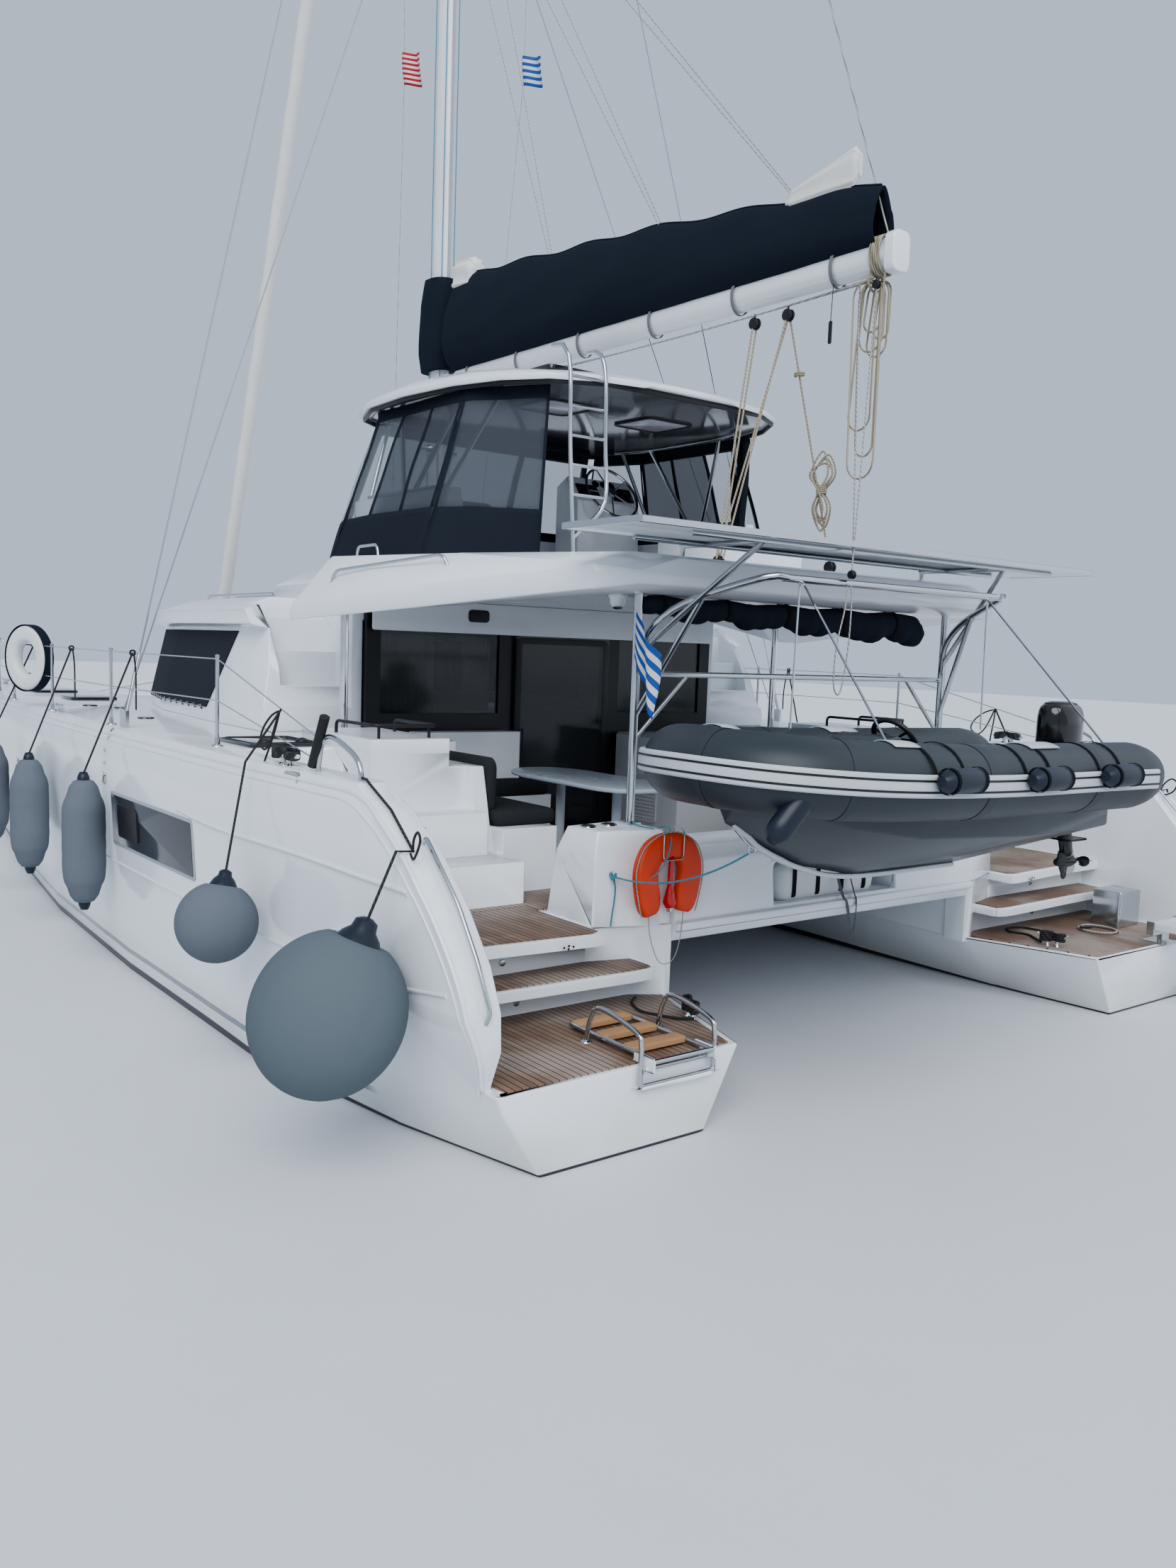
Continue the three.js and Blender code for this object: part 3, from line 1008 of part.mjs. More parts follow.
// Cockpit fittings
function cockpitTable() {
  const top = new THREE.Shape();
  top.moveTo(2020, 900);
  top.quadraticCurveTo(2000, 560, 2350, 540);
  top.lineTo(3300, 560);
  top.quadraticCurveTo(3720, 600, 3720, 900);
  top.quadraticCurveTo(3720, 1200, 3300, 1240);
  top.lineTo(2350, 1260);
  top.quadraticCurveTo(2000, 1240, 2020, 900);
  const board = solid(new THREE.ExtrudeGeometry(top,
    { depth: 36, bevelEnabled: false, curveSegments: 5 }).translate(0, 0, 1660));
  const legs = [2480, 3220].map((x) => join(rod([x, 900, SOLE + GAP], [x, 900, 1670], 38, 12),
    rod([x, 900, SOLE + GAP], [x, 900, SOLE + 16], 140, 16)));
  return join(board, ...legs);
}
add('cockpit_table', cockpitTable(), 'table');

const cushionPort = block(2410, 3440, 1520, 2060, BENCH + GAP, BENCH + 110);
add('port_cockpit_cushion', cushionPort, 'cushion');
add('starboard_cockpit_cushion', mirrored(cushionPort), 'cushion');
add('galley_counter', block(3600, BULKHEAD.aft - 45, -1590, -740, SOLE + GAP, 1900), 'gelcoat');

// Deck hatches: lids that hinge on their forward edge
const HATCH = { x0: 3290, x1: 3900, y0: 3000, y1: 3560 };
const lid = block(HATCH.x0, HATCH.x1, HATCH.y0, HATCH.y1, DECK + GAP, DECK + 26);
add('port_deck_hatch', lid, 'glass');
add('starboard_deck_hatch', mirrored(lid), 'glass');

// Lifebuoy on the crossbeam's aft face, and the liferaft in its recess
// Half of the horseshoe's outline, from the top of its opening round to the top outside (y, z).
const BUOY = { y: 1715, z: 1300, aft: 880, fore: 990 };
const BUOY_HALF = [
  [0, 92], [62, 68], [88, 0], [84, -110], [58, -205], [78, -252], [150, -268], [214, -252], [262, -150],
  [286, -20], [272, 105], [208, 210], [112, 258], [0, 272],
];
function lifebuoy() {
  const right = BUOY_HALF.map(([y, z]) => [BUOY.y + y, BUOY.z + z]);
  const left = BUOY_HALF.slice(1, -1).reverse().map(([y, z]) => [BUOY.y - y, BUOY.z + z]);
  return cutClear(prism('x', [...right, ...left], BUOY.aft, BUOY.fore), crossbeam);
}
add('lifebuoy', lifebuoy(), 'orange');
add('liferaft', block(1010, 1000 + LOCKER.depth - GAP, -500, 575, LOCKER.low + GAP, LOCKER.high - 25),
  'gelcoat');

export default catamaran;
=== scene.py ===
"""A cruising catamaran with its tender in the davits: finishes, soft goods and fine parts.

Metres throughout. +X is forward, +Y is to port and +Z is up from the waterline.
"""

import logging
import math
from dataclasses import dataclass, field
from enum import Enum
from typing import Iterable, Optional, Sequence, Union

import bpy
import numpy as np
from mathutils import Matrix, Vector


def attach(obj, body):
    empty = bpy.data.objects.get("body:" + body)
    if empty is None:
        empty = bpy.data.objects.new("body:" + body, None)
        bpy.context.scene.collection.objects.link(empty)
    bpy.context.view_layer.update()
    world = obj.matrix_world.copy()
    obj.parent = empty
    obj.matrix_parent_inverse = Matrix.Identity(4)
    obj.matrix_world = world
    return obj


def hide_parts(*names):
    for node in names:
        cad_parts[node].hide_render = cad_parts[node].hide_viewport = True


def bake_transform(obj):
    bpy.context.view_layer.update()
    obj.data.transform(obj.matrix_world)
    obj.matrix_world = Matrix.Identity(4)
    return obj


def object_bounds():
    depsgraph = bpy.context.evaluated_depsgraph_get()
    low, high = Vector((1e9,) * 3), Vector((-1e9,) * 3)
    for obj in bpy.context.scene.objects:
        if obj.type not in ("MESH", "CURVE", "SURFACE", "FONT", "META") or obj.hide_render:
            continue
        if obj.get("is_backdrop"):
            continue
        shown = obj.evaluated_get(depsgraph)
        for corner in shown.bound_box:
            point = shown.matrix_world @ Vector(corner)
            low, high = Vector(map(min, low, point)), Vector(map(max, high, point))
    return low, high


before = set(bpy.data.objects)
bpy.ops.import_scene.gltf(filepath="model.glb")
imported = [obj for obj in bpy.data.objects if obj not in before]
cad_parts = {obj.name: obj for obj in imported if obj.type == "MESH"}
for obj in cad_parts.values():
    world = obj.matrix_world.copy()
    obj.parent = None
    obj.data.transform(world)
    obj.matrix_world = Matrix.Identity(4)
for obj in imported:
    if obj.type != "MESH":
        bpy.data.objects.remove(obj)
CAD_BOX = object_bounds()

Array = np.ndarray
Point = Sequence[float]
Colour = tuple[float, float, float]
log = logging.getLogger("catamaran")

# A sine's full turn in patterns, and the radii of wires, grab rails and stanchions in metres
FULL_TURN = 6.283
WIRE = 0.0045
GRAB_RAIL = 0.0125
STANCHION = 0.0135


class Side(Enum):
    """The two sides of the boat, as the sign of y."""

    PORT = 1
    STARBOARD = -1

    @property
    def word(self) -> str:
        """The side's name, as the nodes carry it."""
        return self.name.lower()


class Edge(Enum):
    """How a piece's edges are finished: the bevel's width in metres."""

    SHARP = 0.0
    FINE = 0.004
    SOFT = 0.012
    MOULDED = 0.03


# Surfaces: skins of four-cornered faces, and the ways to make them


@dataclass
class Skin:
    """Points with four-cornered faces, their own UVs, and the caps that close the ends."""

    points: Array
    quads: Array
    uvs: Array
    caps: list[list[int]] = field(default_factory=list)

    def __add__(self, other: "Skin") -> "Skin":
        """Two skins as one."""
        shift = len(self.points)
        return Skin(
            np.vstack([self.points, other.points]),
            np.vstack([self.quads, other.quads + shift]),
            np.vstack([self.uvs, other.uvs]),
            self.caps + [[i + shift for i in cap] for cap in other.caps],
        )

    def moved(self, by: Point) -> "Skin":
        """The skin shifted by a vector."""
        return Skin(self.points + np.asarray(by, float), self.quads, self.uvs, self.caps)

    def turned(self, matrix: Matrix) -> "Skin":
        """The skin under a 4 x 4 matrix that keeps its handedness."""
        m = np.array(matrix)
        return Skin(self.points @ m[:3, :3].T + m[:3, 3], self.quads, self.uvs, self.caps)

    def mirrored(self) -> "Skin":
        """The skin on the other side of the centreline, its faces still pointing outwards."""
        flip = np.array([1, -1, 1])
        return Skin(self.points * flip, self.quads[:, ::-1], self.uvs[:, ::-1], [cap[::-1] for cap in self.caps])

    def on(self, side: Side) -> "Skin":
        """The skin drawn for port, on the side that is asked for."""
        return self if side is Side.PORT else self.mirrored()


def both(skin: Skin) -> Skin:
    """A port skin with its starboard mirror."""
    return skin + skin.mirrored()


def merge(skins: Iterable[Skin]) -> Skin:
    """Several skins as one.

    Args:
        skins: The skins, at least one.

    Returns:
        One skin with all their faces.
    """
    skins = list(skins)
    total = skins[0]
    for skin in skins[1:]:
        total = total + skin
    return total


def grid(points: Array, wrap: bool = True, caps: bool = True) -> Skin:
    """A surface over rows of points: face (i, j) joins rows i, i + 1 and columns j, j + 1.

    Args:
        points: An array of rows x columns x 3.
        wrap: Whether the last column joins the first.
        caps: Whether the first and the last row are closed by a face.

    Returns:
        The skin, its u along the rows and its v round the columns, both from 0 to 1.
    """
    rows, cols = points.shape[:2]
    across = cols if wrap else cols - 1
    i, j = np.meshgrid(np.arange(rows - 1), np.arange(across), indexing="ij")
    k = (j + 1) % cols
    quads = np.stack([i * cols + j, i * cols + k, (i + 1) * cols + k, (i + 1) * cols + j], -1).reshape(-1, 4)
    u0, u1, v0, v1 = i / (rows - 1), (i + 1) / (rows - 1), j / across, (j + 1) / across
    uvs = np.stack([np.stack(c, -1) for c in ((u0, v0), (u0, v1), (u1, v1), (u1, v0))], -2).reshape(-1, 4, 2)
    ends = [list(range(cols))[::-1], list(range((rows - 1) * cols, rows * cols))] if caps and wrap else []
    return Skin(points.reshape(-1, 3).astype(float), quads, uvs, ends)


def smooth(points: Sequence[Point], per: int = 8) -> Array:
    """A Catmull-Rom curve: on each span a cubic through its ends, with slopes from its neighbours.

    Args:
        points: What the curve goes through, in any number of dimensions.
        per: How many points each span gets.

    Returns:
        The curve's points, with both ends.
    """
    p = np.asarray(points, float)
    p = np.vstack([2 * p[0] - p[1], p, 2 * p[-1] - p[-2]])
    t = np.arange(per)[:, None] / per
    spans = [
        0.5 * (2 * b + (c - a) * t + (2 * a - 5 * b + 4 * c - d) * t**2 + (3 * b - a - 3 * c + d) * t**3)
        for a, b, c, d in zip(p[:-3], p[1:-2], p[2:-1], p[3:])
    ]
    return np.vstack([*spans, p[-2][None]])


def rounded(points: Sequence[Point], radius: float, per: int = 5) -> Array:
    """A line whose corners are rounded: each corner becomes a quadratic arc between points near it.

    Args:
        points: The line's corners and ends.
        radius: How far from a corner its arc starts.
        per: How many points each arc gets.

    Returns:
        The rounded line's points.
    """
    p = np.asarray(points, float)
    t = np.linspace(0, 1, per)[:, None]
    arcs = [p[:1]]
    for a, b, c in zip(p[:-2], p[1:-1], p[2:]):
        near = min(radius, 0.45 * np.linalg.norm(a - b), 0.45 * np.linalg.norm(c - b))
        start = b + (a - b) / np.linalg.norm(a - b) * near
        end = b + (c - b) / np.linalg.norm(c - b) * near
        arcs.append((1 - t) ** 2 * start + 2 * t * (1 - t) * b + t**2 * end)
    return np.vstack([*arcs, p[-1:]])


def frames(path: Array) -> tuple[Array, Array]:
    """Two directions square to a path, carried along it with no twist.

    Args:
        path: The path's points.

    Returns:
        A sideways and an upward direction at each point.
    """
    tangent = np.gradient(path, axis=0)
    tangent /= np.linalg.norm(tangent, axis=1, keepdims=True)
    guess = np.eye(3)[np.argmin(np.abs(tangent[0]))]
    normals = []
    for direction in tangent:
        guess = guess - direction * guess.dot(direction)
        guess = guess / np.linalg.norm(guess)
        normals.append(guess)
    side = np.array(normals)
    return side, np.cross(tangent, side)


def sweep(path: Array, profile: Array, sizes: Union[float, Array] = 1.0, caps: bool = True) -> Skin:
    """A profile carried along a path: point = path + size (a side + b up).

    Args:
        path: The path's points.
        profile: The outline that is carried, in two dimensions.
        sizes: Its scale, one for all or one a point.
        caps: Whether both ends are closed.

    Returns:
        The skin.
    """
    path = np.asarray(path, float)
    side, up = frames(path)
    size = np.broadcast_to(np.asarray(sizes, float), (len(path),))[:, None, None]
    points = path[:, None] + size * (profile[None, :, :1] * side[:, None] + profile[None, :, 1:] * up[:, None])
    return grid(points, caps=caps)


def circle(radius: float = 1.0, sides: int = 14) -> Array:
    """Points on a circle: radius (cos a, sin a)."""
    a = np.linspace(0, 2 * np.pi, sides, endpoint=False)
    return radius * np.stack([np.cos(a), np.sin(a)], 1)


def tube(path: Sequence[Point], radius: Union[float, Array], sides: int = 12) -> Skin:
    """A round tube along a path."""
    return sweep(np.asarray(path, float), circle(1.0, sides), radius)


def lathe(profile: Sequence[Point], sides: int = 28, centre: Point = (0, 0, 0)) -> Skin:
    """A profile of radius and height turned about the z axis, its poles closed by small caps.

    Args:
        profile: Pairs of radius and height, from the foot up.
        sides: How many faces go round.
        centre: Where the axis starts.

    Returns:
        The skin.
    """
    p = np.asarray(profile, float)
    a = np.linspace(0, 2 * np.pi, sides, endpoint=False)
    r = np.maximum(p[:, :1], 1e-4)
    rows = np.stack([r * np.cos(a), r * np.sin(a), np.broadcast_to(p[:, 1:], (len(p), sides))], -1)
    return grid(rows).moved(centre)


def round_rect(a: float, b: float, r: float, per: int = 5) -> Array:
    """The outline of a rectangle of a x b with corners of radius r, about its middle.

    Args:
        a: Its length.
        b: Its width.
        r: Its corners' radius.
        per: How many points each corner gets.

    Returns:
        The outline's points.
    """
    turn = np.linspace(0, np.pi / 2, per)
    arc = r * np.stack([np.cos(turn), np.sin(turn)], 1)
    spin = lambda k: np.array([[math.cos(k), math.sin(k)], [-math.sin(k), math.cos(k)]])
    corners = [(a / 2 - r, b / 2 - r), (r - a / 2, b / 2 - r), (r - a / 2, r - b / 2), (a / 2 - r, r - b / 2)]
    return np.vstack([arc @ spin(i * np.pi / 2) + corner for i, corner in enumerate(corners)])


def plate(outline: Array, low: float, high: float, edge: float = 0.004) -> Skin:
    """An outline in x, y raised from low to high, its top edge rolled in by a small quarter round.

    Args:
        outline: The outline's points.
        low: The foot's z.
        high: The top's z.
        edge: The quarter round's radius.

    Returns:
        The skin.
    """
    middle = outline.mean(0)
    out = outline - middle
    reach = np.linalg.norm(out, axis=1, keepdims=True)
    turn = np.linspace(0, np.pi / 2, 4)
    steps = [(0.0, low)] + [(edge * (1 - math.cos(k)), high - edge * (1 - math.sin(k))) for k in turn]
    rows = [np.hstack([middle + out * (1 - step / reach), np.full_like(reach, z)]) for step, z in steps]
    return grid(np.stack(rows))


def loft(rows: Sequence[Array], per: int = 1, caps: bool = True) -> Skin:
    """A skin over rings.

    Args:
        rows: The rings, each with the same number of points.
        per: Above 1, each column runs through the rings as a smooth curve with so many points a span.
        caps: Whether both ends are closed.

    Returns:
        The skin.
    """
    rings = np.stack([np.asarray(row, float) for row in rows])
    if per > 1:
        flat = smooth(rings.reshape(len(rings), -1), per)
        rings = flat.reshape(len(flat), -1, 3)
    return grid(rings, caps=caps)


def place(x: Point, y: Point, z: Point, at: Point) -> Matrix:
    """The matrix that lays local axes on three directions at a point."""
    columns = [Vector(v).normalized() for v in (x, y, z)]
    return Matrix([[*(c[i] for c in columns), at[i]] for i in range(3)] + [[0, 0, 0, 1]])


# The local axes of a plate that faces aft, outboard or down
AFT = ((0, -1, 0), (0, 0, 1), (-1, 0, 0))
OUT = ((-1, 0, 0), (0, 0, 1), (0, 1, 0))
DOWN = ((1, 0, 0), (0, -1, 0), (0, 0, -1))


def facing(outline: Array, thick: float, way: tuple[Point, Point, Point], at: Point, edge: float = 0.004) -> Skin:
    """A plate of some thickness standing on a face that looks a given way."""
    return plate(outline, 0.0, thick, edge).turned(place(*way, at))


def ripple(points: Array, size: float, waves: Sequence[tuple[float, float, float, float]]) -> Array:
    """A sum of sines over x, y, z: the folds of slack cloth, from fixed wave numbers and phases."""
    total = sum(np.sin(points @ np.array(w[:3]) + w[3]) for w in waves)
    return size * total / len(waves)


# Finishes: shader nodes behind plain arithmetic, and the boat's materials


class Wire:
    """One socket of a material; arithmetic on wires adds Math nodes."""

    def __init__(self, ink: "Ink", socket: bpy.types.NodeSocket) -> None:
        """Keeps the sheet that the socket belongs to."""
        self.ink, self.socket = ink, socket

    def _math(self, operation: str, *values: Union["Wire", float]) -> "Wire":
        """A Math node on wires and numbers."""
        return self.ink.node("ShaderNodeMath", {"operation": operation}, values)

    def __add__(self, other: Union["Wire", float]) -> "Wire":
        """self + other."""
        return self._math("ADD", self, other)

    def __sub__(self, other: Union["Wire", float]) -> "Wire":
        """self - other."""
        return self._math("SUBTRACT", self, other)

    def __rsub__(self, other: float) -> "Wire":
        """other - self."""
        return self._math("SUBTRACT", other, self)

    def __mul__(self, other: Union["Wire", float]) -> "Wire":
        """self x other."""
        return self._math("MULTIPLY", self, other)

    def __truediv__(self, other: Union["Wire", float]) -> "Wire":
        """self / other."""
        return self._math("DIVIDE", self, other)

    def __gt__(self, other: Union["Wire", float]) -> "Wire":
        """1 where self is greater."""
        return self._math("GREATER_THAN", self, other)

    def __lt__(self, other: Union["Wire", float]) -> "Wire":
        """1 where self is less."""
        return self._math("LESS_THAN", self, other)

    __radd__ = __add__
    __rmul__ = __mul__

    def fract(self) -> "Wire":
        """The part after the point."""
        return self._math("FRACT", self)

    def floor(self) -> "Wire":
        """The whole part."""
        return self._math("FLOOR", self)

    def sine(self) -> "Wire":
        """The sine."""
        return self._math("SINE", self)

    def size(self) -> "Wire":
        """The value without its sign."""
        return self._math("ABSOLUTE", self)

    def step(self, low: float, high: float) -> "Wire":
        """0 below low, 1 above high and smooth between."""
        settings = {"interpolation_type": "SMOOTHSTEP"}
        return self.ink.node("ShaderNodeMapRange", settings, {0: self, 1: low, 2: high, 3: 0.0, 4: 1.0})


class Ink:
    """Adds nodes to one material."""

    def __init__(self, tree: bpy.types.NodeTree) -> None:
        """Keeps the material's tree."""
        self.tree = tree

    def node(self, kind: str, settings: Optional[dict] = None, inputs: Union[dict, Sequence] = (),
             out: int = 0) -> Wire:
        """Adds any node.

        Args:
            kind: The node's type.
            settings: Its properties, and "stops" for a ramp's positions and colours.
            inputs: Values or wires by socket, or in order.
            out: The output that is wanted.

        Returns:
            That output as a wire.
        """
        made = self.tree.nodes.new(kind)
        for name, value in (settings or {}).items():
            if name != "stops":
                setattr(made, name, value)
                continue
            ramp = made.color_ramp.elements
            while len(ramp) < len(value):
                ramp.new(0.5)
            for stop, (position, colour) in zip(ramp, value):
                stop.position, stop.color = position, (*colour, 1)
        for key, value in inputs.items() if isinstance(inputs, dict) else enumerate(inputs):
            if isinstance(value, Wire):
                self.tree.links.new(value.socket, made.inputs[key])
            else:
                made.inputs[key].default_value = value
        return Wire(self, made.outputs[out])

    def spot(self, name: str = "Object") -> Wire:
        """Texture coordinates by name."""
        return self.node("ShaderNodeTexCoord", out=["Generated", "Normal", "UV", "Object"].index(name))

    def axes(self, vector: Wire) -> tuple[Wire, Wire, Wire]:
        """A vector's three numbers."""
        first = self.node("ShaderNodeSeparateXYZ", inputs=[vector])
        return tuple(Wire(self, socket) for socket in first.socket.node.outputs)

    def noise(self, scale: float, stretch: Point = (1, 1, 1), detail: float = 3.0, at: Optional[Wire] = None) -> Wire:
        """Noise on object coordinates, stretched along the axes."""
        spot = self.node("ShaderNodeMapping", inputs={0: at or self.spot(), 3: tuple(stretch)})
        return self.node("ShaderNodeTexNoise", inputs={0: spot, 2: scale, 3: detail})

    def blend(self, share: Union[Wire, float], a: Union[Wire, Colour], b: Union[Wire, Colour]) -> Wire:
        """A colour between a and b."""
        inks = [c if isinstance(c, Wire) else (*c, 1) for c in (a, b)]
        return self.node("ShaderNodeMix", {"data_type": "RGBA"}, {0: share, 6: inks[0], 7: inks[1]}, out=2)


def shade(colour: Colour, by: float) -> Colour:
    """A colour made lighter or darker."""
    return tuple(min(1.0, c * by) for c in colour)


@dataclass(frozen=True)
class Finish:
    """A surface: its colour and gloss, a mottle over it and a fine grain."""

    name: str
    colour: Colour
    roughness: float = 0.4
    metallic: float = 0.0
    coat: float = 0.0
    mottle: float = 0.08
    grain: float = 0.0
    grain_scale: float = 300.0
    alpha: float = 1.0
    shine: float = 0.5

    def material(self) -> bpy.types.Material:
        """The material, made once.

        Returns:
            The material with this finish's name.
        """
        found = bpy.data.materials.get(self.name)
        if found:
            return found
        made = bpy.data.materials.new(self.name)
        made.use_nodes = True
        shader = made.node_tree.nodes["Principled BSDF"]
        shader.inputs["Metallic"].default_value = self.metallic
        shader.inputs["Coat Weight"].default_value = self.coat
        shader.inputs["Coat Roughness"].default_value = 0.08
        shader.inputs["Alpha"].default_value = self.alpha
        shader.inputs["Specular IOR Level"].default_value = self.shine
        ink = Ink(made.node_tree)
        for socket, wire in self.vary(ink).items():
            ink.tree.links.new(wire.socket, shader.inputs[socket])
        return made

    def vary(self, ink: Ink) -> dict[str, Wire]:
        """What changes over the surface, by the shader's socket."""
        cloud = ink.noise(1.7, detail=5)
        return {**self.tone(ink, cloud), **self.bump(ink, ink.noise(self.grain_scale), self.grain)}

    def tone(self, ink: Ink, cloud: Wire) -> dict[str, Wire]:
        """Colour and roughness that follow a cloud of noise."""
        colour = ink.blend(cloud, shade(self.colour, 1 - self.mottle), shade(self.colour, 1 + self.mottle))
        return {"Base Color": colour, "Roughness": cloud * 0.16 + (self.roughness - 0.08)}

    def bump(self, ink: Ink, height: Wire, strength: float, distance: float = 0.002) -> dict[str, Wire]:
        """A Bump node fed by a height, or nothing where the strength is 0."""
        if not strength:
            return {}
        return {"Normal": ink.node("ShaderNodeBump", inputs={0: strength, 1: distance, "Height": height})}


@dataclass(frozen=True)
class Gelcoat(Finish):
    """Moulded gelcoat: faint rain streaks, and a patterned tread on what faces up."""

    tread: bool = True
    boottop: bool = False

    def vary(self, ink: Ink) -> dict[str, Wire]:
        """Streaks run down the sides; the tread is a grid of small diamonds.

        Args:
            ink: The sheet that the nodes are made on.

        Returns:
            What changes over the surface, by the shader's socket.
        """
        x, y, z = ink.axes(ink.spot())
        streak = ink.noise(2.2, (1.0, 1.0, 0.12), detail=6)
        grime = streak.step(0.56, 0.8) * 0.35
        colour = ink.blend(grime, self.colour, shade(self.colour, 0.86))
        rough = streak * 0.14 + (self.roughness - 0.06)
        made = {}
        if self.boottop:
            edge = z + ink.noise(3.0) * 0.02
            scum = (1 - edge.step(0.1, 0.42)) * ink.noise(1.4, (1, 1, 0.3), detail=6)
            colour = ink.blend(scum * 0.55, colour, (0.46, 0.45, 0.36))
            outer = y.size().step(3.2, 3.25) * x.step(1.1, 1.3)
            stripe = edge.step(0.155, 0.16) * (1 - edge.step(0.2, 0.205)) * outer
            colour = ink.blend(stripe, colour, (0.2, 0.23, 0.26))
            below = 1 - (z - x.step(0.4, 3.5) * 0.045).step(0.014, 0.018)
            colour = ink.blend(below, colour, (0.012, 0.017, 0.026))
            rough = rough + below * 0.4
        if self.tread:
            up = ink.axes(ink.node("ShaderNodeNewGeometry", out=1))[2].step(0.985, 0.995)
            cells = ((x + y) * 420.0).sine() * ((x - y) * 420.0).sine()
            rough = rough + up * 0.26
            colour = ink.blend(up * 0.35, colour, shade(self.colour, 0.94))
            made = self.bump(ink, cells * up, 0.25, 0.001)
        return {"Base Color": colour, "Roughness": rough, **made}


@dataclass(frozen=True)
class Planks(Finish):
    """Teak laid fore and aft with dark seams between narrow planks."""

    width: float = 0.047
    seam: float = 0.13

    def vary(self, ink: Ink) -> dict[str, Wire]:
        """Each plank has its own tone, long grain, and a worn bleached cloud over all.

        Args:
            ink: The sheet that the nodes are made on.

        Returns:
            What changes over the surface, by the shader's socket.
        """
        _, y, _ = ink.axes(ink.spot())
        row = y / self.width
        tone = ink.node("ShaderNodeTexWhiteNoise", {"noise_dimensions": "1D"}, {1: row.floor()})
        grain = ink.noise(9.0, (0.6, 14.0, 1.0), detail=8)
        worn = ink.noise(1.6, detail=5).step(0.42, 0.66)
        wood = ink.node("ShaderNodeValToRGB", {"stops": [
            (0.2, shade(self.colour, 0.55)), (0.5, self.colour), (0.8, shade(self.colour, 1.5))]},
            [grain * 0.6 + tone * 0.25 + 0.1])
        wood = ink.blend(worn * 0.7, wood, (0.4, 0.345, 0.3))
        gap = (row.fract() < self.seam)
        colour = ink.blend(gap, wood, (0.014, 0.013, 0.013))
        rough = worn * 0.2 + 0.55
        return {"Base Color": colour, "Roughness": rough, **self.bump(ink, (1 - gap) + grain * 0.3, 0.5, 0.0025)}


@dataclass(frozen=True)
class Woven(Finish):
    """Canvas: a fine plain weave, faded where the sun reaches it."""

    thread: float = 0.0022
    shine: float = 0.12

    def vary(self, ink: Ink) -> dict[str, Wire]:
        """Threads cross as two sines; dust lies on what faces up.

        Args:
            ink: The sheet that the nodes are made on.

        Returns:
            What changes over the surface, by the shader's socket.
        """
        x, y, z = ink.axes(ink.spot())
        weave = ((x + z) * (FULL_TURN / self.thread)).sine() * ((y + z * 0.7) * (FULL_TURN / self.thread)).sine()
        up = ink.axes(ink.node("ShaderNodeNewGeometry", out=1))[2].step(0.2, 1.0)
        cloud = ink.noise(2.4, detail=6)
        dust = up * cloud * 0.25 + cloud.step(0.55, 0.75) * 0.15
        colour = ink.blend(dust, self.colour, tuple(min(1.0, c * 1.25 + 0.008) for c in self.colour))
        return {"Base Color": colour, "Roughness": cloud * 0.1 + self.roughness,
                **self.bump(ink, weave, 0.35, 0.0006)}


@dataclass(frozen=True)
class Laid(Finish):
    """Rope: strands that wind round the line, with a fleck."""

    fleck: Colour = (0.02, 0.02, 0.025)
    turns: float = 60.0

    def vary(self, ink: Ink) -> dict[str, Wire]:
        """The strand is a sine along and round the rope's own UVs.

        Args:
            ink: The sheet that the nodes are made on.

        Returns:
            What changes over the surface, by the shader's socket.
        """
        u, v, _ = ink.axes(ink.spot("UV"))
        strand = (u * (self.turns * FULL_TURN) + v * (2 * FULL_TURN)).sine()
        colour = ink.blend(strand.step(0.1, 0.7), self.colour, self.fleck)
        return {"Base Color": colour, "Roughness": strand * 0.05 + self.roughness,
                **self.bump(ink, strand, 0.5, 0.002)}


@dataclass(frozen=True)
class Cells(Finish):
    """Solar cells: dark blue squares with pale lines between them."""

    pitch: float = 0.157

    def vary(self, ink: Ink) -> dict[str, Wire]:
        """A grid of seams in x and y, and fine fingers across.

        Args:
            ink: The sheet that the nodes are made on.

        Returns:
            What changes over the surface, by the shader's socket.
        """
        x, y, _ = ink.axes(ink.spot())
        line = lambda w, share: ((w / self.pitch).fract() < share)
        mask = (line(x, 0.03) + line(y, 0.03)) > 0.5
        fingers = ((y * FULL_TURN / 0.006).sine() > 0.93) * 0.4
        colour = ink.blend(fingers, self.colour, (0.2, 0.23, 0.28))
        colour = ink.blend(mask, colour, (0.5, 0.52, 0.55))
        return {"Base Color": colour, "Roughness": ink.noise(3.0) * 0.1 + self.roughness}


@dataclass(frozen=True)
class Bands(Finish):
    """Bunting in level bands of white and one other colour."""

    bands: float = 9.0
    other: Colour = (0.02, 0.09, 0.33)

    def vary(self, ink: Ink) -> dict[str, Wire]:
        """The bands follow the cloth's own v.

        Args:
            ink: The sheet that the nodes are made on.

        Returns:
            What changes over the surface, by the shader's socket.
        """
        _, v, _ = ink.axes(ink.spot("UV"))
        dyed = (v * (self.bands / 2)).fract() < 0.5
        colour = ink.blend(dyed, self.colour, self.other)
        return {"Base Color": colour, "Roughness": ink.noise(6.0) * 0.1 + self.roughness}


@dataclass(frozen=True)
class Net(Finish):
    """Open netting: square holes in object coordinates."""

    mesh: float = 0.045

    def vary(self, ink: Ink) -> dict[str, Wire]:
        """Strands lie where x or y is near a whole number of meshes.

        Args:
            ink: The sheet that the nodes are made on.

        Returns:
            What changes over the surface, by the shader's socket.
        """
        x, y, _ = ink.axes(ink.spot())
        strand = ((x / self.mesh).fract() < 0.22) + ((y / self.mesh).fract() < 0.22)
        tone = self.tone(ink, ink.noise(8.0))
        return {**tone, "Alpha": strand > 0.5}


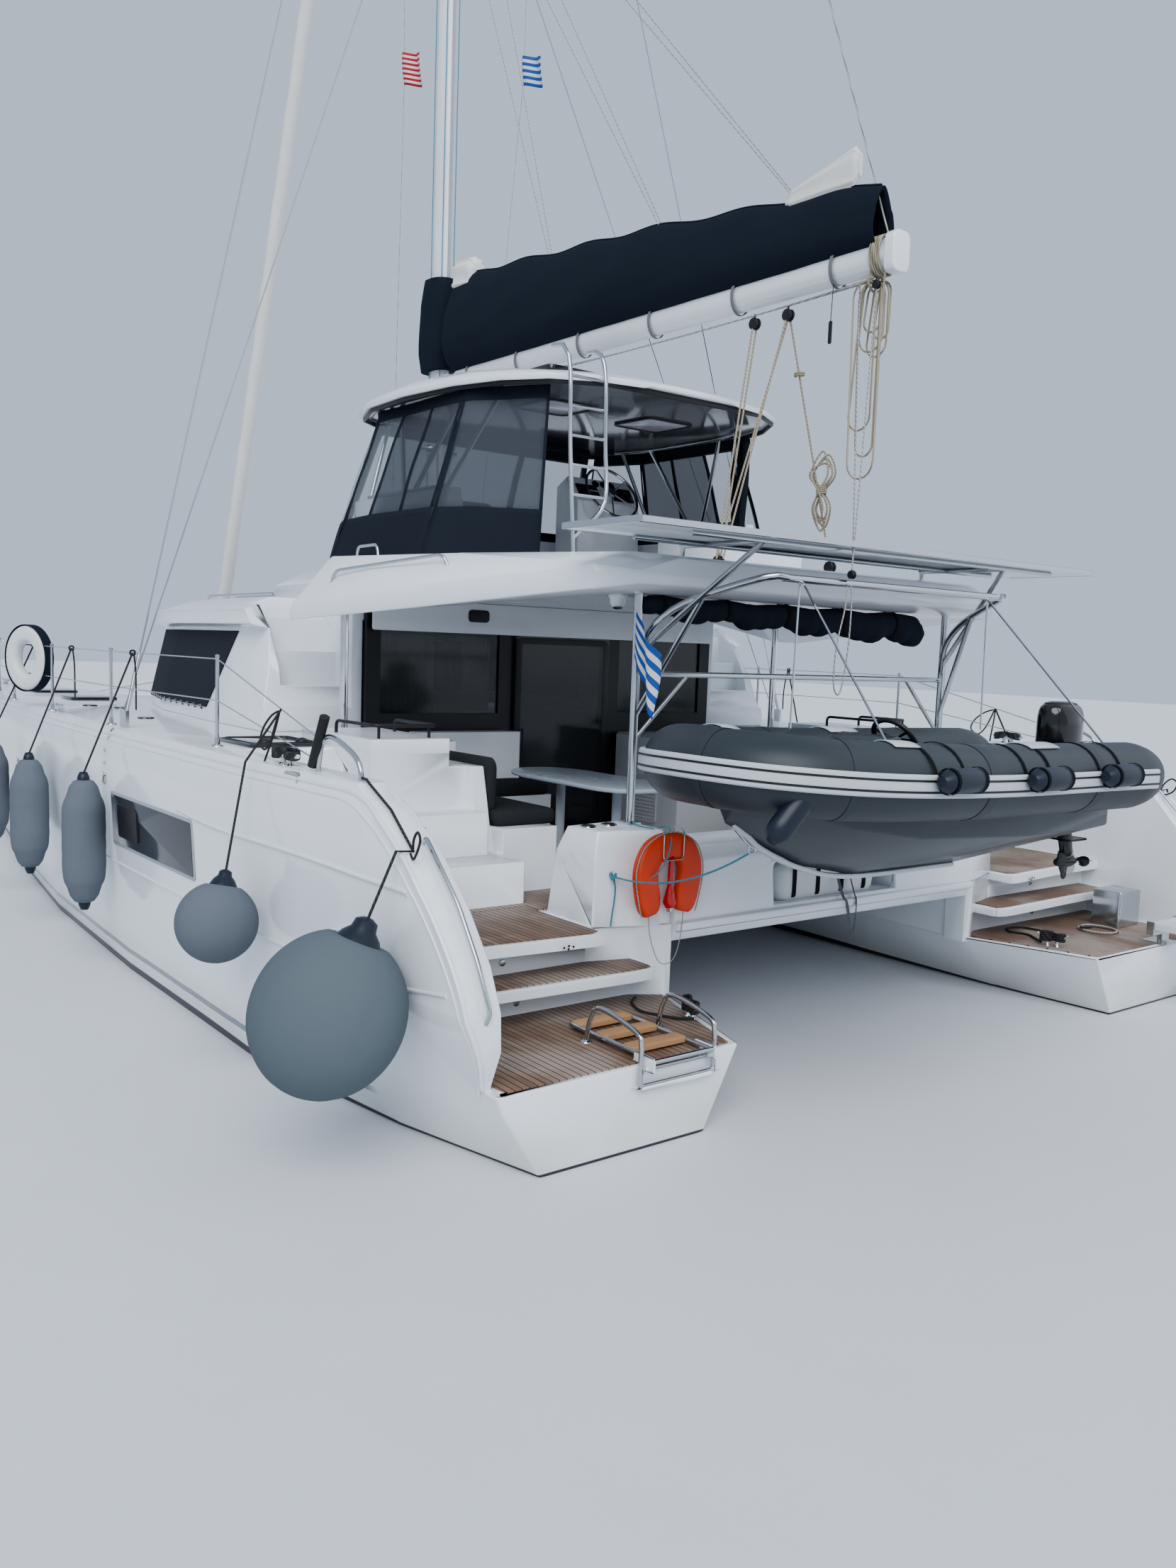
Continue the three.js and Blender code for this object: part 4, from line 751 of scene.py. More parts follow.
WHITE = Gelcoat("white_gelcoat", (0.8, 0.83, 0.86), 0.2, coat=0.4)
TOPSIDE = Gelcoat("topside_gelcoat", (0.8, 0.83, 0.86), 0.16, coat=0.5, boottop=True)
SMOOTH_WHITE = Gelcoat("smooth_gelcoat", (0.78, 0.81, 0.84), 0.2, coat=0.4, tread=False)
BOTTOM = Finish("bottom_paint", (0.012, 0.017, 0.026), 0.7, mottle=0.3, grain=0.2)
TEAK = Planks("weathered_teak", (0.2, 0.125, 0.085), 0.6)
# Stainless: the metal's own grey, set darker than bright stainless as a painted dark reflection, because the studio
# round it is pale.
STEEL_WITH_PAINTED_DARK_REFLECTION = Finish("polished_stainless", (0.52, 0.54, 0.56), 0.14, 1.0, mottle=0.05)
SPAR = Finish("white_lacquer", (0.74, 0.76, 0.78), 0.3, coat=0.25, mottle=0.05)
TINT = Finish("tinted_glazing", (0.012, 0.015, 0.02), 0.1, coat=0.6, mottle=0.3)
PANE = Finish("smoked_pane", (0.03, 0.035, 0.04), 0.1, coat=0.5, mottle=0.2, alpha=0.55)
CLEAR = Finish("clear_vinyl", (0.3, 0.34, 0.37), 0.14, coat=0.5, mottle=0.1, alpha=0.22)
MESH_PANEL = Woven("screen_mesh", (0.09, 0.1, 0.12), 0.75, alpha=0.6)
CANVAS = Woven("dark_canvas", (0.02, 0.025, 0.035), 0.8)
NAVY = Woven("bag_canvas", (0.015, 0.021, 0.032), 0.8)
CUSHION = Woven("charcoal_cover", (0.035, 0.038, 0.042), 0.85, thread=0.004)
CURTAIN = Woven("pale_curtain", (0.58, 0.58, 0.56), 0.85)
SAIL = Woven("sail_fabric", (0.74, 0.73, 0.69), 0.6, thread=0.003)
# The tender's tube fabric: its own dark slate, darkened further with painted shade for the shade the tender lies in.
TUBE_GREY_WITH_PAINTED_SHADE = Finish("coated_fabric", (0.028, 0.036, 0.043), 0.42, mottle=0.1, grain=0.12, grain_scale=700)
RUB_GREY = Finish("rub_rail_rubber", (0.5, 0.53, 0.55), 0.5, mottle=0.1)
# The tender's moulding: a grey made much darker with painted shade, for the shade the tender lies in.
TENDER_HULL_GREY_WITH_PAINTED_SHADE = Finish("tender_moulding", (0.042, 0.051, 0.059), 0.3, coat=0.2, mottle=0.08)
BLACK = Finish("satin_black", (0.012, 0.012, 0.014), 0.4, mottle=0.2)
GLOSS_BLACK = Finish("gloss_black", (0.008, 0.008, 0.01), 0.12, coat=0.6, mottle=0.2)
ORANGE = Finish("buoy_vinyl", (0.68, 0.06, 0.014), 0.45, mottle=0.1, grain=0.15, grain_scale=120)
RED = Finish("red_lens", (0.5, 0.01, 0.008), 0.2, coat=0.5)
TABLE = Gelcoat("table_top", (0.5, 0.56, 0.61), 0.25, coat=0.3, tread=False)
HEATHER = Woven("fender_cover", (0.145, 0.163, 0.188), 0.95, thread=0.006)
PALE_COVER = Woven("round_fender_cover", (0.125, 0.152, 0.17), 0.9, thread=0.006)
RUBBER = Finish("navy_rubber", (0.01, 0.016, 0.03), 0.38, mottle=0.2)
ROPE_BLACK = Laid("black_rope", (0.014, 0.014, 0.016), 0.8, fleck=(0.05, 0.05, 0.05))
ROPE_WHITE = Laid("white_rope", (0.46, 0.45, 0.42), 0.8, fleck=(0.2, 0.19, 0.18))
ROPE_BLUE = Laid("blue_rope", (0.07, 0.24, 0.34), 0.8, fleck=(0.12, 0.35, 0.42))
GREY_STRAP = Woven("grey_webbing", (0.2, 0.21, 0.22), 0.8)
TIMBER = Finish("raw_timber", (0.45, 0.26, 0.13), 0.6, mottle=0.25, grain=0.3, grain_scale=40)
SOLAR = Cells("solar_cells", (0.012, 0.017, 0.035), 0.12, coat=0.6)
NETTING = Net("black_netting", (0.02, 0.02, 0.022), 0.8)
GREY_LINING = Finish("grey_lining", (0.36, 0.38, 0.4), 0.5, mottle=0.05)
CHROME = Finish("chromed_fitting", (0.7, 0.7, 0.7), 0.08, 1.0, mottle=0.03)
COVER = Woven("window_cover", (0.03, 0.034, 0.042), 0.75, thread=0.003)
VALISE = Finish("valise_fabric", (0.68, 0.7, 0.7), 0.5, mottle=0.1, grain=0.2, grain_scale=250)
BLACK_STRAP = Woven("black_webbing", (0.014, 0.014, 0.016), 0.75)
SEAM_GREY = Finish("seam_tape", (0.03, 0.038, 0.046), 0.5, mottle=0.1)
FLOOR = Finish("pale_floor", (0.68, 0.7, 0.73), 0.6, mottle=0.02)
ENSIGN = Bands("striped_bunting", (0.62, 0.63, 0.64), 0.8)
RED_BUNTING = Bands("red_bunting", (0.62, 0.6, 0.6), 0.8, bands=13.0, other=(0.4, 0.02, 0.03))
BEIGE_ROPE = Laid("beige_rope", (0.42, 0.37, 0.28), 0.85, fleck=(0.26, 0.22, 0.16))
# Pale colour on the hardtop hatches' undersides: painted daylight, standing in for the sky seen through their tinted
# glass.
PANE_WITH_PAINTED_DAYLIGHT = Finish("pale_pane", (0.6, 0.6, 0.66), 0.25, coat=0.4, mottle=0.04)
LINING = Finish("dark_gloss_lining", (0.1, 0.105, 0.115), 0.16, coat=0.5, mottle=0.1)


# Pieces: how a skin becomes an object of the part


def piece(
    name: str,
    skin: Skin,
    finish: Finish,
    body: str = "root",
    edge: Edge = Edge.SHARP,
    angle: float = 40.0,
    stands_for: Sequence[str] = (),
) -> bpy.types.Object:
    """Makes a mesh object from a skin, gives it its finish and rides it on a body.

    Args:
        name: The piece's name.
        skin: Its surface.
        finish: What it is made of.
        body: The body that it moves with; empty for a piece that rides on no body.
        edge: The bevel on its sharp edges.
        angle: Edges sharper than this stay sharp in the shading.
        stands_for: The nodes that it replaces.

    Returns:
        The object, at the origin.
    """
    mesh = bpy.data.meshes.new(name)
    mesh.from_pydata(skin.points.tolist(), [], skin.quads.tolist() + skin.caps)
    layer = mesh.uv_layers.new(name="UVMap")
    flat = np.zeros((len(mesh.loops), 2), np.float32)
    flat[: skin.uvs.size // 2] = skin.uvs.reshape(-1, 2)
    layer.data.foreach_set("uv", flat.ravel())
    mesh.materials.append(finish.material())
    mesh.polygons.foreach_set("use_smooth", np.ones(len(mesh.polygons), bool))
    mesh.set_sharp_from_angle(angle=math.radians(angle))
    made = bpy.data.objects.new(name, mesh)
    bpy.context.scene.collection.objects.link(made)
    if edge is not Edge.SHARP:
        bevel = made.modifiers.new("edge", "BEVEL")
        bevel.width, bevel.segments, bevel.limit_method = edge.value, 2, "ANGLE"
        bevel.angle_limit = math.radians(angle)
    if body:
        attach(made, body)
    if stands_for:
        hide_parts(*stands_for)
    log.info("%s: %d faces", name, len(mesh.polygons))
    return made


def dress(node: str, finish: Finish, edge: Edge = Edge.SHARP, angle: float = 32.0) -> None:
    """Gives a solid of the frame its finish, welds its corners and softens its edges.

    Args:
        node: The solid's name.
        finish: What it is made of.
        edge: How wide its edges are bevelled.
        angle: Above how many degrees an edge counts as sharp.
    """
    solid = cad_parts[node]
    solid.data.materials.clear()
    solid.data.materials.append(finish.material())
    solid.data.polygons.foreach_set("use_smooth", np.ones(len(solid.data.polygons), bool))
    weld = solid.modifiers.new("weld", "WELD")
    weld.merge_threshold = 0.0002
    if edge is Edge.SHARP:
        split = solid.modifiers.new("split", "EDGE_SPLIT")
        split.split_angle = math.radians(angle)
    else:
        bevel = solid.modifiers.new("edge", "BEVEL")
        bevel.width, bevel.segments, bevel.limit_method = edge.value, 3, "ANGLE"
        bevel.angle_limit = math.radians(angle)
        bevel.use_clamp_overlap = False
        bevel.harden_normals = True
    log.info("%s: dressed in %s", node, finish.name)


def line(a: Point, b: Point, radius: float, sag: float = 0.0, sides: int = 6) -> Skin:
    """A rope or wire between two points, hanging as a parabola.

    Args:
        a: Where it starts.
        b: Where it ends.
        radius: Half its thickness.
        sag: How far it hangs at its middle.
        sides: How many faces go round.

    Returns:
        The skin.
    """
    t = np.linspace(0, 1, 16 if sag else 2)[:, None]
    path = np.asarray(a, float) * (1 - t) + np.asarray(b, float) * t
    path[:, 2:] -= sag * 4 * t * (1 - t)
    return tube(path, radius, sides)


def ring(centre: Point, radius: float, thick: float, axis: int = 2, sides: int = 10) -> Skin:
    """A hoop of round bar about one of the axes.

    Args:
        centre: Its middle.
        radius: From the middle to the bar's middle.
        thick: Half the bar's thickness.
        axis: 0, 1 or 2, for x, y or z.
        sides: How many faces go round the bar.

    Returns:
        The skin.
    """
    a = np.linspace(0, 2 * np.pi, 33)
    path = np.zeros((33, 3))
    path[:, (axis + 1) % 3], path[:, (axis + 2) % 3] = radius * np.cos(a), radius * np.sin(a)
    return tube(path + np.asarray(centre, float), thick, sides)


def pillow(length: float, width: float, thick: float, corner: float = 0.06, crown: float = 0.02) -> Skin:
    """A stuffed pad on z = 0 with bulging sides; its top is crowned as 1 - s^4 and pulls in at the seams.

    Args:
        length: Its size in x.
        width: Its size in y.
        thick: Its height at the seam.
        corner: Its corners' radius.
        crown: How far its middle stands above the seam.

    Returns:
        The skin.
    """
    outline = round_rect(length, width, corner, 7)
    reach = np.linalg.norm(outline, axis=1, keepdims=True)
    side = [(0.022, 0.0), (0.006, 0.1), (-0.004, 0.35), (-0.004, 0.6), (0.002, 0.84), (0.014, 0.96)]
    rows = [np.hstack([outline * (1 - inset / reach), np.full_like(reach, h * thick)]) for inset, h in side]
    for s in (0.9, 0.75, 0.5, 0.25, 0.04):
        rows.append(np.hstack([outline * s, np.full_like(reach, thick + crown * (1 - s**4))]))
    return grid(np.stack(rows))


def pleats(start: Point, end: Point, low: float, high: float, folds: int, depth: float, gather: float = 0.0) -> Skin:
    """A gathered curtain: p = start + u (end - start) + depth sin(2 pi folds u) n.

    Args:
        start: Where it starts, in x and y.
        end: Where it ends.
        low: Its hem's z.
        high: Its head's z.
        folds: How many folds it has.
        depth: Half a fold's depth.
        gather: How much its waist is pulled in, as a share.

    Returns:
        The open skin.
    """
    a, b = np.asarray(start, float), np.asarray(end, float)
    u, v = np.meshgrid(np.linspace(0, 1, folds * 12 + 1), np.linspace(0, 1, 22), indexing="ij")
    waist = 1 - gather * np.exp(-(((v - 0.4) / 0.18) ** 2))
    across = (u - 0.5) * waist + 0.5
    normal = np.array([-(b - a)[1], (b - a)[0]]) / np.linalg.norm(b - a)
    wave = depth * (np.sin(2 * np.pi * folds * u) + 0.3 * np.sin(2 * np.pi * (folds * 0.37) * u + 3 * v))
    flat = a[:2] + across[..., None] * (b - a)[:2] + wave[..., None] * normal
    points = np.concatenate([flat, (low + v * (high - low))[..., None]], -1)
    return grid(points, wrap=False)


def spread(skin: Skin) -> float:
    """A skin's area: half the diagonals' cross product, over its faces."""
    q = skin.points[skin.quads]
    return float(np.linalg.norm(np.cross(q[:, 2] - q[:, 0], q[:, 3] - q[:, 1]), axis=1).sum() / 2)


# Hulls, boarding steps, cockpit and superstructure

# x, then the topside's y at the water, the chine, the knuckle and the widest line
TOPSIDE_LINES = np.array([
    [0.0, 3.33, 3.572, 3.77, 3.81], [1.0, 3.59, 3.733, 3.85, 3.9], [2.5, 3.84, 3.89, 3.93, 3.97],
    [5.0, 3.85, 3.905, 3.95, 3.98], [7.5, 3.76, 3.826, 3.88, 3.94], [10.3, 3.48, 3.568, 3.64, 3.76],
    [10.65, 3.42, 3.508, 3.58, 3.7], [11.8, 3.24, 3.312, 3.37, 3.48], [13.0, 3.08, 3.119, 3.15, 3.23],
    [13.87, 2.985, 3.002, 3.015, 3.04],
])
TOPSIDE_HEIGHTS = (0.0, 0.38, 0.88, 1.5, 1.8, 1.95)


def topside_y(x: Array, z: Array) -> Array:
    """The topside's y at places along and up it, by straight interpolation between its lines.

    Args:
        x: The places along the hull.
        z: Their heights.

    Returns:
        The y of each place.
    """
    x, z = np.broadcast_arrays(np.asarray(x, float), np.asarray(z, float))
    lines = [np.interp(x, TOPSIDE_LINES[:, 0], TOPSIDE_LINES[:, k]) for k in (1, 2, 3, 4)]
    lines += [lines[3] - 0.012, lines[3] - 0.075]
    y = lines[0].copy()
    for k in range(5):
        low, high = TOPSIDE_HEIGHTS[k], TOPSIDE_HEIGHTS[k + 1]
        y = y + (lines[k + 1] - lines[k]) * np.clip((z - low) / (high - low), 0, 1)
    return y


def on_topside(outline: Array, thick: float, edge: float = 0.004) -> Skin:
    """A plate of some thickness laid on the port topside.

    Args:
        outline: Its outline in x and z.
        thick: Its thickness.
        edge: Its edge's radius.

    Returns:
        The skin.
    """
    flat = plate(outline, 0.0, thick, edge)
    a, b, h = flat.points.T
    points = np.stack([a, topside_y(a, b) + h, b], 1)
    return Skin(points, flat.quads[:, ::-1], flat.uvs[:, ::-1], [cap[::-1] for cap in flat.caps])


@dataclass
class Hull:
    """One hull with its boarding steps, windows, beads and deck fittings."""

    side: Side
    deck: float = 1.95
    platform: float = 0.48
    step: float = 0.715
    sole: float = 0.95
    window: tuple[float, float, float, float] = (3.28, 5.1, 1.035, 1.465)
    fore_window: tuple[float, float, float, float] = (7.3, 8.9, 1.02, 1.38)
    cleats: tuple[Point, ...] = ((2.15, 3.79, 1.95), (7.3, 3.79, 1.95), (12.5, 3.15, 1.985))

    def put(self, name: str, skin: Skin, finish: Finish, edge: Edge = Edge.SHARP) -> bpy.types.Object:
        """Adds a piece drawn for port, on this side."""
        return piece(f"{self.side.word}_{name}", skin.on(self.side), finish, edge=edge)

    def build(self) -> None:
        """Makes every part of this hull."""
        word = self.side.word
        dress(f"{word}_hull", TOPSIDE, Edge.SOFT)
        for node, finish in (("keel", BOTTOM), ("saildrive", BLACK), ("rudder", BOTTOM), ("propeller", CHROME)):
            dress(f"{word}_{node}", finish)
        self.windows()
        self.beads()
        self.treads()
        self.deck_fittings()
        self.quarter()

    def windows(self) -> None:
        """Hull windows: a grey frame, tinted glass and a small opening port in the aft one."""
        frames_, panes, ports = [], [], []
        for x0, x1, z0, z1 in (self.window, self.fore_window):
            middle = np.array([(x0 + x1) / 2, (z0 + z1) / 2])
            frames_.append(on_topside(round_rect(x1 - x0, z1 - z0, 0.03) + middle, 0.006, 0.003))
            panes.append(on_topside(round_rect(x1 - x0 - 0.05, z1 - z0 - 0.05, 0.02) + middle, 0.009, 0.002))
            port = np.array([x1 - 0.42, (z0 + z1) / 2])
            ports.append(on_topside(round_rect(0.46, 0.26, 0.03) + port, 0.017, 0.004))
        self.put("window_frames", merge(frames_), GREY_LINING)
        self.put("window_panes", merge(panes), TINT)
        self.put("opening_ports", merge(ports), BLACK)
        well = facing(round_rect(0.17, 0.19, 0.015), 0.012, AFT, (2.299, 2.8, 1.385))
        self.put("well_port", well, BLACK, Edge.FINE)

    def beads(self) -> None:
        """Two beads run along the gunwale and down the quarter; a crease lies under the windows."""
        low = [(0.1, 0.5), (0.035, 0.7), (0.045, 0.9), (0.135, 1.12), (0.305, 1.37), (0.525, 1.6), (0.825, 1.81),
               (1.1, 1.895), (1.5, 1.905)]
        run = [(x, 1.905) for x in np.linspace(2.2, 12.9, 20)] + [(13.6, 1.95)]
        for name, inset, radius in (("outer_bead", 0.0, 0.014), ("inner_bead", 0.062, 0.009)):
            path = smooth([(x + 0.75 * inset, 0, z - 0.8 * inset) for x, z in low + run], 6)
            path[:, 1] = topside_y(path[:, 0], path[:, 2])
            self.put(name, tube(path, radius, 8), SMOOTH_WHITE)
        for name, run, thick in (
            ("side_crease", [(3.6, 1.5), (2.84, 1.475), (1.74, 1.48), (0.66, 1.46), (0.5, 1.45)], 0.015),
            ("knuckle_ridge", [(6.5, 0.9), (4.0, 0.885), (2.0, 0.88), (0.9, 0.9), (0.2, 0.98)], 0.012),
        ):
            path = smooth([(x, 0, z) for x, z in run], 10)
            path[:, 1] = topside_y(path[:, 0], path[:, 2])
            size = thick * np.minimum(1, np.linspace(0.3, 6, len(path)))
            self.put(name, tube(path, size, 10), SMOOTH_WHITE)

    def treads(self) -> None:
        """Boarding steps: thick rounded nosings over recessed risers, with teak laid in from their edges."""
        low = [(0.03, 1.99), (0.03, 3.53), (0.33, 3.56), (0.86, 3.6), (1.095, 3.61), (1.095, 1.87), (0.975, 1.68),
               (0.45, 1.86)]
        slab = [(0.866, 3.6), (1.172, 3.62), (1.172, 2.165), (1.1, 1.84), (0.9, 1.84), (0.85, 1.855), (0.822, 1.92),
                (0.815, 2.04), (0.866, 3.1)]
        wood = [(0.895, 3.57), (1.168, 3.6), (1.168, 2.19), (1.085, 1.875), (0.91, 1.87), (0.87, 1.88), (0.855, 1.93),
                (0.85, 2.04), (0.895, 3.08)]
        top = [(1.022, 3.62), (1.3, 3.62), (1.3, 2.172), (1.0, 2.172), (0.955, 2.19), (0.946, 2.26), (1.022, 3.1)]
        near = [(1.05, 3.59), (1.83, 3.6), (1.83, 2.19), (1.02, 2.2), (0.985, 2.27), (1.05, 3.08)]
        far = [(1.85, 3.59), (1.93, 3.59), (1.93, 2.1), (2.27, 2.1), (2.27, 1.625), (1.725, 1.625), (1.725, 2.17),
               (1.85, 2.17)]
        outline = lambda corners: np.array(corners)[::-1]
        nosings = plate(outline(slab), self.step - 0.06, self.step + 0.007, 0.012)
        nosings = nosings + plate(outline(top), self.sole - 0.068, self.sole + 0.007, 0.012)
        self.put("step_nosings", nosings, SMOOTH_WHITE, Edge.SOFT)
        teak = plate(outline(low), self.platform, self.platform + 0.008, 0.002)
        teak = teak + plate(outline(wood), self.step + 0.007, self.step + 0.014, 0.002)
        for area in (near, far):
            teak = teak + plate(outline(area), self.sole, self.sole + 0.013, 0.002)
        self.put("step_teak", teak, TEAK)
        dots = [facing(circle(0.022, 16), 0.008, AFT, p) for p in ((1.175, 2.81, 0.8), (1.1, 2.75, 0.56))]
        self.put("riser_lights", merge(dots), STEEL_WITH_PAINTED_DARK_REFLECTION)
        # Black discs: painted shade inside the drain holes.
        holes = [facing(circle(0.008, 10), 0.002, AFT, (0.949 + 0.001 * i, 2.44 + dy, 0.905 + dz), 0.001)
                 for i, (dy, dz) in enumerate(((0, 0), (0.035, 0.008), (0.07, 0), (0.035, -0.012)))]
        self.put("drain_holes", merge(holes), BLACK)

    def deck_fittings(self) -> None:
        """Cleats with horns, the chainplate, small caps and the hatch's frame."""
        horns = []
        for x, y, z in self.cleats:
            path = [(x + t, y, z + 0.055 + 12 * t**4) for t in np.linspace(-0.165, 0.165, 13)]
            horns.append(tube(path, 0.012 + 0.011 * np.cos(np.linspace(-1.4, 1.4, 13)), 12))
            horns += [lathe([(0, 0), (0.03, 0), (0.018, 0.012), (0.016, 0.05), (0, 0.05)], 16, (x + dx, y, z))
                      for dx in (-0.045, 0.045)]
        self.put("cleats", merge(horns), CHROME)
        strap = on_topside(round_rect(0.075, 0.46, 0.036) + np.array([5.28, 1.72]), 0.008)
        bolts = [on_topside(circle(0.012, 10) + np.array([5.28, 1.72 + dz]), 0.014)
                 for dz in (-0.15, -0.05, 0.05, 0.15)]
        self.put("chainplate_strap", merge([strap, *bolts]), STEEL_WITH_PAINTED_DARK_REFLECTION)
        caps = [lathe([(0, 0), (0.075, 0), (0.072, 0.012), (0.055, 0.016), (0, 0.016)], 24, (x, y, self.deck))
                for x, y in ((6.35, 3.3), (7.9, 3.05), (8.3, 3.25))]
        self.put("deck_caps", merge(caps), TINT)
        hatch = f"{self.side.word}_deck_hatch"
        dress(hatch, TINT, Edge.FINE)
        outline = round_rect(0.56, 0.5, 0.05) + np.array([3.595, 3.28])
        rim = np.vstack([outline, outline[:1]])
        path = np.hstack([rim, np.full((len(rim), 1), 1.976)])
        handles = [lathe([(0, 0), (0.05, 0), (0.045, 0.02), (0.015, 0.035), (0, 0.035)], 18, (3.36, y, 1.976))
                   for y in (3.14, 3.42)]
        piece(f"{self.side.word}_hatch_rim", (tube(path, 0.008, 8) + merge(handles)).on(self.side), BLACK, hatch)

    def quarter(self) -> None:
        """Grab rail on the quarter, caps on the locker, the seat's cushions, and the tray with its rail."""
        rail = rounded([(0.64, 3.7, 1.66), (0.6, 3.7, 1.72), (0.28, 3.69, 1.42), (0.1, 3.68, 1.16), (0.0, 3.66, 0.92),
                        (0.04, 3.66, 0.86)], 0.06, 8)
        self.put("quarter_grab_rail", tube(rail, GRAB_RAIL, 10), STEEL_WITH_PAINTED_DARK_REFLECTION)
        spots = ((1.4, 2.01), (1.41, 1.83))
        caps = [lathe([(0, 0), (0.055, 0), (0.053, 0.008), (0.04, 0.01), (0, 0.01)], 26, (x, y, 1.56))
                for x, y in spots]
        self.put("locker_caps", merge(caps), STEEL_WITH_PAINTED_DARK_REFLECTION)
        lids = [lathe([(0, 0), (0.04, 0), (0.036, 0.014), (0, 0.014)], 22, (x, y, 1.56)) for x, y in spots]
        self.put("locker_cap_lids", merge(lids), BLACK)
        word = self.side.word
        seat = pillow(1.03, 0.54, 0.105, 0.06).moved((2.925, 1.79, 1.42)).on(self.side)
        piece(f"{word}_seat_pad", seat, CUSHION, stands_for=[f"{word}_cockpit_cushion"], angle=60)
        back = pillow(0.95, 0.42, 0.08, 0.08).turned(place((1, 0, 0), (0, 0, 1), (0, -1, 0), (2.99, 2.075, 1.7)))
        piece(f"{word}_seat_back", back.on(self.side), CUSHION, angle=60)
        hoop = rounded([(3.3, 2.9, 2.04), (3.3, 2.9, 2.14), (2.72, 2.9, 2.14), (2.68, 2.42, 2.14), (3.3, 2.42, 2.14),
                        (3.3, 2.42, 2.04)], 0.06)
        posts = [line((x, y, 2.045), (x, y, 2.14), 0.011, sides=10) for x, y in ((2.72, 2.86), (2.72, 2.46))]
        self.put("tray_rail", merge([tube(hoop, GRAB_RAIL, 10), *posts]), BLACK)
        lead = bezel(0.16, 0.045, 0.02, 0.018, 0.03, OUT, (1.86, 3.862, 1.9))
        lead = lead + facing(round_rect(0.34, 0.035, 0.012), 0.006, OUT, (2.25, 3.872, 1.9))
        self.put("fairlead", lead, STEEL_WITH_PAINTED_DARK_REFLECTION)
        turns = np.linspace(0, 2 * np.pi * 5.5, 130)
        figure = np.column_stack([2.16 + 0.13 * np.sin(turns), 3.79 + 0.04 * np.sin(2 * turns),
                                  1.985 + 0.0014 * turns + 0.02 * np.cos(turns) ** 2])
        self.put("cleat_turns", tube(figure, 0.011, 8), ROPE_BLACK)


@dataclass
class SwimLadder:
    """The folding ladder on the port platform and the bent rails beside it."""

    rails: tuple[float, float] = (2.16, 2.7)
    sides: tuple[float, float] = (2.23, 2.63)
    hinge: tuple[float, float] = (-0.075, 0.516)
    treads: tuple[float, ...] = (0.17, 0.42, 0.655)

    def build(self) -> None:
        """Makes the fixed rails, then the ladder that swings."""
        rails = []
        for y in self.rails:
            path = smooth([(0.46, y, 0.482), (0.42, y, 0.64), (0.33, y, 0.715), (0.02, y, 0.665), (-0.028, y, 0.6),
                           (-0.03, y, 0.5), (-0.03, y, 0.362)], 6)
            rails += [tube(path, 0.0145, 12),
                      lathe([(0, 0), (0.036, 0), (0.03, 0.01), (0.016, 0.016), (0, 0.016)], 18, (0.46, y, 0.488))]
        rails += [line((-0.03, 2.16, z), (-0.03, 2.7, z), GRAB_RAIL, sides=12) for z in (0.466, 0.374)]
        piece("ladder_hoops", merge(rails), STEEL_WITH_PAINTED_DARK_REFLECTION)
        x, z = self.hinge
        bars = [line((x, y, z), (0.7, y, z), 0.015, sides=12) for y in self.sides]
        bars.append(line((x, 2.21, z), (x, 2.65, z), 0.015, sides=12))
        piece("ladder_sides", merge(bars), STEEL_WITH_PAINTED_DARK_REFLECTION, "swim_ladder", stands_for=["swim_ladder"])
        boards = [plate(round_rect(0.1, 0.4, 0.02) + np.array([at, 2.43]), z - 0.013, z + 0.02, 0.008)
                  for at in self.treads]
        piece("ladder_treads", merge(boards), TIMBER, "swim_ladder", Edge.FINE)
        self.dock_gear()

    def dock_gear(self) -> None:
        """A cleat on the platform's inner edge with a black line made fast, whose bights hang from the tread's end."""
        for side, x, y in ((Side.PORT, 0.5, 1.86), (Side.STARBOARD, 0.42, 1.98)):
            horn = tube([(x + t, y - 0.35 * t, 0.527 + 5 * t * t) for t in np.linspace(-0.11, 0.11, 11)], 0.009, 10)
            feet = [lathe([(0, 0), (0.02, 0), (0.012, 0.01), (0.01, 0.04), (0, 0.04)], 14,
                          (x + d, y - 0.35 * d, 0.488)) for d in (-0.035, 0.035)]
            piece(f"{side.word}_platform_cleat", merge([horn, *feet]).on(side), CHROME)
            t = np.linspace(0, 2 * np.pi * 4.5, 110)
            figure = np.column_stack([x + 0.085 * np.sin(t), y - 0.03 * np.sin(t) + 0.028 * np.sin(2 * t),
                                      0.525 + 0.0028 * t])
            piece(f"{side.word}_platform_turns", tube(figure, 0.009, 8).on(side), ROPE_BLACK)
        lie = [(0.42, 1.9, 0.508), (0.5, 1.97, 0.5), (0.61, 2.02, 0.498), (0.72, 2.06, 0.498), (0.82, 2.04, 0.5),
               (0.92, 1.98, 0.5), (0.98, 1.9, 0.5)]
        hang(lie, "port_platform_line", ROPE_BLACK, 0.018)
        lie = [(0.5, -1.95, 0.508), (0.62, -2.06, 0.5), (0.75, -2.14, 0.498), (0.88, -2.1, 0.498), (0.97, -2.2, 0.5),
               (0.92, -2.33, 0.5), (0.78, -2.38, 0.498)]
        hang(lie, "starboard_platform_line", ROPE_BLACK, 0.018)


def strap(outline: Array, at: float, width: float, plane: tuple[int, int], thick: float = 0.004) -> Skin:
    """A flat band round an outline in one of the three planes; its width lies square to the plane.

    Args:
        outline: The outline's points.
        at: The plane's place on the third axis.
        width: The band's width.
        plane: The numbers of the plane's two axes.
        thick: The band's thickness.

    Returns:
        The skin.
    """
    path = np.full((len(outline) + 1, 3), float(at))
    path[:, list(plane)] = np.vstack([outline, outline[:1]])
    return sweep(path, round_rect(width, thick, thick * 0.4, 2))


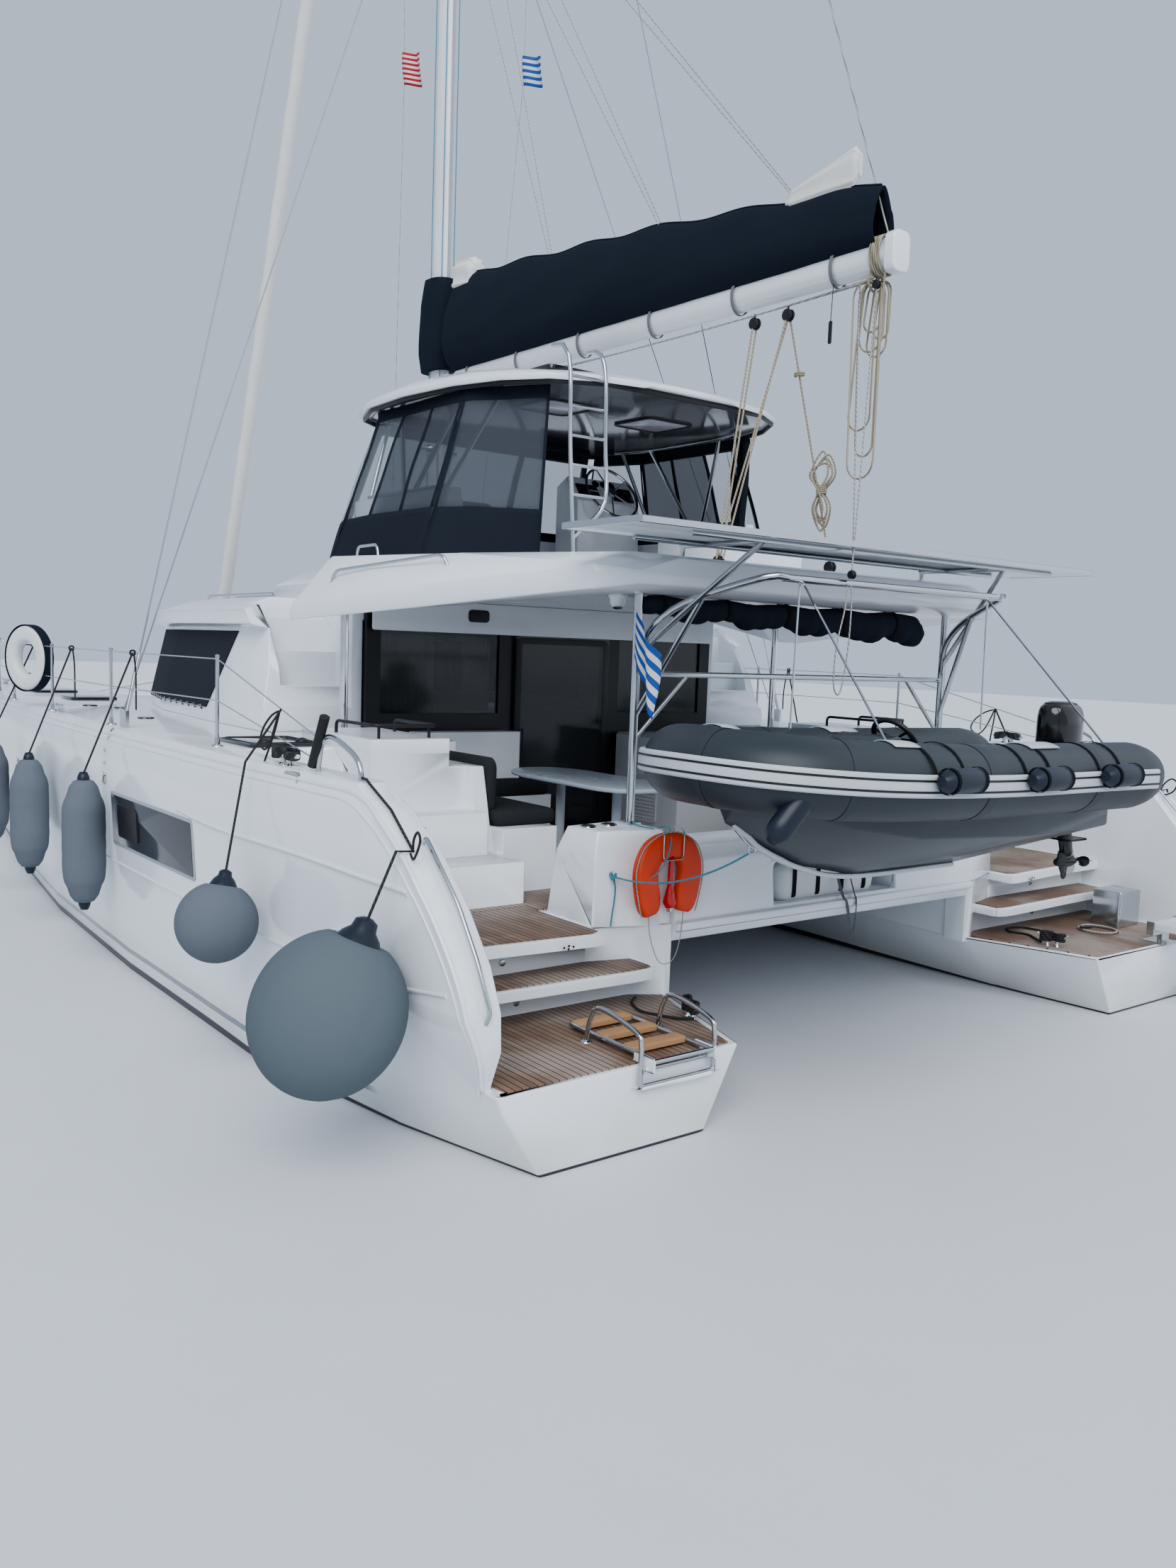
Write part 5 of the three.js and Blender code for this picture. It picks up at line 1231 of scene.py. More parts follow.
def bezel(a: float, b: float, corner: float, border: float, thick: float, way: tuple, at: Point) -> Skin:
    """A flat frame round an opening of a x b, standing on a face.

    Args:
        a: The opening's length.
        b: Its height.
        corner: Its corners' radius.
        border: The frame's width.
        thick: The frame's thickness.
        way: The local axes of the face.
        at: The opening's middle.

    Returns:
        The skin.
    """
    inner, outer = round_rect(a, b, corner), round_rect(a + 2 * border, b + 2 * border, corner + border)
    rows = [(outer, 0.0), (outer, thick * 0.7), (outer * 0.995, thick), (inner, thick), (inner, 0.0), (outer, 0.0)]
    stack = np.stack([np.column_stack([ring_, np.full(len(ring_), h)]) for ring_, h in rows])
    return grid(stack, caps=False).turned(place(*way, at))


def cloth(made: bpy.types.Object, skin: Skin, height: float,
          thick: float = 0.002) -> None:
    """Args:
        made: The sheet.
        skin: The skin that it was made from; not used, as its area is worked out and dropped.
        height: Its flat height; not used, as it only divides that dropped area.
        thick: The fabric's thickness.
    """
    wall = made.modifiers.new("wall", "SOLIDIFY")
    wall.thickness, wall.offset = thick, 0.0
    spread(skin) / height


def hang(
    points: Sequence[Point], name: str, finish: Finish, diameter: float,
) -> bpy.types.Object:
    """Args:
        points: Where it runs, from its exit on.
        name: The piece's name.
        finish: What it is made of.
        diameter: How thick it is.

    Returns:
        The cord.
    """
    route = smooth(points, 4)
    made = piece(name, tube(route, diameter / 2, 8), finish)
    return made


def pulley(at: Point, size: float = 0.045) -> Skin:
    """A block for rope: two cheeks about a sheave, and a strap over them.

    Args:
        at: The sheave's middle.
        size: The cheeks' radius.

    Returns:
        The skin.
    """
    x, y, z = at
    cheeks = [facing(circle(size, 20), size * 0.3, OUT, (x, y + dy, z), 0.006) for dy in (-size * 0.55, size * 0.25)]
    sheave = facing(circle(size * 0.8, 16), size * 0.4, OUT, (x, y - size * 0.2, z))
    return merge([*cheeks, sheave, line((x, y, z + size * 0.6), (x, y, z + size * 1.6), size * 0.18)])


@dataclass
class SternBeam:
    """The aft crossbeam between the hulls, with the safety gear on it."""

    buoy: Point = (0.93, 1.715, 1.3)
    buoy_bar: tuple[float, float] = (0.085, 0.185)
    eye: Point = (1.112, 2.04, 1.29)
    raft: tuple[float, float, float] = (1.06, 0.39, 0.235)
    raft_at: Point = (1.22, 0.0375, 0.99)
    recess: tuple[float, float] = (1.33, 0.3)

    def build(self) -> None:
        """Makes the beam's parts."""
        dress("bridgedeck", WHITE, Edge.SOFT)
        self.horseshoe()
        self.valise()
        self.trim()

    def horseshoe(self) -> None:
        """A flat padded horseshoe open at its foot, with a line round its rim, its bracket and its hanging lamp."""
        x, y, z = self.buoy
        half = np.array([(0.0, 0.182), (0.11, 0.16), (0.165, 0.1), (0.187, 0.0), (0.16, -0.15), (0.135, -0.255)])
        flat = smooth(np.vstack([half[::-1], half[1:] * [-1, 1]]), 6)
        path = np.column_stack([np.full(len(flat), x), y + flat[:, 0], z + flat[:, 1]])
        last = len(path) - 1
        taper = np.interp(np.arange(len(path)), [0, 1, 3, 6, last - 6, last - 3, last - 1, last],
                          [0.55, 0.76, 0.92, 1, 1, 0.92, 0.76, 0.55])
        body = piece("safety_horseshoe", sweep(path, round_rect(*self.buoy_bar, 0.038), taper), ORANGE,
                     stands_for=["lifebuoy"], angle=70)
        out = flat * [1.0, 0.45]
        out = out / np.linalg.norm(out, axis=1, keepdims=True) * 0.097
        rim = np.column_stack([np.full(len(flat), x - 0.028), y + (flat + out)[:, 0], z + (flat + out)[:, 1]])
        piece("horseshoe_line", tube(rim[3:-3], WIRE, 6), ROPE_WHITE)
        hold = [(0.98, y - 0.085, z + 0.3), (x - 0.05, y - 0.085, z + 0.29), (x - 0.05, y - 0.085, z + 0.1),
                (x - 0.05, y + 0.085, z + 0.1), (x - 0.05, y + 0.085, z + 0.29), (0.98, y + 0.085, z + 0.3)]
        piece("horseshoe_bracket", tube(rounded(hold, 0.03), 0.005, 8), STEEL_WITH_PAINTED_DARK_REFLECTION)
        shape = [(0, 1.085), (0.03, 1.085), (0.045, 1.12), (0.03, 1.19), (0.018, 1.23), (0.018, 1.4), (0.022, 1.41),
                 (0, 1.44)]
        piece("safety_lamp", lathe(shape, 20, (x - 0.03, y, 0)), RED)
        lens = lathe([(0, 1.055), (0.018, 1.058), (0.027, 1.072), (0.029, 1.086), (0, 1.086)], 18, (x - 0.03, y, 0))
        piece("safety_lamp_lens", lens, CHROME)
        hang([(x, y + 0.15, z - 0.25), (x - 0.012, y + 0.135, 0.9), (x - 0.02, y + 0.07, 0.745),
              (x - 0.022, y - 0.01, 0.712), (x - 0.02, y - 0.08, 0.76), (x - 0.01, y - 0.13, 0.9),
              (x, y - 0.15, z - 0.25)], "horseshoe_drogue", ROPE_WHITE, 0.006)

    def valise(self) -> None:
        """The raft in its soft white valise, held by black straps in a flanged recess."""
        length, width, thick = self.raft
        x, y, z = self.raft_at
        shell = pillow(length, width, thick, 0.08, 0.03).turned(place((0, 1, 0), (-1, 0, 0), (0, 0, 1), self.raft_at))
        shell.points[:, 2] += ripple(shell.points, 0.006, [(9, 14, 0, 0.4), (22, 5, 9, 1.9)])
        piece("raft_valise", shell, VALISE, stands_for=["liferaft"], angle=70)
        hoop = round_rect(width + 0.012, thick + 0.045, 0.05) + np.array([x, z + thick / 2 + 0.018])
        straps = merge([strap(hoop, y + dy, 0.04, (0, 2)) for dy in (-0.38, -0.13, 0.13, 0.38)])
        piece("raft_straps", straps, BLACK_STRAP)
        a, b = self.recess
        flange = bezel(a, b, 0.04, 0.045, 0.008, AFT, (1.009, 0, 1.135))
        piece("recess_flange", flange, SMOOTH_WHITE)
        spots = [(dy, dz) for dy in np.linspace(-0.66, 0.66, 7) for dz in (-0.173, 0.173)]
        screws = merge([facing(circle(0.008, 8), 0.003, AFT, (1.001, dy, 1.135 + dz), 0.001) for dy, dz in spots])
        piece("flange_screws", screws, STEEL_WITH_PAINTED_DARK_REFLECTION)

    def trim(self) -> None:
        """A webbing loop over the beam's lip, an eye on the locker, and the blue lines that are made fast there."""
        loop = smooth([(1.004, -0.02, 1.13), (0.945, -0.03, 0.985), (0.922, -0.045, 0.94), (0.918, -0.09, 0.78),
                       (0.918, -0.12, 0.7), (0.918, -0.145, 0.78), (0.922, -0.155, 0.94), (0.945, -0.158, 0.985),
                       (1.004, -0.16, 1.12)], 5)
        piece("beam_loop", sweep(loop, round_rect(0.003, 0.026, 0.001, 2)), GREY_STRAP)
        x, y, z = self.eye
        piece("locker_eye", ring((x - 0.012, y, z), 0.02, 0.005, axis=1), STEEL_WITH_PAINTED_DARK_REFLECTION)
        t = np.linspace(0, 2 * np.pi * 3, 60)
        knot = np.column_stack([x - 0.028 + 0.014 * np.cos(t), y + 0.018 * np.sin(t),
                                z - 0.012 + 0.008 * np.sin(2 * t) + 0.003 * t / 3])
        piece("painter_knot", tube(knot, 0.007, 8), ROPE_BLUE)
        hang([(x - 0.02, y - 0.01, z - 0.02), (x - 0.035, y - 0.015, z - 0.08), (x - 0.035, y - 0.01, z - 0.17),
              (x - 0.03, y, z - 0.26), (x - 0.028, y + 0.005, z - 0.33)], "painter_tail", ROPE_BLUE, 0.011)
        hang([(x - 0.02, y - 0.02, z - 0.01), (0.98, 1.95, 1.265), (0.872, 1.87, 1.315), (0.866, 1.79, 1.4),
              (0.88, 1.74, 1.52), (0.955, 1.705, 1.6), (1.1, 1.7, 1.5735), (1.25, 1.69, 1.567), (1.37, 1.66, 1.575)],
             "locker_line", ROPE_BLUE, 0.009)


@dataclass
class Cockpit:
    """The cockpit under the roof: table, galley counter, sliding door, curtains and the rolled awning."""

    sole: float = 0.95
    door: tuple[float, float] = (1.1, 1.84)

    def build(self) -> None:
        """Makes the cockpit's parts."""
        dress("cockpit_table", TABLE, Edge.SOFT)
        dress("galley_counter", WHITE, Edge.SOFT)
        dress("saloon_bulkhead", BLACK)
        for node in ("saloon_pane_port", "saloon_pane_starboard", "saloon_door"):
            dress(node, PANE)
        self.joinery()
        self.fabrics()

    def joinery(self) -> None:
        """Teak on the sole, louvres on the counter, the door's frame and its handle."""
        corners = [(2.3, -1.6), (4.5, -1.6), (4.5, 0.49), (3.89, 0.49), (3.89, 1.59), (2.3, 1.59)]
        sole = plate(np.array(corners), self.sole, self.sole + 0.012, 0.002)
        piece("cockpit_teak", sole, TEAK)
        slats = [facing(round_rect(0.34, 0.012, 0.004, 2), 0.012, OUT, (4.1, -0.742, z))
                 for z in np.linspace(1.12, 1.5, 12)]
        frame_ = bezel(0.36, 0.42, 0.02, 0.025, 0.014, OUT, (4.1, -0.741, 1.31))
        piece("counter_louvre", merge([frame_, *slats]), SMOOTH_WHITE)
        top = plate(round_rect(0.95, 0.85, 0.04) + np.array([4.08, -1.165]), 1.9, 1.918, 0.006)
        piece("counter_top", top, TABLE)
        a, b = self.door
        x, y, z = 4.56, -0.07, 1.892
        piece("door_frame", bezel(a - 0.13, b - 0.13, 0.01, 0.06, 0.003, AFT, (x, y, z)), BLACK, "saloon_door")
        posts = [tube([(4.1, y_, 1.95), (4.1, y_, 3.0)], 0.0335, 20) for y_ in (2.45, -2.45)]
        piece("roof_post_sleeves", merge(posts), CHROME)
        fascia = facing(round_rect(3.94, 0.27, 0.02), 0.012, AFT, (4.553, 0, 2.956))
        piece("bulkhead_fascia", fascia, SMOOTH_WHITE)
        piece("fascia_port", facing(round_rect(0.22, 0.11, 0.035), 0.01, AFT, (4.541, 0.91, 2.98)), BLACK)
        pad = pillow(0.42, 1.06, 0.1).moved((4.12, 1.04, 1.42))
        piece("bench_pad", pad, CUSHION, angle=60)

    def fabrics(self) -> None:
        """Curtains gathered behind the panes, and the awning rolled under the roof's aft edge."""
        for i, (y0, y1) in enumerate([(1.86, 1.25), (0.95, 0.66), (-0.8, -1.2)]):
            skin = pleats((4.74, y0), (4.74, y1), 2.12, 2.8, 7, 0.02)
            cloth(piece(f"saloon_curtain_{i + 1}", skin, CURTAIN, angle=80), skin, 0.68)
        y = np.linspace(1.62, -1.28, 110)
        held = (1.45, 0.85, 0.25, -0.35, -0.95)
        slack = np.min(np.abs(y[:, None] - np.array(held)), axis=1)
        thick = np.interp(y, [-1.28, 1.62], [0.118, 0.066]) * (0.86 + 0.2 * np.clip(slack / 0.22, 0, 1))
        thick = thick * np.interp(y, [-1.28, -1.24, 1.58, 1.62],
                                  [0.5, 1, 1, 0.5]) + 0.004 * np.sin(23 * y) + 0.003 * np.sin(41 * y + 1)
        path = np.column_stack([1.42 + 0.02 * np.cos(y), y, 3.1 - thick - 0.02 * np.clip(slack / 0.3, 0, 1)])
        roll = tube(path, thick, 22)
        piece("rolled_awning", roll, CANVAS, angle=80)
        ties = []
        for y_ in held:
            r = float(np.interp(y_, [-1.28, 1.62], [0.118, 0.066])) * 0.86
            ties.append(strap(round_rect(2 * r + 0.012, 2 * r + 0.012, r)
                              + np.array([1.42 + 0.02 * math.cos(y_), 3.1 - r]), y_, 0.028, (0, 2)))
        piece("awning_ties", merge(ties), BLACK_STRAP)
        dome = lathe([(0, -0.1), (0.03, -0.093), (0.052, -0.062), (0.056, -0.03), (0.066, -0.02), (0.066, 0.0),
                      (0, 0)], 24, (1.62, 1.66, 3.095))
        piece("dome_camera", dome, SMOOTH_WHITE)
        lens = lathe([(0, -0.101), (0.024, -0.097), (0.036, -0.085), (0, -0.084)], 18, (1.605, 1.67, 3.094))
        piece("dome_camera_lens", lens, GLOSS_BLACK)


# x and y of the coachroof's plan, at the foot of its side
CABIN_PLAN = np.array([[4.66, 2.9], [6.05, 2.86], [7.6, 2.73], [8.85, 2.44], [9.75, 1.93], [10.12, 1.15]])


@dataclass
class Coachroof:
    """The coachroof with its window covers, rails and hatches."""

    rail_from: float = 6.4
    rail_to: float = 8.4

    def build(self) -> None:
        """Makes the coachroof's parts."""
        dress("coachroof", WHITE, Edge.SOFT)
        dress("cabin_windows", COVER)
        self.lacing()
        self.rails()

    def lacing(self) -> None:
        """Studs along the covers' lower edge, with a cord that runs from each to the next."""
        steps = np.diff(CABIN_PLAN, axis=0)
        run = np.concatenate([[0], np.cumsum(np.linalg.norm(steps, axis=1))])
        s = np.arange(1.5, run[-1], 0.22)
        x, y = np.interp(s, run, CABIN_PLAN[:, 0]), np.interp(s, run, CABIN_PLAN[:, 1])
        studs = [lathe([(0, 0), (0.011, 0), (0.009, 0.012), (0, 0.014)], 8,
                       (0, 0, 0)).turned(place(*OUT, (a, b + 0.004, 2.06))) for a, b in zip(x, y)]
        piece("cover_studs", both(merge(studs)), BLACK)
        zig = np.column_stack([np.repeat(x, 2), np.repeat(y + 0.014, 2), np.tile([2.062, 2.092], len(x))])
        piece("cover_lacing", both(tube(zig, 0.0032, 5)), ROPE_WHITE)

    def rails(self) -> None:
        """Grab rails and hatches on the roof."""
        rails = []
        for y in (1.75, 2.05):
            path = rounded([(self.rail_from, y, 3.075), (self.rail_from + 0.05, y, 3.15),
                            (self.rail_to - 0.05, y - 0.08, 3.15), (self.rail_to, y - 0.08, 3.075)], 0.05)
            rails.append(tube(path, GRAB_RAIL, 10))
        piece("coachroof_rails", both(merge(rails)), STEEL_WITH_PAINTED_DARK_REFLECTION)
        hatches = [plate(round_rect(0.55, 0.5, 0.05) + np.array([x, y]), 3.078, 3.112, 0.01)
                   for x, y in ((7.6, 0.9), (8.6, 0.75))]
        piece("coachroof_hatches", both(merge(hatches)), TINT)


@dataclass
class Screens:
    """The canvas round the flybridge: frames of dark canvas with clear and mesh panels, and gathered curtains."""

    low: float = 3.25
    high: float = 4.785
    start: float = 0.05
    skirt: float = 0.36
    posts: tuple[float, ...] = (0.0, 0.33, 0.66, 0.97)
    post: float = 0.03

    def sheet(self, corners: Sequence[Point], u0: float, u1: float, v0: float, v1: float, belly: float = 0.03,
              out: float = 0.0) -> Skin:
        """Part of a screen between its four corners, bellied by sin(pi u) sin(pi v) with a slow ripple.

        Args:
            corners: The screen's corners, foot first.
            u0: Where the part starts along the foot, as a share.
            u1: Where it ends.
            v0: Where it starts upwards, as a share.
            v1: Where it ends.
            belly: How far the screen's middle stands out.
            out: How far the part is shifted outwards.

        Returns:
            The open skin.
        """
        a, b, c, d = (np.asarray(p, float) for p in corners)
        u, v = np.meshgrid(np.linspace(u0, u1, 14), np.linspace(v0, v1, 12), indexing="ij")
        u, v = u[..., None], v[..., None]
        flat = (1 - v) * ((1 - u) * a + u * b) + v * ((1 - u) * d + u * c)
        normal = np.cross(b - a, d - a)
        normal /= np.linalg.norm(normal)
        wave = belly * np.sin(np.pi * u) * np.sin(np.pi * v) + 0.004 * np.sin(9 * u + 14 * v)
        return grid(flat + normal * (wave + out), wrap=False)

    def panel(self, name: str, corners: Sequence[Point], posts: Sequence[float], kinds: str, nodes: Sequence[str],
              held_by: str) -> None:
        """One screen.

        Args:
            name: The piece's name.
            corners: Its four corners, foot first, so that its normal points outboard.
            posts: Where its canvas strips stand, as shares of its length.
            kinds: One letter a window: c for clear, m for mesh.
            nodes: The nodes that it replaces.
            held_by: What it hangs from; not used.
        """
        parts = [self.sheet(corners, 0, 1, self.start, self.skirt), self.sheet(corners, 0, 1, 0.93, 1)]
        parts += [self.sheet(corners, p, p + self.post, self.skirt, 0.93) for p in posts]
        canvas = merge(parts)
        made = piece(f"{name}_canvas", canvas, CANVAS, stands_for=nodes, angle=80)
        cloth(made, canvas, 1.4)
        for i, (p, q, kind) in enumerate(zip(posts[:-1], posts[1:], kinds)):
            skin = self.sheet(corners, p + self.post - 0.008, q + 0.008, self.skirt - 0.01, 0.94, out=-0.003)
            window = piece(f"{name}_window_{i + 1}", skin, CLEAR if kind == "c" else MESH_PANEL, angle=80)
            cloth(window, skin, 0.9, 0.0008)

    def build(self) -> None:
        """Hangs the side, corner, aft and front screens and the curtain at the starboard aft corner."""
        low, high = self.low, self.high
        side = [(5.5, 1.975, low), (3.7, 2.05, low), (3.85, 1.525, high), (5.3, 1.525, high)]
        corner = [(6.44, 1.54, low), (5.5, 1.975, low), (5.3, 1.525, high), (5.79, 1.3, high)]
        aft = [(3.7, 2.05, low), (3.15, 1.25, low), (3.2, 1.15, high), (3.85, 1.525, high)]
        front = [(6.52, -1.512, 3.315), (6.52, 1.512, 3.315), (5.838, 1.26, high), (5.838, -1.26, high)]
        for s in Side:
            flip = lambda points: (
                points if s is Side.PORT
                else [(x, -y_, z) for x, y_, z in (points[1], points[0], points[3], points[2])]
            )
            self.panel(f"{s.word}_screen", flip(side), self.posts, "cmm", [f"{s.word}_screen"], "hardtop")
            self.panel(f"{s.word}_corner_screen", flip(corner), (0.0, 0.97), "c", [], "hardtop")
        self.panel("port_aft_screen", aft, (0.0, 0.97), "m", [], "hardtop")
        self.panel("front_screen", front, (0.0, 0.32, 0.65, 0.97), "ccc", ["front_screen"], "hardtop")
        skin = pleats((3.85, -1.5), (3.55, -1.38), 3.46, 4.74, 6, 0.035, 0.35)
        cloth(piece("starboard_fly_curtain", skin, CANVAS, angle=80), skin, 1.28)


@dataclass
class Flybridge:
    """The cockpit roof as a flybridge: seats, helm, hardtop and its ladder."""

    seat: float = 3.8
    lining: float = 4.81
    hardtop: tuple[tuple[float, float], ...] = (
        (2.8, 0.52), (2.88, 0.92), (3.08, 1.27), (3.42, 1.5), (3.9, 1.65), (4.6, 1.72), (5.3, 1.68), (5.8, 1.5),
        (6.02, 1.23), (6.08, 1.0),
    )

    def build(self) -> None:
        """Makes the flybridge's parts."""
        for node in ("cockpit_roof", "flybridge_seats", "helm_console"):
            dress(node, WHITE, Edge.SOFT)
        dress("hardtop", SMOOTH_WHITE, Edge.SOFT)
        for node in ("port_hardtop_frame", "starboard_hardtop_frame", "hardtop_ladder", "helm_wheel"):
            dress(node, STEEL_WITH_PAINTED_DARK_REFLECTION, angle=50)
        self.cushions()
        self.roof_trim()
        self.helm()

    def cushions(self) -> None:
        """Seat pads along both sides and across the front, with rolled backrests."""
        pads = [((3.81, 4.38), (1.255, 1.57)), ((4.4, 4.97), (1.255, 1.57)), ((4.99, 5.55), (1.255, 1.57))]
        for s in Side:
            for i, ((x0, x1), (y0, y1)) in enumerate(pads):
                at = ((x0 + x1) / 2, (y0 + y1) / 2, self.seat)
                pad = pillow(x1 - x0 - 0.01, y1 - y0, 0.085, 0.05, 0.012).moved(at).on(s)
                nodes = ["flybridge_cushions"] if s is Side.PORT and not i else ()
                piece(f"{s.word}_fly_pad_{i + 1}", pad, CUSHION, stands_for=nodes, angle=70)
        for i, y in enumerate((-0.63, 0.63)):
            pad = pillow(0.42, 1.24, 0.085, 0.05, 0.012).moved((5.715, y, self.seat))
            piece(f"fore_fly_pad_{i + 1}", pad, CUSHION, angle=70)

    def roof_trim(self) -> None:
        """Lining and hatches of the hardtop, the dark band under its rim, and the roof wings' grab rails."""
        half = [(x, max(0.1, h - 0.13)) for x, h in self.hardtop]
        outline = np.array(half[::-1] + [(x, -y) for x, y in half])
        outline[:, 0] = np.clip(outline[:, 0], 2.93, 5.95)
        piece("hardtop_lining", facing(outline, 0.014, DOWN, (0, 0, self.lining)), LINING)
        rim = np.array([(x, h - 0.06) for x, h in self.hardtop])
        rim = np.vstack([rim[::-1], rim * [1, -1]])
        band = np.column_stack([np.clip(rim[:, 0], 2.86, 6.02), rim[:, 1], np.full(len(rim), self.lining - 0.02)])
        piece("hardtop_band", sweep(np.vstack([band, band[:1]]), round_rect(0.02, 0.05, 0.006, 3)), BLACK)
        tops, unders, frames_ = [], [], []
        for y in (-0.55, 0.55):
            tops.append(plate(round_rect(0.56, 0.56, 0.06) + np.array([3.95, y]), 5.03, 5.075, 0.01))
            unders.append(facing(round_rect(0.5, 0.5, 0.06), 0.008, DOWN, (3.95, y, self.lining - 0.014)))
            frames_.append(bezel(0.5, 0.5, 0.06, 0.03, 0.016, DOWN, (3.95, y, self.lining - 0.014)))
        piece("hardtop_hatches", merge(tops), TINT)
        # The hatches' undersides are painted pale as daylight through the glass.
        piece("hardtop_hatch_panes", merge(unders), PANE_WITH_PAINTED_DAYLIGHT)
        piece("hardtop_hatch_frames", merge(frames_), BLACK)
        roll = tube([(5.45, y, 4.745 + 0.006 * math.sin(9 * y)) for y in np.linspace(-0.95, -0.35, 24)], 0.035, 12)
        piece("hardtop_roll", roll, CANVAS, angle=70)
        rails = [rounded([(2.75, 2.3, 3.24), (2.8, 2.33, 3.36), (3.85, 2.66, 3.25), (3.9, 2.68, 3.1)], 0.06),
                 rounded([(3.98, 2.22, 3.36), (4.01, 2.22, 3.49), (4.38, 2.2, 3.49), (4.41, 2.2, 3.36)], 0.05)]
        piece("wing_rails", both(merge([tube(rail, GRAB_RAIL, 10) for rail in rails])), STEEL_WITH_PAINTED_DARK_REFLECTION)

    def helm(self) -> None:
        """Displays and a throttle on the console."""
        way = ((0, -1, 0), (0.6, 0, 0.8), (-0.8, 0, 0.6))
        screens = [facing(round_rect(0.26, 0.17, 0.015), 0.012, way, (4.972, y, 4.276)) for y in (-0.6, -1.03)]
        piece("helm_displays", merge(screens), GLOSS_BLACK)
        dials = [facing(circle(0.04, 20), 0.012, way, (5.04, y, 4.367)) for y in (-0.74, -0.84, -0.94)]
        piece("helm_dials", merge(dials), BLACK)


# Rig

# x, half width at the foot and the top edge of the sail bag
BAG = np.array([[0.92, 0.12, 5.99], [1.7, 0.15, 6.09], [3.56, 0.185, 6.3], [5.3, 0.205, 6.45], [6.56, 0.2, 6.53]])


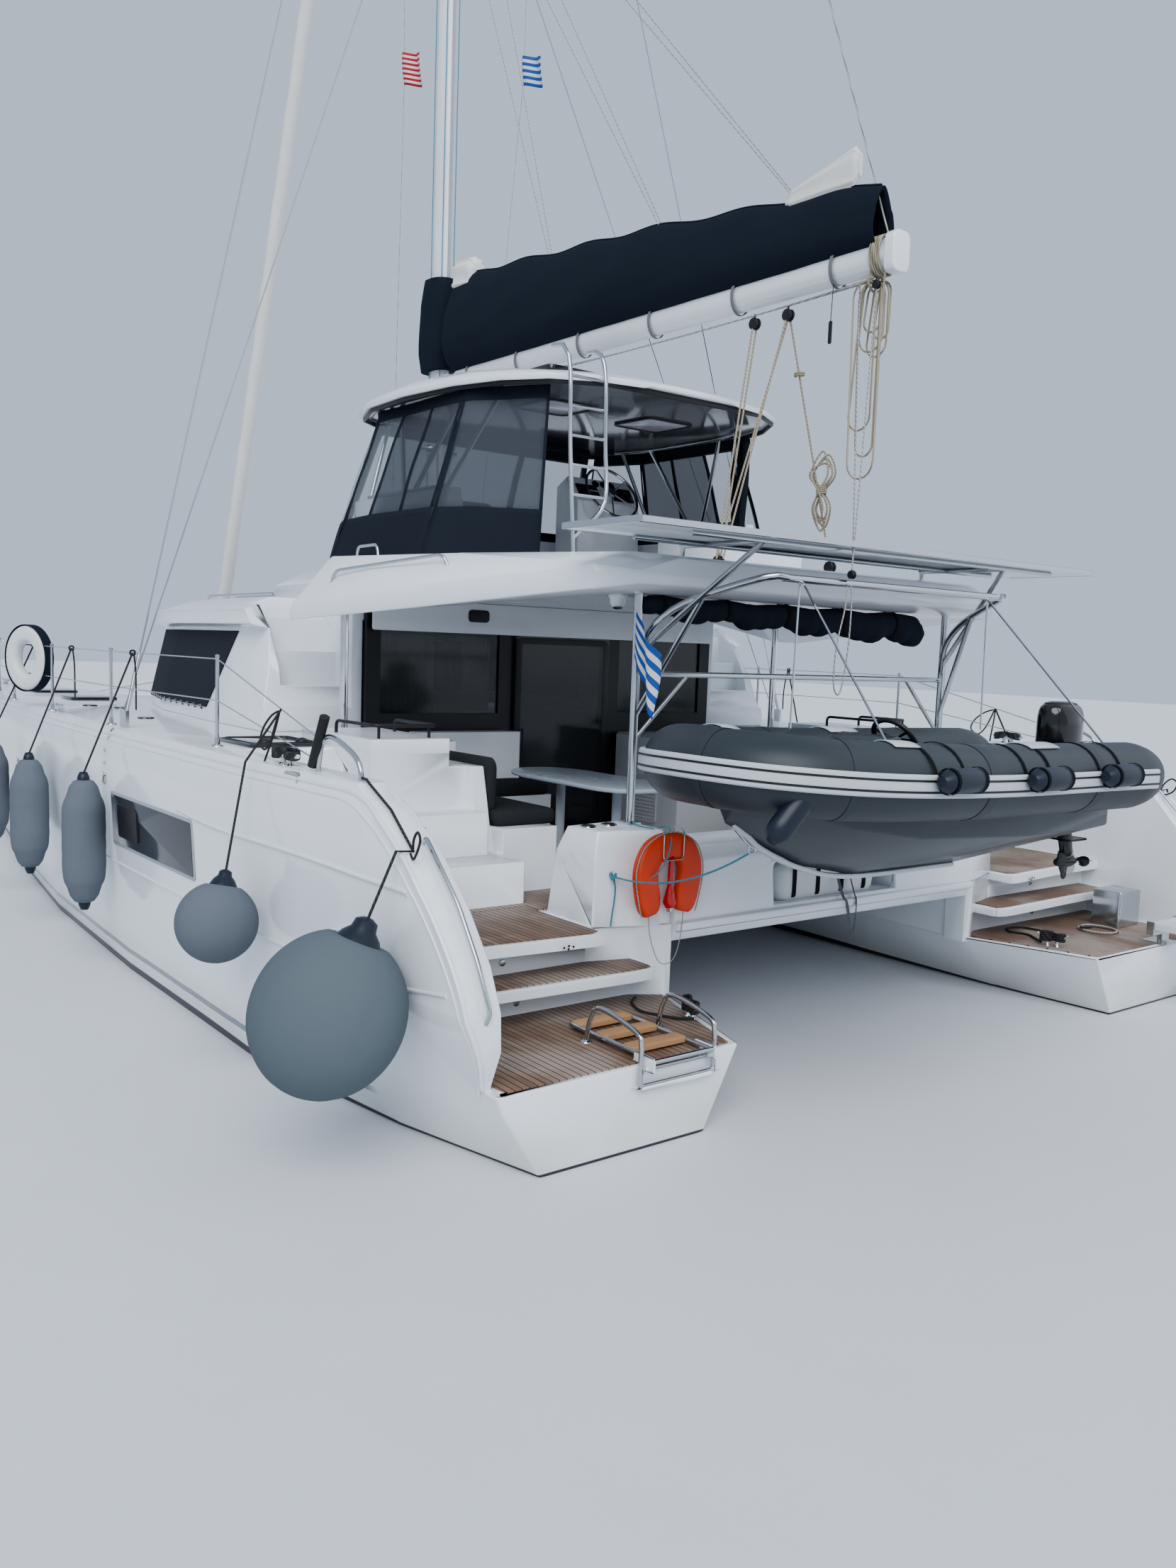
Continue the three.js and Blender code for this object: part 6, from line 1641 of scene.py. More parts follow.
@dataclass
class Rig:
    """Mast, boom, sail bag, headsail and the running lines."""

    mast_x: float = 6.9
    boom_z: float = 5.49
    bag_foot: float = 5.53
    straps: tuple[float, ...] = (1.3, 2.3, 3.3, 4.3, 5.3, 6.2)
    blocks: tuple[float, ...] = (2.13, 1.78)
    tack: Point = (13.4, 0, 2.35)
    hound: Point = (7.046, 0, 19.6)

    def build(self) -> None:
        """Makes the rig's parts."""
        dress("mast", SPAR, Edge.FINE, angle=50)
        dress("boom", SPAR, Edge.FINE, angle=50)
        for s in Side:
            dress(f"{s.word}_shrouds", STEEL_WITH_PAINTED_DARK_REFLECTION, angle=50)
        self.bag()
        self.sail()
        self.boom_gear()
        self.lines()
        self.headsail()
        self.mast_gear()

    def bag_rows(self, x: Array, grow: float = 0.0) -> Array:
        """Rings of the bag, whose top sags between the straps.

        y = 1.25 w sin(a) (0.72 - 0.28 cos(a)), z = foot + height (1 + cos(a)) / 2.

        Args:
            x: Where the rings stand.
            grow: How far they are larger than the bag.

        Returns:
            An array of rings x points x 3.
        """
        w, top = (np.interp(x, BAG[:, 0], BAG[:, k])[:, None] for k in (1, 2))
        near = np.min(np.abs(x[:, None] - np.array(self.straps)), axis=1)[:, None]
        top = top - 0.035 * np.sin(np.clip(near / 0.5, 0, 1) * np.pi / 2) ** 2
        a = np.linspace(0, 2 * np.pi, 52, endpoint=False)[None]
        y = (1.25 * w + grow) * np.sin(a) * (0.72 - 0.28 * np.cos(a))
        z = self.bag_foot - grow + (top + 2 * grow - self.bag_foot) * (1 + np.cos(a)) / 2
        rings = np.stack([np.broadcast_to(x[:, None], y.shape), y, z], -1)
        flat = rings.reshape(-1, 3)
        folds = ripple(flat, 0.03,
                       [(5.1, 0, 7.3, 0.3), (9.7, 0, -4.1, 1.1), (15.0, 0, 3.2, 2.2), (3.3, 0, 15.0, 0.9)])
        flat[:, 1] *= 1 + folds * 2.2
        flat[:, 1] += 0.012 * np.sin(2.3 * flat[:, 0]) * (flat[:, 2] > 5.8)
        return flat.reshape(rings.shape)

    def bag(self) -> None:
        """The navy bag along the boom, its welts, its collar round the mast and the open aft end."""
        x = np.concatenate([np.linspace(0.92, 6.5, 150), [6.56, 6.58]])
        rows = self.bag_rows(x)
        front = rows[-2:].mean(1, keepdims=True)
        rows[-2:] = front + (rows[-2:] - front) * np.array([0.9, 0.55])[:, None, None]
        mouth = self.bag_rows(np.array([1.16, 1.0, 0.93]), -0.03)
        mouth[:, :, 0] = np.array([1.16, 1.0, 0.93])[:, None]
        skin = grid(np.concatenate([mouth, rows]))
        made = piece("sail_bag_cover", skin, NAVY, "boom", stands_for=["sail_bag"], angle=80)
        ridge = self.bag_rows(np.linspace(0.95, 6.5, 80))[:, 0] + [0, 0, 0.004]
        piece("bag_zip", tube(ridge, 0.011, 8), NAVY, "boom")
        z = np.linspace(5.62, 6.56, 12)
        a = np.linspace(0, 2 * np.pi, 40, endpoint=False)
        wide = np.interp(z, [5.62, 5.8, 6.3, 6.56], [0.2, 0.225, 0.215, 0.17])[:, None]
        rows = np.stack([self.mast_x + 0.01 + (wide + 0.03) * np.cos(a),
                         (wide - 0.02) * np.sin(a) * (1 + 0.03 * np.sin(5 * a + 9 * z[:, None])),
                         np.broadcast_to(z[:, None], (12, 40))], -1)
        collar = piece("mast_collar", grid(rows), NAVY, angle=80)

    def sail(self) -> None:
        """White flakes of the stowed sail that stand out of the bag's ends."""
        for name, x0, x1, low, high, half in (("aft", 1.15, 1.85, 6.02, 6.31, 0.032),
                                              ("fore", 6.16, 6.56, 6.35, 6.66, 0.1)):
            x = np.linspace(x0, x1, 60)[:, None]
            a = np.linspace(0, 2 * np.pi, 44, endpoint=False)[None]
            ends = np.clip(np.minimum(x - x0, x1 - x) / 0.05, 0.3, 1) ** 0.5
            pleat = 1 + 0.16 * np.cos(9 * a + 5 * x) + 0.06 * np.sin(14 * x)
            y = half * ends * np.sin(a) * pleat
            top = high - (0.24 * (x - x0) if name == "aft" else 0)
            square = np.sign(np.cos(a)) * np.abs(np.cos(a)) ** 0.5
            z = (low + top) / 2 + (top - low) / 2 * ends * square * (1 + 0.03 * np.cos(7 * a + 9 * x))
            rows = np.stack([np.broadcast_to(x, y.shape), y, z], -1)
            piece(f"sail_{name}_flakes", grid(rows), SAIL, "boom", angle=80)

    def boom_gear(self) -> None:
        """Webbing round the boom and the bag's foot, an end cap, blocks, and rope along the boom."""
        loops = []
        for x in self.straps:
            loops.append(strap(circle(1, 28) * [0.098, 0.137] + np.array([0, self.boom_z]), x, 0.032, (1, 2)))
        piece("boom_straps", merge(loops), GREY_STRAP, "boom")
        cap = plate(round_rect(0.18, 0.28, 0.06), 0.0, 0.082, 0.015).turned(place(*AFT, (0.826, 0, self.boom_z)))
        piece("boom_cap", cap, SMOOTH_WHITE, "boom", Edge.FINE)
        gear = merge([pulley((x, 0, self.boom_z - 0.23)) for x in self.blocks]
                     + [pulley((0.9, 0.06, self.boom_z - 0.2), 0.03)])
        piece("boom_blocks", gear, BLACK, "boom")
        runs = [line((0.95, -0.03, 5.355), (6.3, -0.03, 5.355), 0.006, 0.03),
                line((0.95, 0.03, 5.35), (5.4, 0.03, 5.35), 0.005, 0.05)]
        piece("boom_lines", merge(runs), ROPE_WHITE, "boom")
        # The spare sheet is wound round the boom's end, and hangs from it in long loops held by a tie.
        turn = np.linspace(np.pi / 2, 2 * np.pi * 5.5, 85)
        wrap = np.column_stack([0.85 + 0.02 * turn / (2 * np.pi), 0.097 * np.cos(turn),
                                self.boom_z + 0.139 * np.sin(turn)])
        half = np.linspace(0, np.pi, 9)
        hanks = [[(0.965, -0.09, 5.4), (0.98, -0.08, 5.3)]]
        for i, (x0, foot, wide) in enumerate(((0.93, 4.95, 0.07), (0.95, 4.83, 0.09), (0.98, 5.0, 0.08),
                                              (0.97, 4.86, 0.11), (0.96, 4.14, 0.08), (1.0, 4.32, 0.1),
                                              (0.95, 3.98, 0.12))):
            y0 = -0.06 + 0.02 * i
            down = np.column_stack([x0 + wide * np.cos(half), y0 + 0.003 * half, foot + wide - wide * np.sin(half)])
            over = np.column_stack([x0 - wide * np.cos(half), y0 + 0.01 + 0.003 * half,
                                    5.335 - wide + wide * np.sin(half)])
            hanks += [down, over]
        route = np.vstack([wrap, *hanks[:-1], [(0.83, 0.07, 5.1), (0.83, 0.06, 5.36)]])
        coil = piece("boom_end_coil", tube(route, 0.007, 8), BEIGE_ROPE, "boom")
        band = [(0.96, 0.075 * math.cos(t), 5.335 + 0.075 * math.sin(t)) for t in np.linspace(0, 2 * math.pi, 25)]
        piece("boom_end_tie", tube(band, 0.009, 8), BEIGE_ROPE, "boom")
        tag = line((1.3, 0.05, 5.38), (1.3, 0.06, 5.12), 0.003) + facing(round_rect(0.03, 0.16, 0.01), 0.008, OUT,
                                                                         (1.3, 0.056, 5.04))
        piece("boom_tag", tag, BLACK, "boom")

    def lines(self) -> None:
        """Mainsheet, guys, topping lift and lazy jacks, which run between the boat and the boom."""
        run = ((2.13, -0.02, 2.03, 0.34), (2.13, 0.02, 2.03, 0.38), (1.78, 0.02, 1.98, 0.36), (1.78, 0.0, 2.01, 0.4),
               (1.78, -0.03, 1.62, -0.44))
        sheet_ = [line((bx, by, self.boom_z - 0.27), (dx, dy, 3.44), 0.0075, sides=8) for bx, by, dx, dy in run]
        # Its tail is made up in a hank on the starboard part, below a knot.
        for i, (wide, high, foot) in enumerate(((0.085, 4.27, 3.72), (0.07, 4.24, 3.78), (0.09, 4.2, 3.69),
                                                (0.06, 4.29, 3.75))):
            y0 = -0.355 + 0.02 * i
            corners = [(1.65, y0, 3.99), (1.65 - wide, y0 - 0.03, 4.12), (1.64, y0 - 0.02, high),
                       (1.65 + wide, y0 + 0.03, 4.12), (1.65, y0, 3.99), (1.64 - wide, y0 + 0.02, 3.86),
                       (1.65, y0 - 0.03, foot), (1.65 + wide, y0 - 0.02, 3.86), (1.65, y0, 3.99)]
            sheet_.append(tube(smooth(corners, 6), 0.0075, 8))
        for x, y, z, turns in ((1.65, -0.33, 3.97, 4), (1.745, -0.12, 4.83, 2)):
            t = np.linspace(0, 2 * np.pi * turns, 16 * turns)
            sheet_.append(tube(np.column_stack([x + 0.035 * np.cos(t), y + 0.035 * np.sin(t), z + 0.014 * t / 6.28]),
                               0.0075, 8))
        made = piece("mainsheet", merge(sheet_), BEIGE_ROPE, "")
        gear = merge([pulley((x, side, 3.42)) for x, side in ((2.03, 0.36), (1.62, -0.44))])
        piece("mainsheet_deck_blocks", gear, BLACK)
        guy = [line((1.1, 0.0, 5.36), (0.53, 0.565, 3.3), 0.005, 0.02),
               line((0.93, 0.02, 5.36), (0.525, 0.575, 3.3), 0.005, 0.06)]
        guys = piece("boom_guys", merge(guy), ROPE_WHITE, "")
        piece("guy_block", pulley((0.53, 0.57, 3.27), 0.028), BLACK)
        hang([(0.535, 0.565, 3.2), (0.525, 0.56, 3.08), (0.51, 0.585, 2.8), (0.505, 0.63, 2.55), (0.5, 0.675, 2.48),
              (0.502, 0.72, 2.56), (0.51, 0.7, 2.8), (0.525, 0.62, 3.05), (0.535, 0.6, 3.19)], "guy_tail", ROPE_WHITE,
             0.01)
        lift = piece("topping_lift", line((0.86, 0, 5.6), (6.66, 0, 20.93), 0.006), ROPE_WHITE, "")
        jacks = []
        for x, top in ((1.75, 6.08), (3.3, 6.26), (4.9, 6.4)):
            joint = np.array([0.45 * x + 0.55 * 6.85, 0.12, 0.45 * top + 0.55 * 11.4])
            for sign in (1, -1):
                jacks.append(line((x, 0.02 * sign, top), joint * [1, sign, 1], WIRE))
                jacks.append(line(joint * [1, sign, 1], (6.86, 0.1 * sign, 11.6), WIRE))
        lazy = piece("lazy_jacks", merge(jacks), ROPE_WHITE, "")
        for made, start, end in ((made, (1.95, 0, 3.5), (1.95, 0, 5.2)), (lift, (6.66, 0, 20.9), (0.86, 0, 5.65)),
                                 (guys, (0.53, 0.57, 3.35), (1.0, 0.0, 5.3)), (lazy, (6.85, 0, 11.4), (3.3, 0, 6.5))):
            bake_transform(made)
            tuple(start)
            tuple(end)

    def headsail(self) -> None:
        """The rolled sail: its radius follows the sail's cut, with a ridge where the leech winds round."""
        t = np.linspace(0.022, 0.94, 260)[:, None]
        a = np.linspace(0, 2 * np.pi, 30, endpoint=False)[None]
        base = np.interp(t, [0.022, 0.035, 0.06, 0.5, 0.94], [0.03, 0.06, 0.085, 0.075, 0.03])
        radius = base * (1 + 0.13 * ((a / (2 * np.pi) + 17 * t) % 1.0) + 0.015 * np.sin(60 * t + a))
        start, end = np.asarray(self.tack, float), np.asarray(self.hound, float)
        path = start + (end - start) * t
        side, up = frames(path)
        points = path[:, None] + radius[...,
                                        None] * (np.cos(a)[..., None] * side[:, None]
                                                 + np.sin(a)[..., None] * up[:, None])
        piece("furled_genoa", grid(points), SAIL, stands_for=["furled_headsail"], angle=70)
        stay = tube([start, end], 0.008, 8)
        at = lambda share: start + (end - start) * share
        drum = tube([at(0.005), at(0.0052), at(0.019), at(0.0192)], np.array([0.05, 0.11, 0.11, 0.05]), 28)
        piece("forestay", stay, STEEL_WITH_PAINTED_DARK_REFLECTION)
        piece("furler_drum", drum, BLACK)

    def mast_gear(self) -> None:
        """Track on the mast's aft face, halyards, winches, and two small flags below the spreaders."""
        x, z = self.mast_x, np.linspace(5.75, 18.4, 2)
        piece("mast_track",
              sweep(np.column_stack([np.full(2, x - 0.156), np.zeros(2), z]), round_rect(0.02, 0.03, 0.004, 2)),
              GREY_LINING)
        runs = [line((x + dx, dy, 3.5), (x + dx, dy, 19.0), 0.0055)
                for dx, dy in ((-0.13, 0.07), (-0.12, -0.08), (0.05, 0.093), (0.1, -0.09))]
        piece("halyards", merge(runs), ROPE_BLUE)
        drum = [(0, 0), (0.06, 0), (0.058, 0.02), (0.04, 0.04), (0.036, 0.09), (0.05, 0.12), (0.05, 0.135), (0, 0.14)]
        winches = [lathe(drum, 26, (0, 0, 0)).turned(place((1, 0, 0), (0, 0, -1), (0, 1, 0), (x, 0.083, zz)))
                   for zz in (4.3, 4.8)]
        piece("mast_winches", both(merge(winches)), CHROME)
        hoists = []
        for name, px, y, high in (("port_flag", 6.3, 0.8, 8.42), ("starboard_flag", 6.45, -0.7, 8.9)):
            hoists.append(tube([(px + 0.1, y * 1.06, 12.0), (px + 0.02, y, high - 0.15), (px + 0.5, 0.75 * y, 3.1)],
                               0.003, 8))
            u, v = np.meshgrid(np.linspace(0, 1, 16), np.linspace(0, 1, 12), indexing="ij")
            points = np.stack([px + 0.02 - 0.34 * u, y + 0.03 * np.sin(6 * u + 2 * v),
                               high - 0.3 * (1 - v) - 0.12 * u], -1)
            skin = grid(points, wrap=False)
            cloth(piece(name, skin, RED_BUNTING if y > 0 else ENSIGN, angle=80), skin, 0.3, 0.0012)
        piece("flag_halyards", merge(hoists), ROPE_WHITE)


# Davits and tender


@dataclass
class Davits:
    """Davit tubes, the solar panel and the ensign."""

    panel: tuple[float, float, float, float] = (0.55, 1.3, 2.37, 3.49)

    def build(self) -> None:
        """Makes the davits' parts."""
        dress("davit_frame", STEEL_WITH_PAINTED_DARK_REFLECTION, angle=50)
        dress("solar_panel", SOLAR)
        x0, x1, half, top = self.panel
        outline = round_rect(x1 - x0 + 0.012, 2 * half + 0.012, 0.012, 3)
        edge_ = strap(outline + np.array([(x0 + x1) / 2, 0]), top - 0.019, 0.042, (0, 1), 0.008)
        piece("panel_edge", edge_, STEEL_WITH_PAINTED_DARK_REFLECTION)
        under = facing(round_rect(x1 - x0 - 0.02, 2 * half - 0.02, 0.01), 0.003, DOWN, ((x0 + x1) / 2, 0, 3.4545))
        piece("panel_underside", under, SMOOTH_WHITE)
        u, v = np.meshgrid(np.linspace(0, 1, 30), np.linspace(0, 1, 18), indexing="ij")
        wave = 0.045 * np.sin(9 * u + 2.5 * v) * u
        points = np.stack([1.38 - 0.27 * u, 1.69 + wave + 0.04 * u,
                           2.98 - 0.3 * (1 - v) - 0.36 * u * (1.1 - 0.3 * v)], -1)
        skin = grid(points, wrap=False)
        cloth(piece("ensign", skin, ENSIGN, angle=80), skin, 0.3, 0.0012)


@dataclass
class Tender:
    """The inflatable in the davits: tubes, hull, console and motor."""

    x: float = -0.12
    stern: float = -0.9
    bow: float = 2.6
    tube: float = 0.215
    rail: float = 2.05
    half: float = 0.64

    def centre(self) -> Array:
        """The tube's centreline: down the forward side, round the bow and back, tapering at its two ends.

        Returns:
            The centreline's points.
        """
        x, r, z = self.x, self.tube, self.rail
        near = [(x + self.half, self.stern - 0.12, z - 0.02), (x + self.half, -0.2, z - 0.01),
                (x + self.half, 0.9, z), (x + 0.59, 1.7, z + 0.025), (x + 0.41, 2.22, z + 0.055)]
        away = [(2 * x - a, b, c) for a, b, c in near[::-1]]
        return smooth([*near, (x, self.bow - r, z + 0.07), *away], 12)

    def build(self) -> None:
        """Makes the tender's parts."""
        # The tender's hull and console carry painted shade in their dark grey.
        dress("tender_hull", TENDER_HULL_GREY_WITH_PAINTED_SHADE, Edge.SOFT)
        dress("tender_console", TENDER_HULL_GREY_WITH_PAINTED_SHADE, Edge.SOFT)
        dress("tender_motor_bracket", BLACK)
        dress("tender_motor", BLACK, Edge.SOFT)
        dress("tender_propeller", STEEL_WITH_PAINTED_DARK_REFLECTION)
        self.tubes()
        self.fittings()

    def tubes(self) -> None:
        """Tubes of coated fabric with seams, a broad rub rail with dark lines and pale pads."""
        path = self.centre()
        n = len(path)
        size = np.full(n, self.tube)
        ends = np.array([0.35, 0.62, 0.8, 0.9, 0.96])
        size[:5] = self.tube * ends
        size[-5:] = self.tube * ends[::-1]
        body = sweep(path, circle(1.0, 32), size)
        # The tube's colour is its own dark slate with painted shade over it.
        piece("tender_tube", body, TUBE_GREY_WITH_PAINTED_SHADE, stands_for=["tender_tubes"], angle=70)
        inner = path[5:-5]
        rail = round_rect(0.034, 0.125, 0.014, 4) + np.array([self.tube + 0.008, 0.0])
        piece("tender_rub_rail", sweep(inner, rail), RUB_GREY)
        lines = merge([sweep(inner, round_rect(0.006, 0.012, 0.002, 2) + np.array([self.tube + 0.026, dz]))
                       for dz in (-0.03, 0.03)])
        piece("tender_rail_lines", lines, BLACK)
        seams = merge([sweep(path[i:i + 2], circle(self.tube + 0.0025, 32), caps=False)
                       for i in (14, 30, 46, 62, 78, 94, 106)])
        piece("tender_seams", seams, SEAM_GREY)
        a = np.radians(np.linspace(62, 118, 8))
        pads = []
        side, up = frames(path)
        for i in (20, 36, 84, 100):
            rows = [path[j] + (self.tube + 0.004) * (np.cos(a)[:, None] * side[j] - np.sin(a)[:, None] * up[j])
                    for j in range(i, i + 4)]
            pads.append(grid(np.stack(rows), wrap=False))
        made = piece("tender_pads", merge(pads), RUB_GREY)
        wall = made.modifiers.new("wall", "SOLIDIFY")
        wall.thickness = 0.006

    def fittings(self) -> None:
        """Small fenders on straps, the keel guard, the bow box, bow eye, wheel, cowl and the blue painter."""
        profile = [(0, -0.19), (0.03, -0.185), (0.062, -0.14), (0.068, -0.1), (0.068, 0.1), (0.062, 0.14),
                   (0.03, 0.185), (0, 0.19)]
        path = self.centre()
        far = path[len(path) // 2:]
        along = ((1, 0, 0), (0, 0, -1), (0, 1, 0))
        fenders, bands = [], []
        for y in (1.41, 0.62, -0.15):
            k = int(np.argmin(np.abs(far[:, 1] - y)))
            x, _, z = far[k]
            fenders.append(lathe(profile, 20).turned(place(*along, (x - self.tube - 0.074, y, z + 0.04))))
            for dy in (-0.12, 0.12):
                a = np.radians(np.linspace(196, 40, 22))
                arc = np.column_stack([x + (self.tube + 0.004) * np.cos(a), np.full(22, y + dy),
                                       z + (self.tube + 0.004) * np.sin(a)])
                bands.append(sweep(arc, round_rect(0.022, 0.004, 0.0015, 2)))
                hoop = circle(0.071, 20) + np.array([x - self.tube - 0.074, z + 0.04])
                bands.append(strap(hoop, y + dy, 0.022, (0, 2), 0.003))
        low = place((0.75, 0.45, 0.3), (0.45, -0.6, -0.66), (0.1, 0.63, -0.72), (-0.66, 2.3, 1.93))
        fenders.append(lathe(profile, 20).turned(low))
        piece("tender_fenders", merge(fenders), RUBBER)
        piece("tender_fender_straps", merge(bands), BLACK_STRAP)
        guard = smooth([(self.x, 2.2, 1.8), (self.x, 2.08, 1.72), (self.x, 1.96, 1.64), (self.x, 1.65, 1.512),
                        (self.x, 1.2, 1.424), (self.x, 0.2, 1.419)], 8)
        piece("tender_keel_guard", sweep(guard, round_rect(0.06, 0.03, 0.012, 3)), RUB_GREY)
        bracket = tube([(self.x, 2.16, 1.76), (self.x, 2.05, 1.665), (self.x, 1.99, 1.64)], 0.009, 8)
        piece("tender_bow_eye", bracket + ring((self.x, 2.03, 1.645), 0.026, 0.006, axis=0), STEEL_WITH_PAINTED_DARK_REFLECTION)
        box = plate(round_rect(0.44, 0.34, 0.08) + np.array([self.x, 1.93]), 1.95, 2.28, 0.03)
        piece("tender_bow_box", box, SMOOTH_WHITE, edge=Edge.SOFT)
        spokes = [line((0, 0, 0), (0.15 * math.cos(k), 0.15 * math.sin(k), 0), 0.009, sides=8)
                  for k in (0.52, 2.62, 4.71)]
        rim = merge([ring((0, 0, 0), 0.15, 0.0165, axis=2, sides=12), *spokes])
        piece("tender_wheel_rim",
              rim.turned(place((1, 0, 0), (0, 0.605, 0.796), (0, -0.796, 0.605), (self.x, 0.84, 2.24))), BLACK)
        rows = ((0.86, 2.142, 0), (0.99, 2.17, 0), (1.0, 2.26, 0), (0.99, 2.37, 0), (0.86, 2.44, 0.005),
                (0.5, 2.478, 0.01))
        oval = circle(1, 28) * [0.133, 0.205]
        cowl = loft([np.column_stack([self.x + k * oval[:, 0], -0.96 + k * oval[:, 1] + dy, np.full(28, z)])
                     for k, z, dy in rows], 3)
        piece("motor_cowl", cowl, GLOSS_BLACK, "tender_motor")
        # The painter runs from the locker's eye to the eye at the tender's bow.
        start, end = np.array([1.095, 2.04, 1.285]), np.array([self.x + 0.005, 2.03, 1.625])
        t = np.linspace(0, 1, 9)[:, None]
        route = start + (end - start) * t - [0, 0, 0.1] * (4 * t * (1 - t))
        hang(route.tolist(), "tender_painter", ROPE_BLUE, 0.012)


# Rails, fenders, foredeck and gangway

RAIL_FEET = ((3.474, 3.725), (5.65, 3.81), (7.6, 3.79), (9.5, 3.71), (11.3, 3.48))
LONG_FENDERS = ((5.2, 1.05), (6.95, 1.05), (8.5, 1.08))


@dataclass
class Guardrail:
    """Stanchions, lifelines, pulpit and the fenders along one side."""

    side: Side
    deck: float = 1.95
    top: float = 0.62
    middle: float = 0.32
    fender_y: float = 4.16
    fender: tuple[float, float] = (0.165, 0.56)
    small_ball: tuple[float, float, float, float] = (2.15, 4.225, 1.01, 0.245)
    large_ball: tuple[float, float, float, float] = (0.6, 4.237, 0.855, 0.395)
    small_tie: tuple[Point, ...] = ((2.28, 4.0, 1.96), (2.3, 3.761, 2.281))
    large_tie: tuple[Point, ...] = (
        (0.565, 3.89, 1.662), (0.565, 3.79, 1.654), (0.82, 3.785, 1.838), (1.08, 3.78, 1.95), (1.112, 3.779, 1.967),
        (1.2, 3.767, 1.968),
    )

    def put(self, name: str, skin: Skin, finish: Finish, nodes: Sequence[str] = ()) -> bpy.types.Object:
        """Adds a piece drawn for port, on this side."""
        return piece(f"{self.side.word}_{name}", skin.on(self.side), finish, stands_for=nodes, angle=60)

    def build(self) -> None:
        """Makes this side's rail and fenders."""
        self.steel()
        self.long_fenders()
        self.balls()

    def steel(self) -> None:
        """Stanchions in their feet, two wires, the pulpit and the quarter's hoop."""
        high, low = self.deck + self.top, self.deck + self.middle
        parts = []
        for x, y in RAIL_FEET:
            parts.append(tube([(x, y, self.deck - 0.01), (x, y, high)], STANCHION, 12))
            parts.append(lathe([(0, 0), (0.042, 0), (0.04, 0.008), (0.02, 0.014), (0.018, 0.06), (0, 0.06)], 18,
                               (x, y, self.deck)))
            parts.append(lathe([(0, 0), (0.017, 0), (0.015, 0.018), (0, 0.022)], 12, (x, y, high)))
        for z, end in ((high - 0.01, (1.665, 3.78, 2.13)), (low, (1.712, 3.78, 2.01))):
            run = [end] + [(x, y, z) for x, y in RAIL_FEET]
            parts.append(tube(run, WIRE, 8))
        last = RAIL_FEET[-1]
        pulpit = smooth([(last[0], last[1], high - 0.014), (12.5, 3.26, high), (13.65, 3.01, high),
                         (13.7, 2.9, high - 0.06), (13.5, 2.78, 2.0)], 8)
        parts += [tube(pulpit, 0.0145, 12), line((12.5, 3.22, 1.98), (12.5, 3.255, high), STANCHION, sides=12),
                  line((13.55, 3.0, 2.02), (13.6, 3.005, high), STANCHION, sides=12)]
        parts.append(line((last[0], last[1], low), (12.5, 3.24, low + 0.02), WIRE, sides=8))
        hoop = smooth([(1.72, 3.78, 1.946), (1.712, 3.78, 2.01), (1.665, 3.78, 2.13), (1.54, 3.778, 2.165),
                       (1.3, 3.77, 2.09), (1.215, 3.768, 2.02), (1.2, 3.767, 1.946)], 8)
        parts.append(tube(hoop, 0.0155, 14))
        self.put("rail_steel", merge(parts), STEEL_WITH_PAINTED_DARK_REFLECTION, [f"{self.side.word}_guardrail"])
        holder = tube([(1.76, 3.8, 1.98), (1.6, 3.8, 2.28), (1.597, 3.8, 2.285)], np.array([0.03, 0.03, 0.02]), 20)
        self.put("tube_holder", holder, BLACK)
        if self.side is Side.PORT:
            self.ring_case()

    def ring_case(self) -> None:
        """A life ring in its soft cover, tied to the wires and turned a little aft."""
        pose = place((0.937, 0.35, 0), (0, 0, 1), (0.35, -0.937, 0), (8.25, 3.845, 2.43))
        a = np.linspace(0, 2 * np.pi, 49)
        loop = lambda radius: np.column_stack([radius * np.cos(a), radius * np.sin(a), np.zeros(49)])
        body = sweep(loop(0.245), round_rect(0.12, 0.165, 0.05), caps=False).turned(pose)
        piece("ring_case_cover", body, VALISE, angle=70)
        piece("ring_case_band", sweep(loop(0.331), round_rect(0.1, 0.006, 0.002, 2), caps=False).turned(pose), NAVY)
        ties = [line((8.25 + dx, 3.845, z), (8.25 + dx, 3.78, z), 0.006) for dx in (-0.12, 0.14)
                for z in (2.27, 2.56)]
        piece("ring_case_ties", merge(ties), ROPE_BLACK)

    def tail(self, name: str, points: Sequence[Point]) -> None:
        """A black line's loose end or bight, drawn for port, on this side."""
        sign = self.side.value
        hang([(x, sign * y, z) for x, y, z in points], f"{self.side.word}_{name}", ROPE_BLACK, 0.014)

    def rail_y(self, x: float) -> float:
        """The rail's y at a place along the boat."""
        return float(np.interp(x, [p[0] for p in RAIL_FEET], [p[1] for p in RAIL_FEET]))

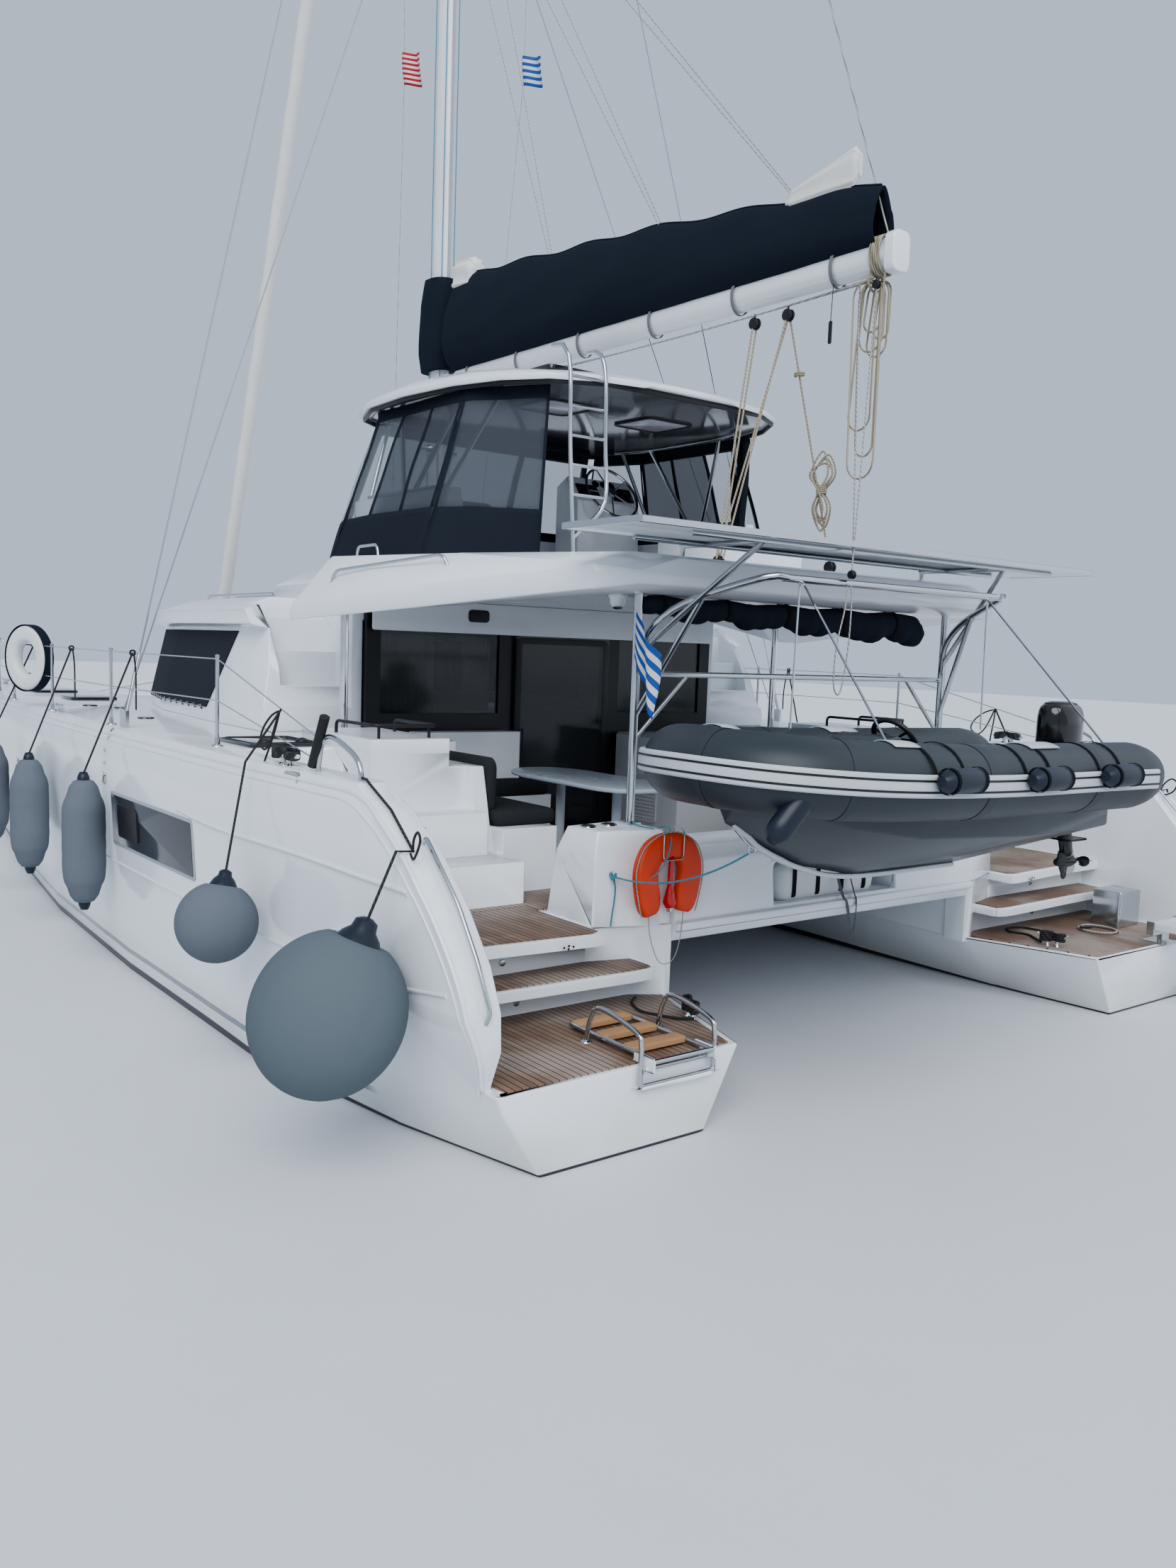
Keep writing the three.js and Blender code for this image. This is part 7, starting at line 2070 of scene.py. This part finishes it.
    def long_fenders(self) -> None:
        """Long fenders in heather covers: a bulged profile, gathered at both ends."""
        r, half = self.fender
        t = np.linspace(0, 1, 30)
        body = np.column_stack([r * (1 - np.abs(2 * t - 1) ** 7 * 0.2) * (1 + 0.006 * np.sin(31 * t)),
                                (2 * t - 1) * (half - 0.2)])
        cover = [(0.03, -half + 0.06), (0.075, -half + 0.075), (0.108, -half + 0.12), *body.tolist(),
                 (0.108, half - 0.12), (0.075, half - 0.075), (0.03, half - 0.06)]
        tip = [(0, -0.06), (0.03, -0.055), (0.045, -0.02), (0.055, 0.05), (0.03, 0.07), (0, 0.07)]
        covers = [lathe(cover, 30, (x, self.fender_y, z)) for x, z in LONG_FENDERS]
        made = self.put("fender_covers", merge(covers), HEATHER)
        eyes, lines = [], []
        for x, z in LONG_FENDERS:
            eyes += [lathe(tip, 20, (x, self.fender_y, z - half + 0.06)),
                     lathe([(a, -b) for a, b in tip[::-1]], 20, (x, self.fender_y, z + half - 0.06))]
            lines.append(line((x, self.fender_y, z + half - 0.02),
                              (x - 0.06, self.rail_y(x - 0.06), self.deck + self.top - 0.01), 0.008, sides=8))
            knot = (x - 0.06, self.rail_y(x - 0.06), self.deck + self.top - 0.01)
            lines.append(ring(knot, 0.02, 0.008, axis=0, sides=6))
            kx, ky, kz = knot
            self.tail(f"fender_tail_{round(10 * x)}",
                      [(kx, ky - 0.012, kz - 0.015), (kx + 0.02, ky - 0.03, kz - 0.15),
                       (kx + 0.03, ky - 0.035, kz - 0.3), (kx + 0.03, ky - 0.035, kz - 0.46)])
        self.put("fender_eyes", merge(eyes), RUBBER)
        self.put("fender_lines", merge(lines), ROPE_BLACK)

    def balls(self) -> None:
        """Round fenders: a covered sphere, its cover gathered at the foot, and a neck turned towards its line."""
        for name, (x, y, z, r), finish, tie in (
            ("small_ball", self.small_ball, HEATHER, self.small_tie),
            ("large_ball", self.large_ball, PALE_COVER, self.large_tie),
        ):
            axis = np.subtract(tie[0], (x, y, z))
            axis = axis / np.linalg.norm(axis)
            across = np.cross((0, 1, 0), axis)
            pose = place(across, np.cross(axis, across), axis, (x, y, z))
            a = np.linspace(-np.pi / 2, 0.36 * np.pi, 30)
            turn = np.linspace(0, 2 * np.pi, 60, endpoint=False)
            seam = 1 - 0.012 * np.exp(-((np.sin(2 * turn) / 0.09) ** 2))[None]
            gather = 1 + 0.02 * np.clip((-a[:, None] - 0.5) / 1.0, 0, 1) * np.sin(15 * turn[None] + 2 * a[:, None])
            radius = r * np.maximum(np.cos(a)[:, None], 0.01) * seam * gather
            height = np.broadcast_to(r * np.sin(a)[:, None], radius.shape) * (1.09 if name == "large_ball" else 1.0)
            rows = np.stack([radius * np.cos(turn), radius * np.sin(turn), height], -1)
            self.put(name, grid(rows).turned(pose), finish)
            neck = [(0, 0.88 * r), (0.34 * r, 0.91 * r), (0.26 * r, 1.06 * r), (0.17 * r, 1.15 * r),
                    (0.15 * r, 1.26 * r), (0.06 * r, 1.31 * r), (0, 1.31 * r)]
            self.put(f"{name}_neck", lathe(neck, 24).turned(pose), RUBBER)
            end = np.array([x, y, z]) + 1.28 * r * axis
            self.put(f"{name}_line", tube([end, *tie], 0.008, 8), ROPE_BLACK)
            ex, ey, ez = tie[-1]
            if name == "small_ball":
                self.tail("small_ball_loop",
                          [(ex + 0.01, ey + 0.004, ez - 0.01), (ex + 0.05, ey + 0.014, ez - 0.09),
                           (ex + 0.12, ey + 0.02, ez - 0.21), (ex + 0.2, ey + 0.025, ez - 0.27),
                           (ex + 0.28, ey + 0.02, ez - 0.22), (ex + 0.24, ey + 0.014, ez - 0.13),
                           (ex + 0.13, ey + 0.01, ez - 0.05), (ex + 0.03, ey + 0.008, ez - 0.015)])
                self.tail("small_ball_tail",
                          [(ex + 0.005, ey + 0.01, ez - 0.02), (ex + 0.03, ey + 0.03, ez - 0.14),
                           (ex + 0.07, ey + 0.06, ez - 0.28), (ex + 0.1, ey + 0.09, ez - 0.4)])
            else:
                self.tail("large_ball_loop",
                          [(0.57, 3.79, 1.66), (0.545, 3.8, 1.72), (0.49, 3.81, 1.765), (0.445, 3.82, 1.73),
                           (0.47, 3.825, 1.66), (0.53, 3.81, 1.62), (0.58, 3.8, 1.64)])


@dataclass
class Foredeck:
    """Forward beam, nets, and hatches on the foredeck."""

    def build(self) -> None:
        """Dresses the beam and the nets and adds hatches."""
        dress("forward_beam", SPAR, angle=50)
        for s in Side:
            dress(f"{s.word}_trampoline", NETTING)
        hatches = [plate(round_rect(0.5, 0.5, 0.05) + np.array([x, 2.9]), 1.955, 1.985, 0.008) for x in (9.6, 11.2)]
        piece("bow_hatches", both(merge(hatches)), TINT)


@dataclass
class Gangway:
    """The gangway on the starboard platform, in its socket, with the gear beside it."""

    low: float = 0.6
    high: float = 0.685

    def build(self) -> None:
        """Dresses the gangway and adds its slats, and the box and the hose beside it."""
        dress("passerelle_socket", STEEL_WITH_PAINTED_DARK_REFLECTION)
        dress("passerelle_swivel", STEEL_WITH_PAINTED_DARK_REFLECTION)
        dress("passerelle", SPAR, Edge.FINE)
        slats = [plate(round_rect(0.06, 0.32, 0.008, 3) + np.array([x, -3.0]), 0.68, 0.692, 0.003)
                 for x in np.arange(-2.2, -0.15, 0.078)]
        piece("gangway_slats", merge(slats), TIMBER, "passerelle")
        box = plate(round_rect(0.26, 0.34, 0.02) + np.array([0.62, -3.28]), 0.488, 0.8, 0.01)
        piece("shore_box", box, STEEL_WITH_PAINTED_DARK_REFLECTION, edge=Edge.FINE)
        a = np.linspace(-1.2, 9.0, 44)
        hose = np.column_stack([0.53 + (0.17 - 0.004 * a) * np.sin(a), -2.86 - (0.15 - 0.004 * a) * np.cos(a),
                                0.4965 + 0.0022 * np.maximum(a, 0)])
        nozzle = lathe([(0, -0.05), (0.011, -0.05), (0.014, 0.0), (0.009, 0.05), (0, 0.05)],
                       16).turned(place((0, 0, 1), (-0.8, 0.6, 0), (-0.6, -0.8, 0),
                                        (float(hose[-1, 0]), float(hose[-1, 1]), 0.522)))
        piece("hose_nozzle", nozzle, BLACK)
        hang(hose, "shore_hose", ROPE_WHITE, 0.016)


# Stage


@dataclass
class Stage:
    """The camera of the picture, soft studio lights and a pale floor at the waterline."""

    eye: Point = (-4.889, 6.887, 2.72)
    yaw: float = 37.705
    pitch: float = 6.288
    roll: float = 2.086
    lens: float = 28.054

    def camera(self) -> None:
        """Places the camera: it looks forward and to starboard, a little down, and leans with the picture."""
        yaw, pitch, roll = (math.radians(v) for v in (self.yaw, self.pitch, self.roll))
        ahead = np.array([math.cos(pitch) * math.cos(yaw), -math.cos(pitch) * math.sin(yaw), -math.sin(pitch)])
        right = np.array([-math.sin(yaw), -math.cos(yaw), 0.0])
        up = np.cross(right, ahead)
        across = right * math.cos(roll) + up * math.sin(roll)
        over = -right * math.sin(roll) + up * math.cos(roll)
        data = bpy.data.cameras.new("camera")
        data.lens, data.sensor_width, data.clip_end = self.lens, 36.0, 300.0
        made = bpy.data.objects.new("camera", data)
        made.matrix_world = Matrix([[across[i], over[i], -ahead[i], self.eye[i]] for i in range(3)] + [[0, 0, 0, 1]])
        bpy.context.scene.collection.objects.link(made)
        bpy.context.scene.camera = made

    def lights(self) -> None:
        """A broad key from the port quarter, a low fill, and an even pale sky."""
        for name, turn, power, size in (("key", (48, 0, -128), 2.1, 50.0), ("fill", (62, 0, -40), 0.6, 80.0)):
            data = bpy.data.lights.new(name, "SUN")
            data.energy, data.angle = power, math.radians(size)
            made = bpy.data.objects.new(name, data)
            made.rotation_euler = tuple(math.radians(v) for v in turn)
            bpy.context.scene.collection.objects.link(made)
        world = bpy.data.worlds.new("studio")
        world.use_nodes = True
        world.node_tree.nodes["Background"].inputs[0].default_value = (0.62, 0.72, 0.86, 1)
        world.node_tree.nodes["Background"].inputs[1].default_value = 0.78
        bpy.context.scene.world = world
        bpy.context.scene.view_settings.look = "AgX - Medium High Contrast"

    def floor(self) -> None:
        """A wide flat floor."""
        mesh = bpy.data.meshes.new("floor")
        mesh.from_pydata([(-90, -90, 0), (110, -90, 0), (110, 90, 0), (-90, 90, 0)], [], [(0, 1, 2, 3)])
        mesh.materials.append(FLOOR.material())
        made = bpy.data.objects.new("floor", mesh)
        bpy.context.scene.collection.objects.link(made)
        made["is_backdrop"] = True

    def build(self) -> None:
        """Sets up the camera, the lights and the floor."""
        self.camera()
        self.lights()
        self.floor()


def main() -> None:
    """Builds the sub-assemblies in order."""
    logging.basicConfig(level=logging.INFO, format="%(message)s")
    Stage().build()
    parts = [Hull(Side.PORT), Hull(Side.STARBOARD), SwimLadder(), SternBeam(), Cockpit(), Coachroof(), Screens(),
             Flybridge(), Rig(), Davits(), Tender(), Guardrail(Side.PORT), Guardrail(Side.STARBOARD), Foredeck(),
             Gangway()]
    for part in parts:
        part.build()
        log.info("%s is made", type(part).__name__)
    boxes = {"cad": CAD_BOX, "model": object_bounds()}
    plain = {name: [[float(v) for v in corner] for corner in box] for name, box in boxes.items()}


if __name__ == "__main__":
    main()
